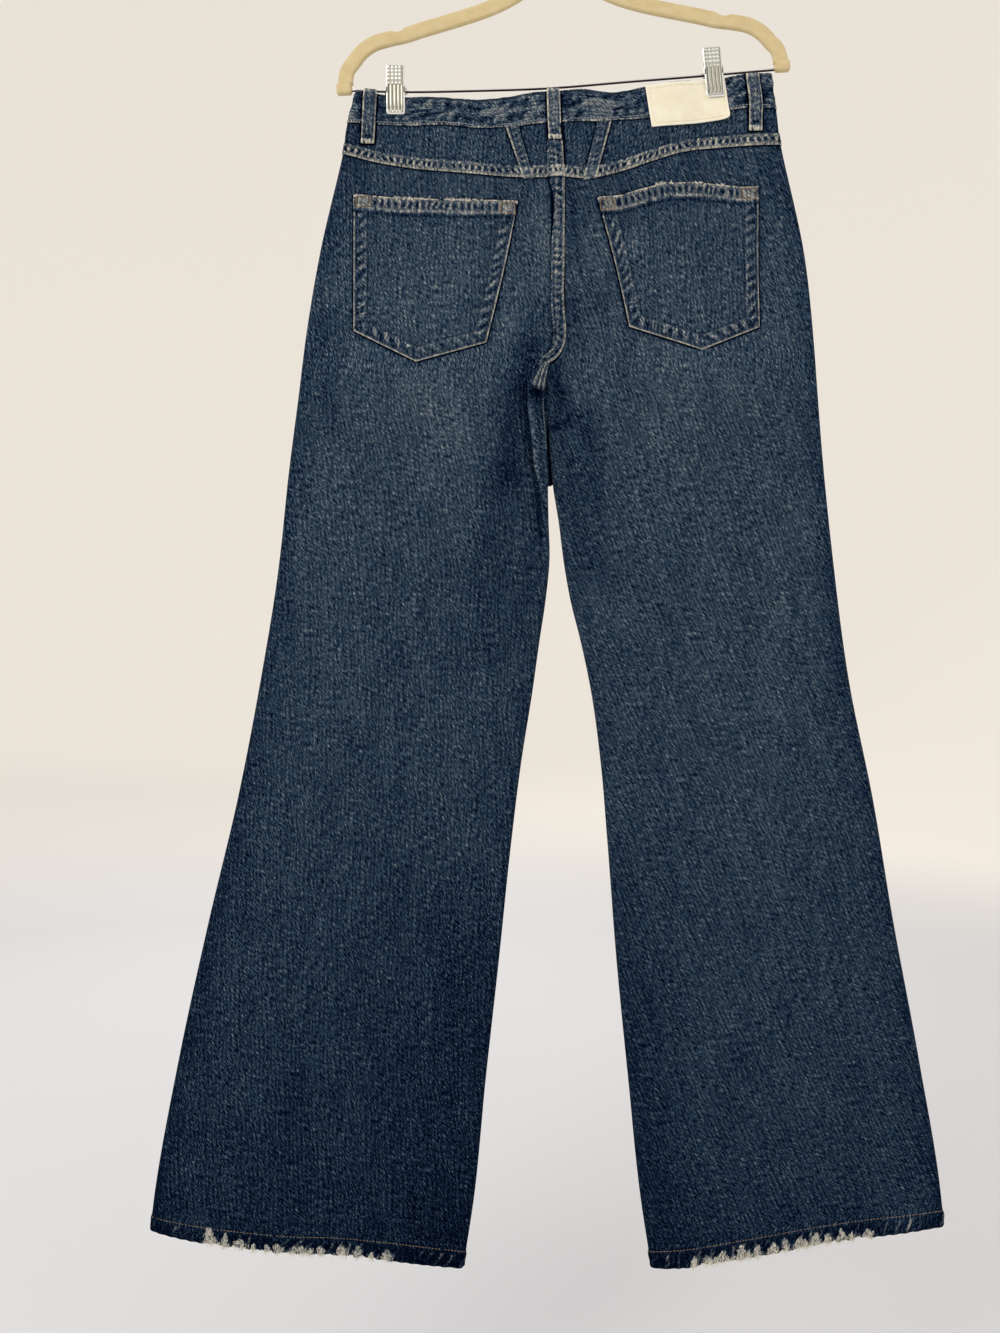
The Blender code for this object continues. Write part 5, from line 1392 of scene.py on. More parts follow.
def yoke(side):
    """A yoke with the raised, worn band of its felled seam."""
    points, normals, _ = grid_of(side, -1, columns_for(180, 6, 14), rows_of(YOKE_ROWS))
    x, drop = points[..., 0], -points[..., 2]
    up = seam_drop(side, -1, x, YOKE_SEAM) - drop
    along = arc_places(points)
    wear_and_shading, rise = felled_wear(along, up, 91 if side == "left" else 95)
    rings = [outline_of(DARTS[side]), strip_ring()] + loop_rings(-1)
    # painted shadow below the waistband and beside the darts, the centre strip and the belt loops
    near = np.maximum(drop - seam_drop(side, -1, x, WAIST_SEAM), 0)
    near = np.where(up < YOKE_BAND_TALL, FAR, np.minimum(near, edge_distance(x, drop, rings)))
    lift = HALF_CLOTH + FELL_RISE * until(up, YOKE_BAND_TALL + 0.0003, 0.0006) + rise
    raised("yoke_" + side, "yoke_" + side, points, normals, lift, -HALF_CLOTH,
           grain_of(along, drop), panel_fade_and_shade(points) + 0.01, wear_and_shading, rim=0.6, edge=near, rim_wear=0.35)


# ---------------------------------------------------------------- laid pieces

STRIP_STEP = 0.0012


def strip_grid(path, across_steps):
    """A grid along a strip given by its right edge and width; columns run left."""
    rows = np.array(path)
    reach = reach_along(rows[:, :2])
    at = np.linspace(0, reach[-1], int(reach[-1] / STRIP_STEP))
    x, drop, wide = (smooth(at, reach, values) for values in rows.T)
    left = wide[:, None] * np.linspace(0, 1, across_steps)
    heading = unit(np.stack([np.gradient(x), np.gradient(drop)], axis=-1))
    return x[:, None] - heading[:, 1:] * left, drop[:, None] + heading[:, :1] * left, at[:, None], left


def centre_strip():
    """The felled strip beside the centre back seam, from the band to the crotch."""
    x, drop, along, left = strip_grid([(x - 0.0014, d, w - 0.0010) for x, d, w in CENTRE_STRIP], 18)
    points, normals = place_frame(-1, x, drop)
    wide = left[:, -1:]
    squares = roping(along, left, 0.0072, 0.30, 101)
    inside = within(left, 0.0012, wide - 0.0016, 0.001)
    wear_and_shading = inside * (0.36 * squares + 0.14)
    wear_and_shading += lines(left, (0.78, 0.0002, 0.0010), (-0.45, 0.0027, 0.0007), (0.22, 0.0066, 0.0010),
                  (-0.24, 0.0088, 0.0007), (0.26, wide - 0.0007, 0.0009))
    up = seam_drop("left", -1, x, YOKE_SEAM) - drop
    over_band = within(up, -0.0006, YOKE_BAND_TALL - 0.0004, 0.0006, 0.0010)
    band_wear, _ = felled_wear(1.3 * left, up, 97)
    wear_and_shading = wear_and_shading * (1 - over_band) + (band_wear + 0.16) * over_band
    # painted shadow below the yoke band and beside the belt loops
    near = np.minimum(np.where(up < 0, -up, FAR), edge_distance(x, drop, loop_rings(-1)))
    lift = LAID_IN + 0.0004 + FELL_RISE + 0.0009 * over_band + 0.0003 * squares * inside
    raised("centre_strip", "back_left", points, normals, lift + lines(left, (0.0003, 0.0006, 0.0012)),
           HALF_CLOTH - 0.0003, grain_of(left, along), fade(x, drop) + 0.01, wear_and_shading, rim=0.8,
           edge=near, rim_wear=0.25)


SEAM_END = [  # the bunched end of the centre seam: its middle line and half width
    (-0.0052, 0.4965, 0.0026), (-0.0078, 0.5010, 0.0034), (-0.0104, 0.5070, 0.0045),
    (-0.0126, 0.5130, 0.0053), (-0.0138, 0.5182, 0.0050),
]


def seam_end():
    """The bunched end of the centre seam, drawn up in ridges."""
    rows = np.array(SEAM_END)
    t = np.linspace(0, 1, 34)
    x, drop, half = (smooth(t, np.linspace(0, 1, len(rows)), values)[:, None] for values in rows.T)
    heading = unit(np.concatenate([np.gradient(x, axis=0), np.gradient(drop, axis=0)], axis=1))
    share = np.linspace(-1, 1, 41)
    aside = half * share
    x, drop = x + heading[:, 1:] * aside, drop - heading[:, :1] * aside
    points, normals = place_frame(-1, x, drop)
    t = t[:, None]
    crown = np.sqrt(np.maximum(1 - share ** 2, 0.0))
    ridges = np.cos(math.pi * (2.45 * share + 0.25 * wander(t * 3, share * 2, 111))) * crown
    ends = np.sin(math.pi * np.clip(t * 0.94 + 0.04, 0, 1)) ** 0.5
    # pale ridges, and painted shade at the tip, over the dark slit at the fold's mouth
    raised("seam_end", "back_left", points, normals, 0.0012 + 0.0028 * ends * crown + 0.0004 * ridges,
           0.0002, grain_of(aside, t * 0.022), fade(x, drop) + 0.08,
           0.34 * ridges + 0.30 - 0.6 * after(t, 0.84, 0.16), rim=0.5)


FLAP_LEFT = [(-0.0250, 0.5178), (-0.0240, 0.5350), (-0.0197, 0.5593), (-0.0158, 0.5908),
             (-0.0105, 0.6184), (-0.0066, 0.6330)]
FLAP_RIGHT = [(-0.0092, 0.5200), (-0.0088, 0.5350), (-0.0068, 0.5593), (-0.0055, 0.5908),
              (-0.0050, 0.6184), (-0.0054, 0.6330)]


FLAP_TALL = 0.0046
FLAP_LIP = 0.0022           # how far its rolled edge reaches in


def crotch_fold():
    """The fold of the left leg that hangs over beside the inseam."""
    t = np.linspace(0, 1, 64)
    left, right = along_line(FLAP_LEFT, t), along_line(FLAP_RIGHT, t)
    share = np.linspace(0, 1, 20)
    x, drop = (left[:, i:i + 1] * (1 - share) + right[:, i:i + 1] * share for i in (0, 1))
    points, normals = place_frame(-1, x, drop)
    t = t[:, None]
    wide = np.abs(right[:, :1] - left[:, :1])
    from_left = wide * share
    past_lip = np.maximum(wide - FLAP_LIP, 1e-4)
    tall = FLAP_TALL * np.sin(math.pi * np.clip(0.16 + 0.80 * t, 0, 1)) ** 0.8
    roll = ease(from_left / FLAP_LIP) * (1 - 0.62 * after(from_left, FLAP_LIP, past_lip))
    lift = 0.0010 + tall * roll + 0.0003 * wander(drop / 0.011, from_left / 0.006, 121)
    # pale worn roll, and painted shade in the crease at its left edge, in the hollow behind the roll and at
    # its open top
    wear_and_shading = lines(from_left, (0.22, 0.0024, 0.0022), (-0.55, 0.0, 0.0010))
    wear_and_shading = wear_and_shading + lines(from_left / wide, (-0.22, 0.62, 0.22)) + lines(t, (-0.55, 0.0, 0.10))
    raised("crotch_fold", "back_left", points, normals, lift, HALF_CLOTH - 0.0004,
           grain_of(from_left, drop), 0.40, wear_and_shading, rim=0.6, inner_fade=0.36)


TUCK_LEVELS = (0.5120, 0.6040)


def crotch_tuck():
    """Cloth of the front that shows as a dark slit between the tops of the legs, painted far darker than the
    cloth as the slit's shade.
    """
    t = np.linspace(0, 1, 48)[:, None]
    level = TUCK_LEVELS[0] + (TUCK_LEVELS[1] - TUCK_LEVELS[0]) * t
    margin = 0.0050 * (1 - 0.6 * t)
    left, right = inner_x("left", level) - margin, inner_x("right", level) + margin
    share = np.linspace(0, 1, 12)
    x = left + (right - left) * share
    bow = np.sin(math.pi * share)
    top = 1 - after(level, 0.538, 0.030)
    y = 0.0022 + 0.0014 * bow + 0.0006 * wander(level / 0.012, share * 2, 127) - 0.0052 * top
    z = -level - 0.004 * after(t, 0.90, 0.10) * bow
    raised("crotch_tuck", "front_left", np.stack(np.broadcast_arrays(x, y, z), axis=-1),
           np.array([0.0, -1.0, 0.0]), HALF_CLOTH, -HALF_CLOTH, grain_of(x, level),
           0.20 + 0.12 * top, lines(share, (0.35, 0.40, 0.10)) - 0.25, rim=0.5)


POCKET_TURN = 0.0125        # between a pocket's edge and its inner row of stitches
POCKET_CLOTH = 0.0021       # how far its face stands off the middle surface
POCKET_RUNS = (0.155, 0.430)    # lengths of its top, and of its sides and point together


def edge_paths(shape):
    """A pocket's top, and its sides with the point below, as paths."""
    shares = np.linspace(0, 1, 25)
    x, drop = piece_grid(shape, shares, shares)
    top = list(zip(x[0], drop[0]))
    under = list(zip(x[:, 0], drop[:, 0])) + list(zip(x[-1, 1:], drop[-1, 1:]))
    under += list(zip(x[-2::-1, -1], drop[-2::-1, -1]))
    return top, under


def pocket(side):
    """A patch pocket: hemmed top, two rows of stitches and roped edges."""
    shape = POCKETS[side]
    left, tip, right = shape["bottom"]
    to_tip, to_right = math.dist(left, tip), math.dist(tip, right)
    shares = np.interp(np.linspace(0, 1, 105), [0, 0.5, 1], [0, to_tip / (to_tip + to_right), 1])
    x, drop = piece_grid(shape, shares, np.linspace(0, 1, 91))
    points, normals = place_frame(-1, x, drop)
    (from_top, top_run), (from_side, side_run) = (path_distance(x, drop, p) for p in edge_paths(shape))
    top_run, side_run = top_run * POCKET_RUNS[0], side_run * POCKET_RUNS[1]
    seed = 131 if side == "left" else 141
    squares = roping(top_run, from_top, 0.0062, 0.1, seed)
    patches = roping(side_run, from_side, 0.0118, 0.85, seed + 4)
    small = roping(side_run, from_side, 0.0036, 0.2, seed + 6)
    in_hem = within(from_top, 0.0010, 0.0112, 0.001)
    in_turn = within(from_side, 0.0018, POCKET_TURN - 0.001, 0.001)
    below = after(from_top, 0.0150, 0.002)
    box = until(np.abs(from_side - 0.0090), 0.0064, 0.001) * until(np.abs(from_top - 0.0074), 0.0050, 0.001)

    # a pale hem, and painted shadow just below its turned edge
    wear_and_shading = 0.44 * until(from_top, 0.0135, 0.001) + lines(from_top, (-0.50, 0.0160, 0.0012))
    wear_and_shading += in_hem * (1 - box) * (0.66 * np.tanh(1.8 * squares) - 0.40) * bump_at(from_top, 0.0064, 0.0036)
    wear_and_shading += (0.18 + 0.44 * wander(top_run / 0.002, 0, seed + 1)) * bump_at(from_top, 0.0128, 0.0015)
    wear_and_shading += (0.30 + 0.50 * wander(top_run / 0.0042, 0, seed + 3)) * bump_at(from_top, 0.0002, 0.0011)
    frayed = wander(top_run / 0.0016, from_top / 0.001, seed + 9)
    wear_and_shading += (0.25 + 0.8 * frayed) * until(from_top, 0.0022, 0.001)
    wear_and_shading += box * (0.16 + 0.20 * wander(x / 0.002, drop / 0.002, seed + 12))
    rubbed = patches * lines(from_side, (0.50, 0.0068, 0.0046)) + 0.02
    rubbed = in_turn * (rubbed + after(drop, 0.415, 0.03) * (0.30 * small - 0.03))
    rubbed += (0.84 + 0.15 * small) * bump_at(from_side, 0.0001, 0.0009)
    # painted shade in the groove of the outer stitches and beside the turned-in edge, and a pale line inside
    # that edge
    rubbed += lines(from_side, (-0.40, 0.0022, 0.0008), (-0.36, POCKET_TURN + 0.0004, 0.0008),
                    (0.24, POCKET_TURN - 0.0016, 0.0013))
    wear_and_shading += below * rubbed

    rise = POCKET_CLOTH + 0.0007 * (1 - after(from_top, 0.0142, 0.0006)) + 0.00024 * in_hem * squares
    groove = lines(from_side, (-0.00025, 0.0022, 0.0008))
    rise += below * (in_turn * (0.0005 + 0.00032 * patches) + groove)
    middle = after(from_side, 0.014, 0.020) * after(from_top, 0.016, 0.020)
    rise += middle * (0.0007 + 0.0005 * wander(x / 0.034, drop / 0.060, seed + 8))
    lean = 0.03 if side == "left" else -0.02
    raised("pocket_" + side, "pocket_back_" + side, points, normals, rise, LAID_IN,
           grain_of(x + lean * drop + 0.3, drop), fade(x, drop) - 0.004, wear_and_shading, rim=0.6, rim_wear=0.25)


DART_FOOT = 0.0014          # how far below the yoke seam each strip ends
DART_SIZE = (0.0102, 0.042)


def dart(side):
    """A slanting felled strip in the yoke."""
    shape = DARTS[side]
    shares = np.linspace(0, 1, 18)
    top, bottom = np.mean(shape["top"], axis=0), np.mean(shape["bottom"], axis=0)
    foot = float(seam_drop(side, -1, bottom[:1], YOKE_SEAM)[0]) + DART_FOOT
    reach = (foot - top[1]) / (bottom[1] - top[1])
    x, drop = piece_grid(shape, shares, np.linspace(0, reach, 66))
    points, normals = place_frame(-1, x, drop)
    wide, long = DART_SIZE
    across = wide * (shares if side == "left" else 1 - shares) + 0 * x
    along = np.linspace(0, long * reach, 66)[:, None]
    squares = roping(along, across, 0.0060, 0.25, 151 if side == "left" else 155)
    inside = within(across, 0.0014, wide - 0.0016, 0.001)
    wear_and_shading = inside * (squares * lines(across, (0.44, 0.0056, 0.0024)) + 0.12)
    wear_and_shading += lines(across, (0.80, 0.0002, 0.0010), (-0.34, 0.0024, 0.0007), (0.22, wide - 0.0005, 0.0009))
    up = foot - drop
    rough = 1 + 0.8 * wander(x / 0.0022, drop / 0.0022, 153)
    wear_and_shading += 0.30 * until(up, YOKE_BAND_TALL - 0.0010, 0.0020) * rough
    lift = LAID_IN + 0.0010 + 0.00026 * squares * inside
    lift += 0.0008 * until(up, YOKE_BAND_TALL + 0.0030, 0.0060)
    raised("dart_strip_" + side, "dart_strip_" + side, points, normals, lift, HALF_CLOTH - 0.0003,
           grain_of(across, along), fade(x, drop) + 0.05, wear_and_shading, rim=0.7, slot="denim_worn")


LOOP_LONG = 0.0525


def loop_place(node, along, aside):
    path = np.array(LOOPS[node][3])
    knots = np.linspace(0, 1, len(path))
    return smooth(along, knots, path[:, 0]) + aside, smooth(along, knots, path[:, 1]) + 0 * aside


def belt_loop(node):
    """A folded loop with worn edges and a turned, fuzzy foot."""
    face, faded, seed, _ = LOOPS[node]
    along = np.linspace(0, 1, 52)[:, None]
    share = np.linspace(-1, 1, 21)[None, :]
    aside = share * LOOP_WIDTH / 2 * (1 + 0.03 * wander(along * 5, share * 0, seed))
    points, normals = place_frame(face, *loop_place(node, along, aside))
    run = along * LOOP_LONG
    lift = np.interp(along, LOOP_ROWS["along"], LOOP_ROWS["lift"])
    foot = after(along, 0.915, 0.03)
    thick = LOOP_THICK * (1 - 0.38 * np.abs(share) ** 5) + 0.0007 * foot
    thick = thick + 0.00022 * wander(run / 0.004, share * 1.5, seed + 1)
    off_edge = (1 - np.abs(share)) * LOOP_WIDTH / 2
    wear_and_shading = lines(off_edge, (0.62, 0.0, 0.0009), (-0.34, 0.0021, 0.0007)) + 0.20
    wear_and_shading = wear_and_shading + roping(run, aside, 0.0046, 0.3, seed + 2) * lines(off_edge, (0.22, 0.0046, 0.0020))
    wear_and_shading = wear_and_shading + 0.20 * wander(run / 0.003, share * 3, seed + 3) + lines(along, (0.40, 0.02, 0.03))
    wear_and_shading = wear_and_shading + (0.62 + 0.35 * wander(share * 4, along * 30, seed + 4)) * foot
    wear_and_shading = wear_and_shading + lines(along, (-0.62, 0.865, 0.045)) * after(off_edge, 0.0022, 0.001)
    raised(node, node, points, normals, lift + thick, lift, grain_of(aside, run), faded, wear_and_shading,
           rim=0.6, rim_wear=0.10, slot="denim_worn")


PATCH_SIZE = (0.0762, 0.0386)
PATCH_THICK = 0.0012
PATCH_GROOVE = 0.0027       # where the stitches have pressed it in, from its edge


def patch_rise(share, row):
    wave = 0.00055 * wander(share * 2.4, row * 1.3, 181) + 0.00025 * wander(share * 7, row * 4, 182)
    curl = 0.0024 * ease((share - 0.86) / 0.14) * ease((row - 0.72) / 0.28)
    return wave + curl


def patch():
    """A bare hide patch, sewn all round, with one corner lifting."""
    share = np.linspace(0, 1, 54)[None, :]
    row = np.linspace(0, 1, 30)[:, None]
    x, drop = piece_grid(PATCH, share[0], row[:, 0])
    corner = 0.0009 * after(share, 0.955, 0.045) * after(row, 0.90, 0.10)
    x, drop = x - corner, drop - corner * 0.8
    points, normals = place_frame(-1, x, drop)
    from_edge = np.minimum(np.minimum(share, 1 - share) * PATCH_SIZE[0],
                           np.minimum(row, 1 - row) * PATCH_SIZE[1])
    wave = patch_rise(share, row)
    groove = lines(from_edge, (-0.00018, PATCH_GROOVE, 0.0008))
    raised("patch", "patch", points, normals, PATCH_IN + PATCH_THICK + wave + groove,
           PATCH_IN + 0.8 * wave, grain_of(x, drop), 0.5,
           lines(from_edge, (0.7, 0.0, 0.0012), (-0.10, PATCH_GROOVE, 0.0007)), rim=0.6,
           rim_wear=0.4, slot="patch", look=HIDE)


# ---------------------------------------------------------------- the front's own pieces

def facing(side):
    """What shows of the pocket bag inside the front pocket's opening, painted darker as shade, with painted
    shadow beside the opening's edge.
    """
    columns = np.concatenate([[0.012], columns_for(58)[6:]])
    tops = np.full(len(columns), WAIST_SEAM + SEAM_GAP / 2)
    feet = scoop_level(side, columns) + FACING_TUCK
    kept = int((feet - tops > FACING_TUCK + 0.0004).sum()) + 2
    columns, tops, feet = columns[:kept], tops[:kept], feet[:kept]
    points, normals, level = grid_of(side, 1, columns, np.linspace(tops, feet, 30))
    x, drop = points[..., 0], -points[..., 2]
    name = "front_pocket_facing_" + side
    raised(name, name, points, normals, -LAID_IN, -LAID_IN - LAID_CLOTH,
           grain_of(arc_places(points) + 1.3, drop), fade(x, drop) - 0.08, 0.0, rim=0.5,
           edge=np.maximum(scoop_level(side, columns)[None, :] - level, 0))


def fly_places(share, row):
    middle = SEAM["x"][1]
    x = middle - FLY_WIDTH + (FLY_WIDTH + FLY_LAP) * share
    side_x = outer_edge("left", WAIST_SEAM)[0]
    across = np.minimum((x - side_x) / (middle - side_x), 1.0)
    top = drop_at("left", 1, across, WAIST_SEAM) + LAID_GAP
    reach = FLY_LENGTH * (1 - FLY_FOOT * (1 - np.sqrt(np.maximum(1 - (1 - share) ** 2, 0))))
    return x + 0 * row, top + reach * row


def fly():
    """The lapped placket, worn along its free edge."""
    share = np.linspace(0, 1, 34)[None, :]
    row = np.linspace(0, 1, 76)[:, None]
    x, drop = fly_places(share, row)
    points, normals = place_frame(1, x, drop)
    from_edge = (1 - share) * (FLY_WIDTH + FLY_LAP)
    run = row * FLY_LENGTH
    ticks = roping(run, from_edge, 0.0060, 0.4, 191) * within(from_edge, 0.001, 0.008, 0.001)
    wear_and_shading = 0.40 * ticks + 0.08 * wander(run / 0.01, from_edge / 0.01, 192)
    wear_and_shading += lines(from_edge, (0.55, 0.0003, 0.0009), (-0.25, 0.0020, 0.0008))
    raised("fly_placket", "fly_placket", points, normals, LAID_IN + 0.0011 + 0.00024 * ticks, LAID_IN,
           grain_of(x, drop), fade(x, drop) + 0.01, wear_and_shading, rim=0.6, rim_wear=0.2)


BUTTON_RADIUS = 0.0085
BUTTON_HEIGHT = 0.0034
BUTTON_BELOW_TOP = 0.014
BUTTON_ASIDE = 0.004
BUTTON_PROFILE = [
    (0.00, 0.72), (0.20, 0.72), (0.30, 0.80), (0.38, 0.72), (0.62, 0.66), (0.70, 0.70), (0.76, 0.90),
    (0.82, 0.99), (0.90, 1.00), (0.97, 0.93), (1.00, 0.78), (0.99, 0.55), (0.93, 0.40),
    (0.45, 0.35), (0.45, 0.00), (0.00, 0.00),
]


def ring_quads(rings, steps):
    """The faces between closed rings of equally many points."""
    at = np.arange(rings * steps).reshape(rings, steps)
    after_at = np.roll(at, -1, 1)
    return np.stack([at[:-1], after_at[:-1], after_at[1:], at[1:]], axis=-1).reshape(-1, 4)


def turned(name, profile, place, turn, steps):
    """A profile turned about its own Z, then set in place."""
    angles = np.linspace(0, math.tau, steps, endpoint=False)
    r, z = np.array(profile).T
    points = np.stack([r[:, None] * np.cos(angles), r[:, None] * np.sin(angles),
                       z[:, None] + 0 * angles], axis=-1).reshape(-1, 3)
    mesh = quad_mesh(name, points, ring_quads(len(r), steps))
    mesh.transform(Matrix.Translation(Vector(place)) @ turn)
    return clean(mesh)


def clean(mesh):
    """Weld doubled points, and turn every face outward."""
    bm = bmesh.new()
    bm.from_mesh(mesh)
    bmesh.ops.remove_doubles(bm, verts=bm.verts, dist=0.00002)
    bmesh.ops.dissolve_degenerate(bm, edges=bm.edges, dist=0.00001)
    bmesh.ops.recalc_face_normals(bm, faces=bm.faces)
    bm.to_mesh(mesh)
    bm.free()
    mesh.shade_smooth()
    return mesh


def waist_button():
    profile = [(BUTTON_RADIUS * r, BUTTON_HEIGHT * h) for r, h in BUTTON_PROFILE]
    x = np.array([SEAM["x"][0] - BUTTON_ASIDE])
    drop = np.array([float(drop_at("left", 1, 1.0, WAIST_TOP)) + BUTTON_BELOW_TOP])
    points, normals = place_frame(1, x, drop)
    seat = points[0] + normals[0] * (BAND_OUT + SEAM_GAP)
    mesh = turned("waist_button", profile, seat, Matrix.Rotation(-math.pi / 2, 4, "X"), 48)
    return place_piece(mesh, BRASS, ["waist_button"])


# ---------------------------------------------------------------- the hanger

TILT = math.radians(2.8)
ARM_WIDTH = 0.0140
ARM_THICK = 0.0056
ARM_EDGE = 0.0024
ARM = table("x z", [
    (-0.2066, -0.2180), (-0.2062, -0.2110), (-0.2040, -0.2040), (-0.1984, -0.1972), (-0.1915, -0.1889),
    (-0.1801, -0.1809), (-0.1633, -0.1763), (-0.1474, -0.1735), (-0.1325, -0.1694),
    (-0.1061, -0.1629), (-0.0786, -0.1556), (-0.0636, -0.1508), (-0.0422, -0.1411),
    (-0.0224, -0.1273), (-0.0090, -0.1070), (0.0000, -0.0900),
])
ARM_SAMPLES = 110
NOTCH_X = 0.1535
NOTCH_HALF = 0.0055
NOTCH_DEEP = 0.0022
NECK_HALF = 0.0068
NECK_TOP = -0.0880
NECK_BEVEL = (0.0020, 0.0040)
ARM_MEETS_NECK = 0.0010
UNDER_MEETS = 0.0040
CROOK_Z = -0.1190
CAP_SIZE = (0.0150, 0.0070, 0.0112)
CAP_ROUND = 0.0030
CAP_PLACES = {"hanger_end_left": (-0.1972, -0.2316), "hanger_end_right": (0.2185, -0.2096)}
HOOK_RADIUS = 0.0209
HOOK_WIRE = 0.0019
HOOK_LEAVES = math.radians(-58)
HOOK_ENDS = math.radians(205)
SHANK_STRAIGHT = 0.020
SHANK_SHARES = (0.20, 0.35, 0.48, 0.60, 0.72, 0.82, 0.92)
BAR_RADIUS = 0.0013
BAR = table("x drop", [
    (-0.1893, 0.2328), (-0.1482, 0.2339), (-0.0684, 0.2328), (-0.0057, 0.2306),
    (0.0741, 0.2242), (0.1425, 0.2188), (0.2106, 0.2130),
])


def tilted(x, z):
    """A place on the hanger, turned as the whole frame hangs."""
    return (x * math.cos(TILT) - z * math.sin(TILT), x * math.sin(TILT) + z * math.cos(TILT))


def arm_edges():
    """The upper and lower edges of the left arm, tip to neck."""
    reach = reach_along(np.stack([ARM["x"], ARM["z"]], axis=-1))
    at = np.linspace(0, reach[-1], ARM_SAMPLES)
    x, z = smooth(at, reach, ARM["x"]), smooth(at, reach, ARM["z"])
    run_x, run_z = np.gradient(x), np.gradient(z)
    size = np.hypot(run_x, run_z)
    up_x, up_z = -run_z / size, run_x / size
    notch = NOTCH_DEEP * np.exp(-((x + NOTCH_X) / NOTCH_HALF) ** 4)
    half = ARM_WIDTH / 2
    upper = [(px, pz) for px, pz in zip(x + up_x * (half - notch), z + up_z * (half - notch))
             if px < -NECK_HALF - ARM_MEETS_NECK]
    lower = [(px, pz) for px, pz in zip(x - up_x * half, z - up_z * half) if px < -UNDER_MEETS]
    return upper, lower


def curve_mesh(name, curve, place):
    """A curve's finished mesh, welded and set in place."""
    guide = bpy.data.objects.new(name + "_guide", curve)
    bpy.context.scene.collection.objects.link(guide)
    guide.matrix_world = place
    bpy.context.view_layer.update()
    evaluated = guide.evaluated_get(bpy.context.evaluated_depsgraph_get())
    mesh = bpy.data.meshes.new_from_object(evaluated)
    mesh.name = name
    mesh.transform(guide.matrix_world)
    bpy.data.objects.remove(guide, do_unlink=True)
    return clean(mesh)


def hanger_frame():
    upper, lower = arm_edges()
    left = upper + [(-NECK_HALF, NECK_TOP - NECK_BEVEL[1]), (-NECK_HALF + NECK_BEVEL[0], NECK_TOP)]
    over = left + [(-x, z) for x, z in reversed(left)]
    under = [(-x, z) for x, z in lower] + [(0.0, CROOK_Z)] + [(x, z) for x, z in reversed(lower)]
    curve = bpy.data.curves.new("hanger_frame", "CURVE")
    curve.dimensions = "2D"
    curve.fill_mode = "BOTH"
    curve.extrude = ARM_THICK / 2 - ARM_EDGE
    curve.bevel_depth = ARM_EDGE
    curve.bevel_resolution = 5
    curve.offset = -ARM_EDGE
    spline = curve.splines.new("POLY")
    outline = [tilted(x, z) for x, z in over + under]
    spline.points.add(len(outline) - 1)
    for point, (x, z) in zip(spline.points, outline):
        point.co = (x, z, 0.0, 1.0)
    spline.use_cyclic_u = True
    mesh = curve_mesh("hanger_frame", curve, Matrix.Rotation(math.pi / 2, 4, "X"))
    mesh.materials.clear()
    mesh.set_sharp_from_angle(angle=math.radians(55))
    return place_piece(mesh, VELVET, ["hanger_frame"])


TUBE_END = 0.6              # how far a wire's domed end reaches, over its radius


def tube(name, points, radius, sides):
    """A round wire along points, with domed ends."""
    points = np.asarray(points, dtype=float)
    ways = unit(np.gradient(points, axis=0))
    aside = unit(np.cross(ways, np.array([0.0, 1.0, 0.0]) + 0 * ways))
    other = np.cross(ways, aside)
    dome = [(0.0, 0.02), (0.25 * TUBE_END, 0.55), (0.62 * TUBE_END, 0.88)]
    first = [(points[0] - ways[0] * radius * (TUBE_END - d), ways[0], aside[0], other[0], s)
             for d, s in dome]
    body = [(p, w, a, o, 1.0) for p, w, a, o in zip(points, ways, aside, other)]
    last = [(points[-1] + ways[-1] * radius * (TUBE_END - d), ways[-1], aside[-1], other[-1], s)
            for d, s in reversed(dome)]
    rings = first + body + last
    angles = np.linspace(0, math.tau, sides, endpoint=False)
    grid = np.array([[p + (a * math.cos(t) + o * math.sin(t)) * radius * s for t in angles]
                     for p, _, a, o, s in rings])
    caps = [[row + k, row + k + 1, row + sides - k - 2, row + sides - k - 1]
            for row in (0, (len(rings) - 1) * sides) for k in range(sides // 2 - 1)]
    quads = np.concatenate([ring_quads(len(rings), sides), caps])
    return clean(quad_mesh(name, grid.reshape(-1, 3), quads))


def hanger_hook():
    inner = HOOK_RADIUS - HOOK_WIRE
    turns = np.linspace(HOOK_LEAVES, HOOK_ENDS, 90)
    arc = [(HOOK_RADIUS * math.cos(a), -inner + HOOK_RADIUS * math.sin(a)) for a in turns]
    foot = NECK_TOP + SEAM_GAP
    bends = foot + SHANK_STRAIGHT
    join_x, join_z = arc[0]
    shank = [(0.0, foot), (0.0, (foot + bends) / 2), (0.0, bends)]
    for share in SHANK_SHARES:
        shank.append((join_x * float(ease(share)) * share, bends + (join_z - bends) * share))
    points = [tilted(x, z) for x, z in shank + arc]
    mesh = tube("hanger_hook", [(x, 0.0, z) for x, z in points], HOOK_WIRE, 18)
    return place_piece(mesh, WIRE, ["hanger_hook"])


def bar_drop(x):
    """How far below the hook the wire bar lies at a place x."""
    return smooth(np.asarray(x, dtype=float), BAR["x"], BAR["drop"])


def hanger_bar():
    x = np.linspace(BAR["x"][0], BAR["x"][-1], 120)
    mesh = tube("hanger_bar", np.stack([x, 0 * x, -bar_drop(x)], axis=-1), BAR_RADIUS, 14)
    return place_piece(mesh, WIRE, ["hanger_bar"])


def hanger_end(node):
    bm = bmesh.new()
    bmesh.ops.create_cube(bm, size=1.0)
    bmesh.ops.scale(bm, vec=CAP_SIZE, verts=bm.verts)
    bmesh.ops.bevel(bm, geom=bm.edges[:], offset=CAP_ROUND, segments=5, affect="EDGES", profile=0.5)
    mesh = bpy.data.meshes.new(node)
    bm.to_mesh(mesh)
    bm.free()
    x, z = CAP_PLACES[node]
    mesh.transform(Matrix.Translation((x, 0.0, z)) @ Matrix.Rotation(-TILT, 4, "Y"))
    mesh.shade_smooth()
    return place_piece(mesh, VELVET, [node])


# ---------------------------------------------------------------- the clips

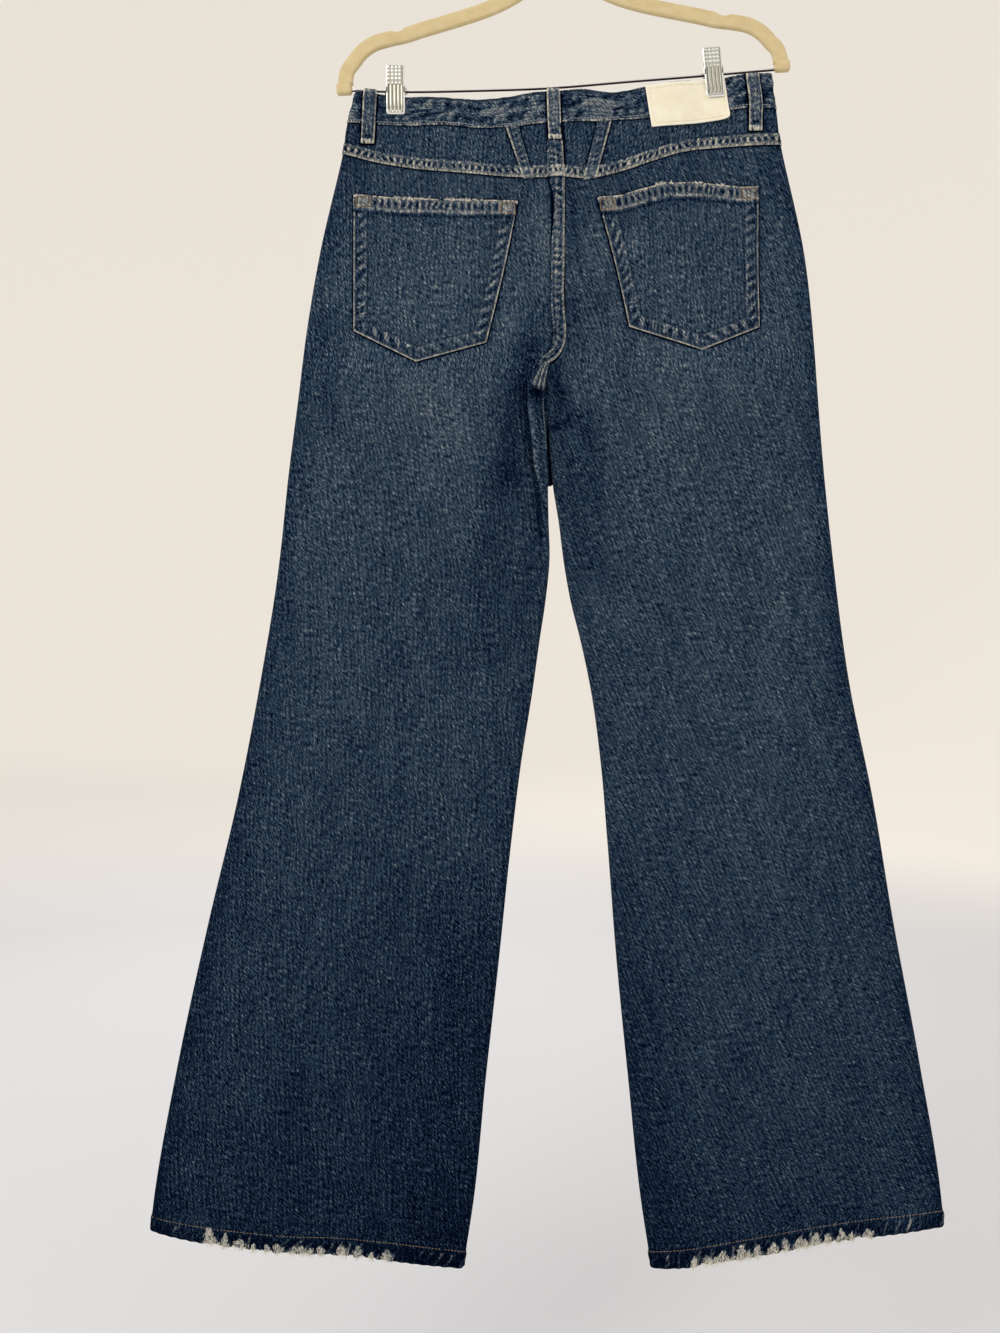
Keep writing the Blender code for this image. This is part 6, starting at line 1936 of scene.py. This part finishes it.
CLIP_LENGTH = 0.0495
CLIP_SHEET = 0.0009
CLIP_FLANGE = 0.0013
CLIP_SEEN = {       # where each back plate's ends are seen: top cut, lip, shift of its top and of its lip
    "left": (0.0072, 0.0009, 0.0009, 0.0007),
    "right": (0.0080, 0.0020, -0.0035, -0.0012),
}
FRONT_SHIFT = {"left": -0.0014, "right": 0.0008}
# how bright each clip's steel is painted, standing for the light that falls on each
CLIP_TONE = {"left": 0.50, "right": 0.55}
CLIP_PROFILE = table("along stand", [
    (0.0000, 0.0072), (0.0190, 0.0048), (0.0225, 0.0042), (0.0320, 0.0026),
    (0.0430, 0.0008), (0.0460, 0.0000), (0.0495, 0.0000),
])
BUMP_ROWS = (0.0026, 0.0064, 0.0102, 0.0141)
BUMP_COLUMNS = (-0.0058, -0.0022, 0.0014, 0.0047)
BUMP_RADIUS = 0.0014
BUMP_TALL = 0.0005
GROOVE_FROM, GROOVE_TO = 0.0190, 0.0450
GROOVE_DEEP = 0.0005
EAR_ALONG = (0.0235, 0.0310)
EAR_END = 0.0020
SPRING_WIRE = 0.00045
SPRING_RADIUS = 0.0027
SPRING_TURNS = 8
SPRING_HALF = 0.0058


def jaw_relief(across, along):
    """How far the pressed marks stand out of a clip's plate."""
    rise = 0.0
    for row in BUMP_ROWS:
        for column in BUMP_COLUMNS:
            off = np.hypot(across - column, along - row)
            rise = rise + BUMP_TALL * np.exp(-(off / BUMP_RADIUS * 1.25) ** 4)
    run = ease((along - GROOVE_FROM) / 0.0012) * (1 - ease((along - GROOVE_TO) / 0.0012))
    ends = 0.0
    for column in BUMP_COLUMNS:
        groove = bump_at(across, column, 0.00085)
        rise = rise - GROOVE_DEEP * run * groove
        ends = ends + np.exp(-(np.hypot(across - column, along - GROOVE_TO - 0.0006) / 0.0010) ** 4)
        ends = ends + np.exp(-(np.hypot(across - column, along - GROOVE_FROM + 0.0006) / 0.0009) ** 4)
    rise = rise + 0.0004 * ends
    return rise + 0.0004 * bump_at(along, CLIP_LENGTH - 0.0012, 0.0008)


def clip_jaw(name, face):
    """One pressed plate: rows of bumps, grooves, flanged sides and a rolled lip."""
    (top_x, top_drop), lean, back_stand, front_stand = CLIPS[name]
    stand_off = back_stand if face < 0 else front_stand
    cut, lip, top_shift, lip_shift = CLIP_SEEN[name]
    flat = np.linspace(-1, 1, 37 if face < 0 else 29)
    pressed = np.linspace(0, CLIP_LENGTH, 88 if face < 0 else 60)[:, None]
    along = cut + pressed * (CLIP_LENGTH + lip - cut) / CLIP_LENGTH
    corner = 0.0022 if name == "right" else 0.0012
    ends = np.minimum(pressed, CLIP_LENGTH - pressed)
    narrow = corner * (1 - np.sqrt(np.clip(1 - (1 - np.clip(ends / corner, 0, 1)) ** 2, 0, 1)))
    half = CLIP_WIDTH / 2 - 0.0004 - narrow
    across = flat[None, :] * half
    relief = jaw_relief(across, pressed)
    stand = stand_off + smooth(np.minimum(along, CLIP_LENGTH), CLIP_PROFILE["along"],
                               CLIP_PROFILE["stand"])
    outer = stand + CLIP_SHEET + relief
    inner = stand + 0.35 * relief
    shift = FRONT_SHIFT[name]
    if face < 0:
        shift = top_shift + (lip_shift - top_shift) * pressed / CLIP_LENGTH
    x = np.concatenate([-half - 0.0002, -half - 0.0004, across, half + 0.0004, half + 0.0002], axis=1)
    edge_y = stand + CLIP_SHEET
    y_out = np.concatenate([edge_y - CLIP_FLANGE, edge_y - 0.0004, outer, edge_y - 0.0004,
                            edge_y - CLIP_FLANGE], axis=1)
    x_in = np.concatenate([-half + 0.0006, -half + 0.0006, across * 0.955,
                           half - 0.0006, half - 0.0006], axis=1)
    y_in = np.concatenate([edge_y - CLIP_FLANGE, stand - 0.0002, inner, stand - 0.0002,
                           edge_y - CLIP_FLANGE], axis=1)
    down = along + 0 * x
    border = np.minimum(half - np.abs(across), ends)
    # painted highlights on the raised marks and along the edge, painted shade in the grooves and just inside
    # the edge
    marks = relief / BUMP_TALL + lines(border, (1.0, 0.0004, 0.0006), (-0.8, 0.0017, 0.0005))
    marks = np.pad(marks, ((0, 0), (2, 2)), mode="edge")
    outer_grid = np.stack([x + shift, face * y_out, -down], axis=-1)
    inner_grid = np.stack([x_in + shift, face * y_in, -down], axis=-1)
    node = "clip_%s_%s" % (name, "back" if face < 0 else "front")
    mesh = shell(node, outer_grid, inner_grid, np.stack([x, down], axis=-1), CLIP_TONE[name], marks,
                 rim=0.5, turns=2, rim_wear=-0.6, inner_fade=0.35)
    reach = stand_off + np.interp(EAR_ALONG[0], CLIP_PROFILE["along"], CLIP_PROFILE["stand"]) + 0.0004
    bm = bmesh.new()
    bm.from_mesh(mesh)
    for way in (-1, 1):
        made = bmesh.ops.create_cube(bm, size=1.0)["verts"]
        size = (CLIP_SHEET, reach - EAR_END, EAR_ALONG[1] - EAR_ALONG[0])
        bmesh.ops.scale(bm, vec=size, verts=made)
        aside = 0.5 * (top_shift + lip_shift) if face < 0 else FRONT_SHIFT[name]
        middle = (way * (CLIP_WIDTH / 2 - 0.0006) + aside, face * (EAR_END + size[1] / 2),
                  -sum(EAR_ALONG) / 2)
        bmesh.ops.translate(bm, vec=middle, verts=made)
    bm.to_mesh(mesh)
    bm.free()
    mesh.transform(Matrix.Translation((top_x, 0.0, -top_drop)) @ Matrix.Rotation(-lean, 4, "Y"))
    mesh.shade_smooth()
    mesh.set_sharp_from_angle(angle=math.radians(50))
    return place_piece(mesh, STEEL, [node])


def clip_spring(name):
    """The wound spring round the bar, with the end loop that stands beside the clip."""
    (top_x, _), lean, _, _ = CLIPS[name]
    middle = top_x + math.sin(lean) * sum(EAR_ALONG) / 2
    way = 1 if name == "left" else -1
    t = np.linspace(0, 1, SPRING_TURNS * 16 + 1)
    x = middle + way * (t * 2 - 1) * SPRING_HALF
    turn = t * SPRING_TURNS * math.tau
    y = SPRING_RADIUS * np.sin(turn)
    z = -bar_drop(x) + SPRING_RADIUS * np.cos(turn)
    coil = np.stack([x, y, z], axis=-1)
    out_x = middle + way * (CLIP_WIDTH / 2 + 0.0024)
    end = coil[-1]
    loop = np.array([
        end,
        (end[0] + way * 0.0010, end[1], end[2] + 0.0004),
        (out_x - way * 0.0014, 0.0012, end[2] + 0.0012),
        (out_x, 0.0010, end[2] - 0.0012),
        (out_x + way * 0.0001, -0.0002, end[2] - 0.0045),
        (out_x - way * 0.0016, -0.0010, end[2] - 0.0062),
        (out_x - way * 0.0042, -0.0012, end[2] - 0.0060),
    ])
    knots = np.arange(len(loop), dtype=float)
    at = np.linspace(0, len(loop) - 1, 26)
    loop = np.stack([smooth(at, knots, values) for values in loop.T], axis=-1)
    mesh = tube("clip_%s_spring" % name, np.concatenate([coil, loop[1:]]), SPRING_WIRE, 8)
    return place_piece(mesh, WIRE, ["clip_%s_spring" % name])


# ---------------------------------------------------------------- seams sewn on

ROW_STEP = 0.002


def laid_row(face, places, lift, threads, **how):
    """A row of stitches on a path of seen places, lifted off the middle surface."""
    length = reach_along(np.array(places, dtype=float))[-1]
    dense = along_line(places, np.linspace(0, 1, max(int(length / ROW_STEP), 4)))
    points, normals = place_frame(face, dense[:, 0], dense[:, 1])
    threads.row(points + normals * lift, normals, **how)


def inset_path(path, off):
    """A path moved sideways, to its left as it runs, with its corners kept."""
    path = np.array(path, dtype=float)
    ways = unit(np.diff(path, axis=0))
    sides = np.stack([ways[:, 1], -ways[:, 0]], axis=-1)
    moved = [path[0] + sides[0] * off]
    for i in range(1, len(path) - 1):
        bend = sides[i - 1] + sides[i]
        moved.append(path[i] + bend * off / max(1 + float(sides[i - 1] @ sides[i]), 0.3))
    return moved + [path[-1] + sides[-1] * off]


def pocket_path(side, off):
    """The stitched run down one side of a pocket, round its point and up."""
    top = POCKETS[side]["top"]
    return inset_path([top[0], *POCKETS[side]["bottom"], top[-1]], off)


def sew_back(navy, tan):
    """The pockets' rows and corners, and the back loops' rows."""
    lift = POCKET_CLOTH + 0.0002
    for side in SIDES:
        top, _ = edge_paths(POCKETS[side])
        for off, lost in ((0.0015, 0.10), (0.0122, 0.04)):
            laid_row(-1, pocket_path(side, off), lift, navy, lost=lost)
        inner = [p for p in top if top[0][0] + 0.002 < p[0] < top[-1][0] - 0.002]
        for off in (0.0018, 0.0104):
            laid_row(-1, [(x, d + off) for x, d in inner], lift + 0.0007, navy, lost=0.05)
        for corner, way in ((top[0], 1), (top[-1], -1)):
            bar_tack(tan, corner, way, lift + 0.0009)
    sew_loops(-1, navy)


def bar_tack(threads, corner, way, lift):
    """Close stitches round a small box at a pocket's corner."""
    x, drop = corner
    wide, tall = 0.0162, 0.0122
    box = [(x + way * 0.0026, drop + 0.0024), (x + way * 0.0022, drop + tall),
           (x + way * wide, drop + tall), (x + way * (wide - 0.0004), drop + 0.0026),
           (x + way * 0.0030, drop + 0.0024)]
    dense = along_line(box, np.linspace(0, 1, 50))
    points, normals = place_frame(-1, dense[:, 0], dense[:, 1])
    threads.satin(points + normals * (lift + 0.0002), normals, 0.0011, pitch=0.0006, radius=0.00028)


def sew_loops(face, threads):
    """Two rows of stitches on each belt loop of one face."""
    t = np.linspace(0.03, 0.97, 40)
    lift = np.interp(t, LOOP_ROWS["along"], LOOP_ROWS["lift"]) + LOOP_THICK + 0.0002
    for node in [name for name in LOOPS if LOOPS[name][0] == face]:
        for aside in (-0.0034, 0.0034):
            points, normals = place_frame(face, *loop_place(node, t, aside))
            threads.row(points + normals * lift[:, None], normals, lost=0.08)


def sew_bands(navy, worn):
    """Stitches along the waistband's two edges, and the yokes' two rows."""
    columns = columns_for(150, 6, 10)
    for face in (-1, 1):
        for side in SIDES:
            for level, threads in ((WAIST_TOP + 0.0020, navy), (WAIST_SEAM - 0.0018, worn)):
                stitch_line(side, face, level, threads, BAND_OUT + 0.0001, columns, lost=0.1)
    for side in SIDES:
        points, _, _ = grid_of(side, -1, columns, np.array([YOKE_SEAM]))
        x, drop = points[0, 6:-2, 0], -points[0, 6:-2, 2]
        for up in (0.0016, 0.0076):
            place, normal = place_frame(-1, x, drop - up)
            navy.row(place + normal * (HALF_CLOTH + FELL_RISE + 0.0002), normal, lost=0.05)


def sew_hems(tan):
    columns = columns_for(150, 8, 8)
    for face in (-1, 1):
        for side in SIDES:
            stitch_line(side, face, HEM_STITCH - hem_rise(columns, 0.23), tan, HEM_OUT - 0.0006,
                        columns, lost=0.02, radius=0.00027)


def sew_centre(navy, worn):
    """Rows on the centre strip, at the end of its seam and on the two slanting strips."""
    for share in (0.13, 0.72):
        path = [(x - wide * share, d) for x, d, wide in CENTRE_STRIP]
        laid_row(-1, path, LAID_IN + FELL_RISE + 0.0006, navy, lost=0.06)
    inseam = [(-0.0096, 0.5263), (-0.0093, 0.5444), (-0.0080, 0.5643), (-0.0074, 0.5757)]
    laid_row(-1, inseam, 0.0034, worn, pitch=0.0029, long=0.0019, radius=0.00021)
    for side in SIDES:
        top, bottom = (np.array(DARTS[side][edge]) for edge in ("top", "bottom"))
        for share in (0.14, 0.82):
            share = share if side == "left" else 1 - share
            path = [edge[0] * (1 - share) + edge[1] * share for edge in (top, bottom)]
            laid_row(-1, path, LAID_IN + 0.0012, navy, lost=0.05)


PATCH_SEWN = 0.0028         # how far its stitches lie from its edge


def sew_patch(cream):
    """A row of stitches along each side of the patch."""
    share, row = (PATCH_SEWN / size for size in PATCH_SIZE)
    corners = [(share, row), (1 - share, row), (1 - share, 1 - row), (share, 1 - row), (share, row)]
    t = np.linspace(0, 1, 40)
    for one, two in zip(corners, corners[1:]):
        s, r = (a + (b - a) * t for a, b in zip(one, two))
        top, bottom = along_line(PATCH["top"], s), along_line(PATCH["bottom"], s)
        place = top * (1 - r[:, None]) + bottom * r[:, None]
        points, normals = place_frame(-1, place[:, 0], place[:, 1])
        lift = PATCH_IN + PATCH_THICK + patch_rise(s, r) - 0.0001
        cream.row(points + normals * lift[:, None], normals, pitch=0.0024, long=0.0017, radius=0.00024)


def sew_front(navy):
    """Rows beside the pocket openings, on the fly and on the front loops."""
    for side in SIDES:
        for off in (0.0016, 0.0078):
            level = scoop_level(side, PANEL_COLUMNS) + off
            meets = int(np.argmax(level <= WAIST_SEAM + off + 0.0006)) + 1
            run = (side, 1, PANEL_COLUMNS[:meets], level[:meets])
            normals = column_normals(*run)
            navy.row(by_column(*run) + normals * (HALF_CLOTH + 0.0001), normals, lost=0.05)
    for edge, foot in ((0.07, 0.97), (0.07 + 0.0064 / FLY_WIDTH, 0.97), (0.955, 0.99)):
        x, drop = fly_places(np.full(90, edge), np.linspace(0.01, foot, 90))
        points, normals = place_frame(1, x, drop)
        navy.row(points + normals * (LAID_IN + 0.0012), normals, lost=0.04)
    sew_loops(1, navy)


# ---------------------------------------------------------------- fray

LONG_THREADS = {"left": (-0.2939, -0.2042, -0.1520), "right": (0.2147, 0.2647, 0.3012)}
POCKET_FRAY = {"left": ((-0.1492, -0.1168), (-0.0998, -0.0665)),
               "right": ((0.0960, 0.1111), (0.1330, 0.1387), (0.1549, 0.1596))}


def hem_edge_at(side, face, x):
    """The middle surface on a hem's lower edge, at places x."""
    return place_frame(face, x, seam_drop(side, face, x, HEM_EDGE - HEM_RISES[2]))


def fray_hems(fray):
    """Cream fibres where the hems' folds have worn through, and a few long threads."""
    down = np.array([0.0, 0.0, -1.0])
    random = fray.random
    for side, spots in HEM_TUFTS.items():
        places, halves, _ = np.array(spots).T
        for face, shift, count in ((-1, 0.0, 40), (1, 0.006, 22)):
            x = np.repeat(places + shift, count)
            x = x + random.normal(size=len(x)) * np.repeat(halves, count) * 0.62
            points, normals = hem_edge_at(side, face, x)
            for point, normal, off in zip(points, normals, random.random(len(x))):
                root = point + normal * (HEM_OUT + 0.0002) - down * (0.0006 + 0.0062 * off ** 1.4)
                way = down + 0.45 * random.normal(size=3) + 0.25 * normal
                fray.fibre(root, way, 0.0026 + 0.0030 * random.random(), 0.00017 + 0.00010 * random.random())
        start, end = FRAYED[side]
        x = np.sort(start + (end - start) * random.random(150))
        points, normals = hem_edge_at(side, -1, x)
        for point, normal in zip(points, normals):
            fray.tuft(point + normal * HEM_OUT - down * 0.0020, normal, down, 0.0018, 4)
        points, normals = hem_edge_at(side, -1, np.array(LONG_THREADS[side]))
        for point, normal in zip(points, normals):
            fray.fibre(point + normal * 0.001 - down * 0.002, down + 0.5 * random.normal(size=3), 0.013,
                       0.00022, bend=0.5)


def fray_pockets(fray):
    random = fray.random
    for side, spans in POCKET_FRAY.items():
        top = POCKETS[side]["top"]
        knots = np.array(top)
        for first, last in spans:
            count = max(int((last - first) / 0.0032), 2)
            x = np.linspace(first, last, count) + random.normal(size=count) * 0.0008
            drop = smooth(x, knots[:, 0], knots[:, 1]) + 0.0003
            points, normals = place_frame(-1, x, drop)
            for point, normal in zip(points, normals):
                way = np.array([0.5 * random.normal(), 0, 1.0])
                fray.tuft(point + normal * (POCKET_CLOTH + 0.0007), normal, way,
                          0.0014 + 0.0014 * random.random(), 14)


# ---------------------------------------------------------------- stage, light and camera

EYE = Vector((-0.0494, -0.9500, -0.7800))
FIELD = 1.2664              # what the frame's height takes in at the jeans
FLOOR = -1.60
BOWL = [(0.0, 0.0), (1.2, 0.0), (2.4, 0.0), (3.4, 0.05), (4.1, 0.25), (4.7, 0.70), (5.0, 1.40),
        (5.1, 2.40), (5.1, 4.20), (4.6, 6.00), (3.0, 7.20), (0.0, 7.60)]


def backdrop():
    """A pale floor that curves up into a seamless wall all round."""
    made, tree, shader = blank("backdrop_paper", 1.0, specular_ior_level=0.0)
    place = own_place(tree)
    cloud = noise(tree, scaled(tree, place, 1.7), 2.0)
    height = toward(tree, place, (0.0, 0.0, 1.0))
    aside = toward(tree, place, (0.10, 0.0, 0.0))
    ground = add_node(tree, "ShaderNodeVectorMath", {0: place, 1: (1.0, 1.0, 0.0)},
                      operation="MULTIPLY").outputs[0]
    reach = add_node(tree, "ShaderNodeVectorMath", {0: ground}, operation="LENGTH").outputs["Value"]
    # Painted light and shade on the paper: darker low down and near the middle of the floor, paler up the
    # wall, far out on the floor and towards +X.
    level = maths(tree, "MULTIPLY_ADD", cloud, 0.04, mapped(tree, height, (-0.10, 1.30), (0.05, 0.93)))
    level = maths(tree, "ADD", level, mapped(tree, reach, (2.1, 4.0), (0.0, 0.80)))
    level = maths(tree, "ADD", level, aside)
    colour = ramp(tree, level, [(0.06, (0.650, 0.648, 0.668)), (0.50, (0.780, 0.760, 0.745)),
                                (0.94, (0.965, 0.920, 0.855))])
    tree.links.new(colour, shader.inputs["Base Color"])
    knots = np.arange(len(BOWL), dtype=float)
    profile = np.array(BOWL)
    at = np.linspace(0, len(BOWL) - 1, 70)
    smoothed = [(max(float(smooth(t, knots, profile[:, 0])), 0.0), float(smooth(t, knots, profile[:, 1])))
                for t in at]
    mesh = turned("backdrop", smoothed, (0.0, 0.0, 0.0), Matrix.Identity(4), 72)
    mesh.flip_normals()
    bowl = bpy.data.objects.new("backdrop", mesh)
    bowl.location = (0.0, 0.0, FLOOR)
    mesh.materials.append(made)
    bpy.context.scene.collection.objects.link(bowl)
    bowl.visible_diffuse = False
    bowl.visible_glossy = False
    bowl.visible_shadow = False


def soft_light(name, place, target, size, power, colour):
    lamp = bpy.data.lights.new(name, "AREA")
    lamp.shape = "RECTANGLE"
    lamp.size, lamp.size_y = size
    lamp.energy = power
    lamp.color = colour
    item = bpy.data.objects.new(name, lamp)
    item.location = place
    item.rotation_euler = (Vector(target) - Vector(place)).to_track_quat("-Z", "Y").to_euler()
    bpy.context.scene.collection.objects.link(item)


def light_and_camera():
    """Even daylight with a soft key from the left, and the photo's camera."""
    world = bpy.data.worlds.new("studio")
    world.use_nodes = True
    ground = world.node_tree.nodes["Background"]
    ground.inputs["Color"].default_value = (1.0, 0.975, 0.94, 1.0)
    ground.inputs["Strength"].default_value = 0.80
    bpy.context.scene.world = world
    soft_light("key", (-1.9, -2.3, 0.9), (0.0, 0.0, -0.75), (1.6, 1.6), 42.0, (1.0, 0.97, 0.92))
    soft_light("fill", (2.4, -1.8, -0.2), (0.0, 0.0, -0.8), (1.8, 1.8), 8.0, (0.95, 0.97, 1.0))
    soft_light("back", (-0.8, 2.4, 0.9), (0.0, 0.0, -0.8), (1.8, 1.8), 34.0, (1.0, 0.98, 0.95))
    lens = bpy.data.cameras.new("camera")
    lens.sensor_width = 36.0
    lens.lens = 36.0 * abs(EYE.y) / FIELD
    camera = bpy.data.objects.new("camera", lens)
    camera.location = EYE
    camera.rotation_euler = (math.pi / 2, 0.0, 0.0)
    bpy.context.scene.collection.objects.link(camera)
    bpy.context.scene.camera = camera
    bpy.context.scene.view_settings.view_transform = "Standard"


# ---------------------------------------------------------------- the whole

def build():
    waistband_back()
    for side in SIDES:
        waistband_front(side)
        yoke(side)
        leg_back(side)
        leg_front(side)
        facing(side)
        pocket(side)
        dart(side)
        hem(side, -1)
        hem(side, 1)
        clip_jaw(side, -1)
        clip_jaw(side, 1)
        clip_spring(side)
    centre_strip()
    crotch_fold()
    crotch_tuck()
    seam_end()
    patch()
    for node in LOOPS:
        belt_loop(node)
    fly()
    waist_button()
    hanger_frame()
    hanger_hook()
    hanger_bar()
    for node in CAP_PLACES:
        hanger_end(node)
    navy, worn, tan, cream = (Threads(seed) for seed in (201, 202, 203, 204))
    sew_back(navy, tan)
    sew_bands(navy, worn)
    sew_hems(tan)
    sew_centre(navy, worn)
    sew_front(navy)
    sew_patch(cream)
    for name, threads, look in (("stitches_navy", navy, THREAD_NAVY),
                                ("stitches_worn", worn, THREAD_WORN),
                                ("stitches_tan", tan, THREAD_TAN),
                                ("stitches_cream", cream, THREAD_CREAM)):
        place_piece(threads.mesh(name), look)
    fray = Fray(211)
    fray_hems(fray)
    fray_pockets(fray)
    place_piece(fray.mesh("fray"), FRAY_COTTON)


build()
backdrop()
light_and_camera()
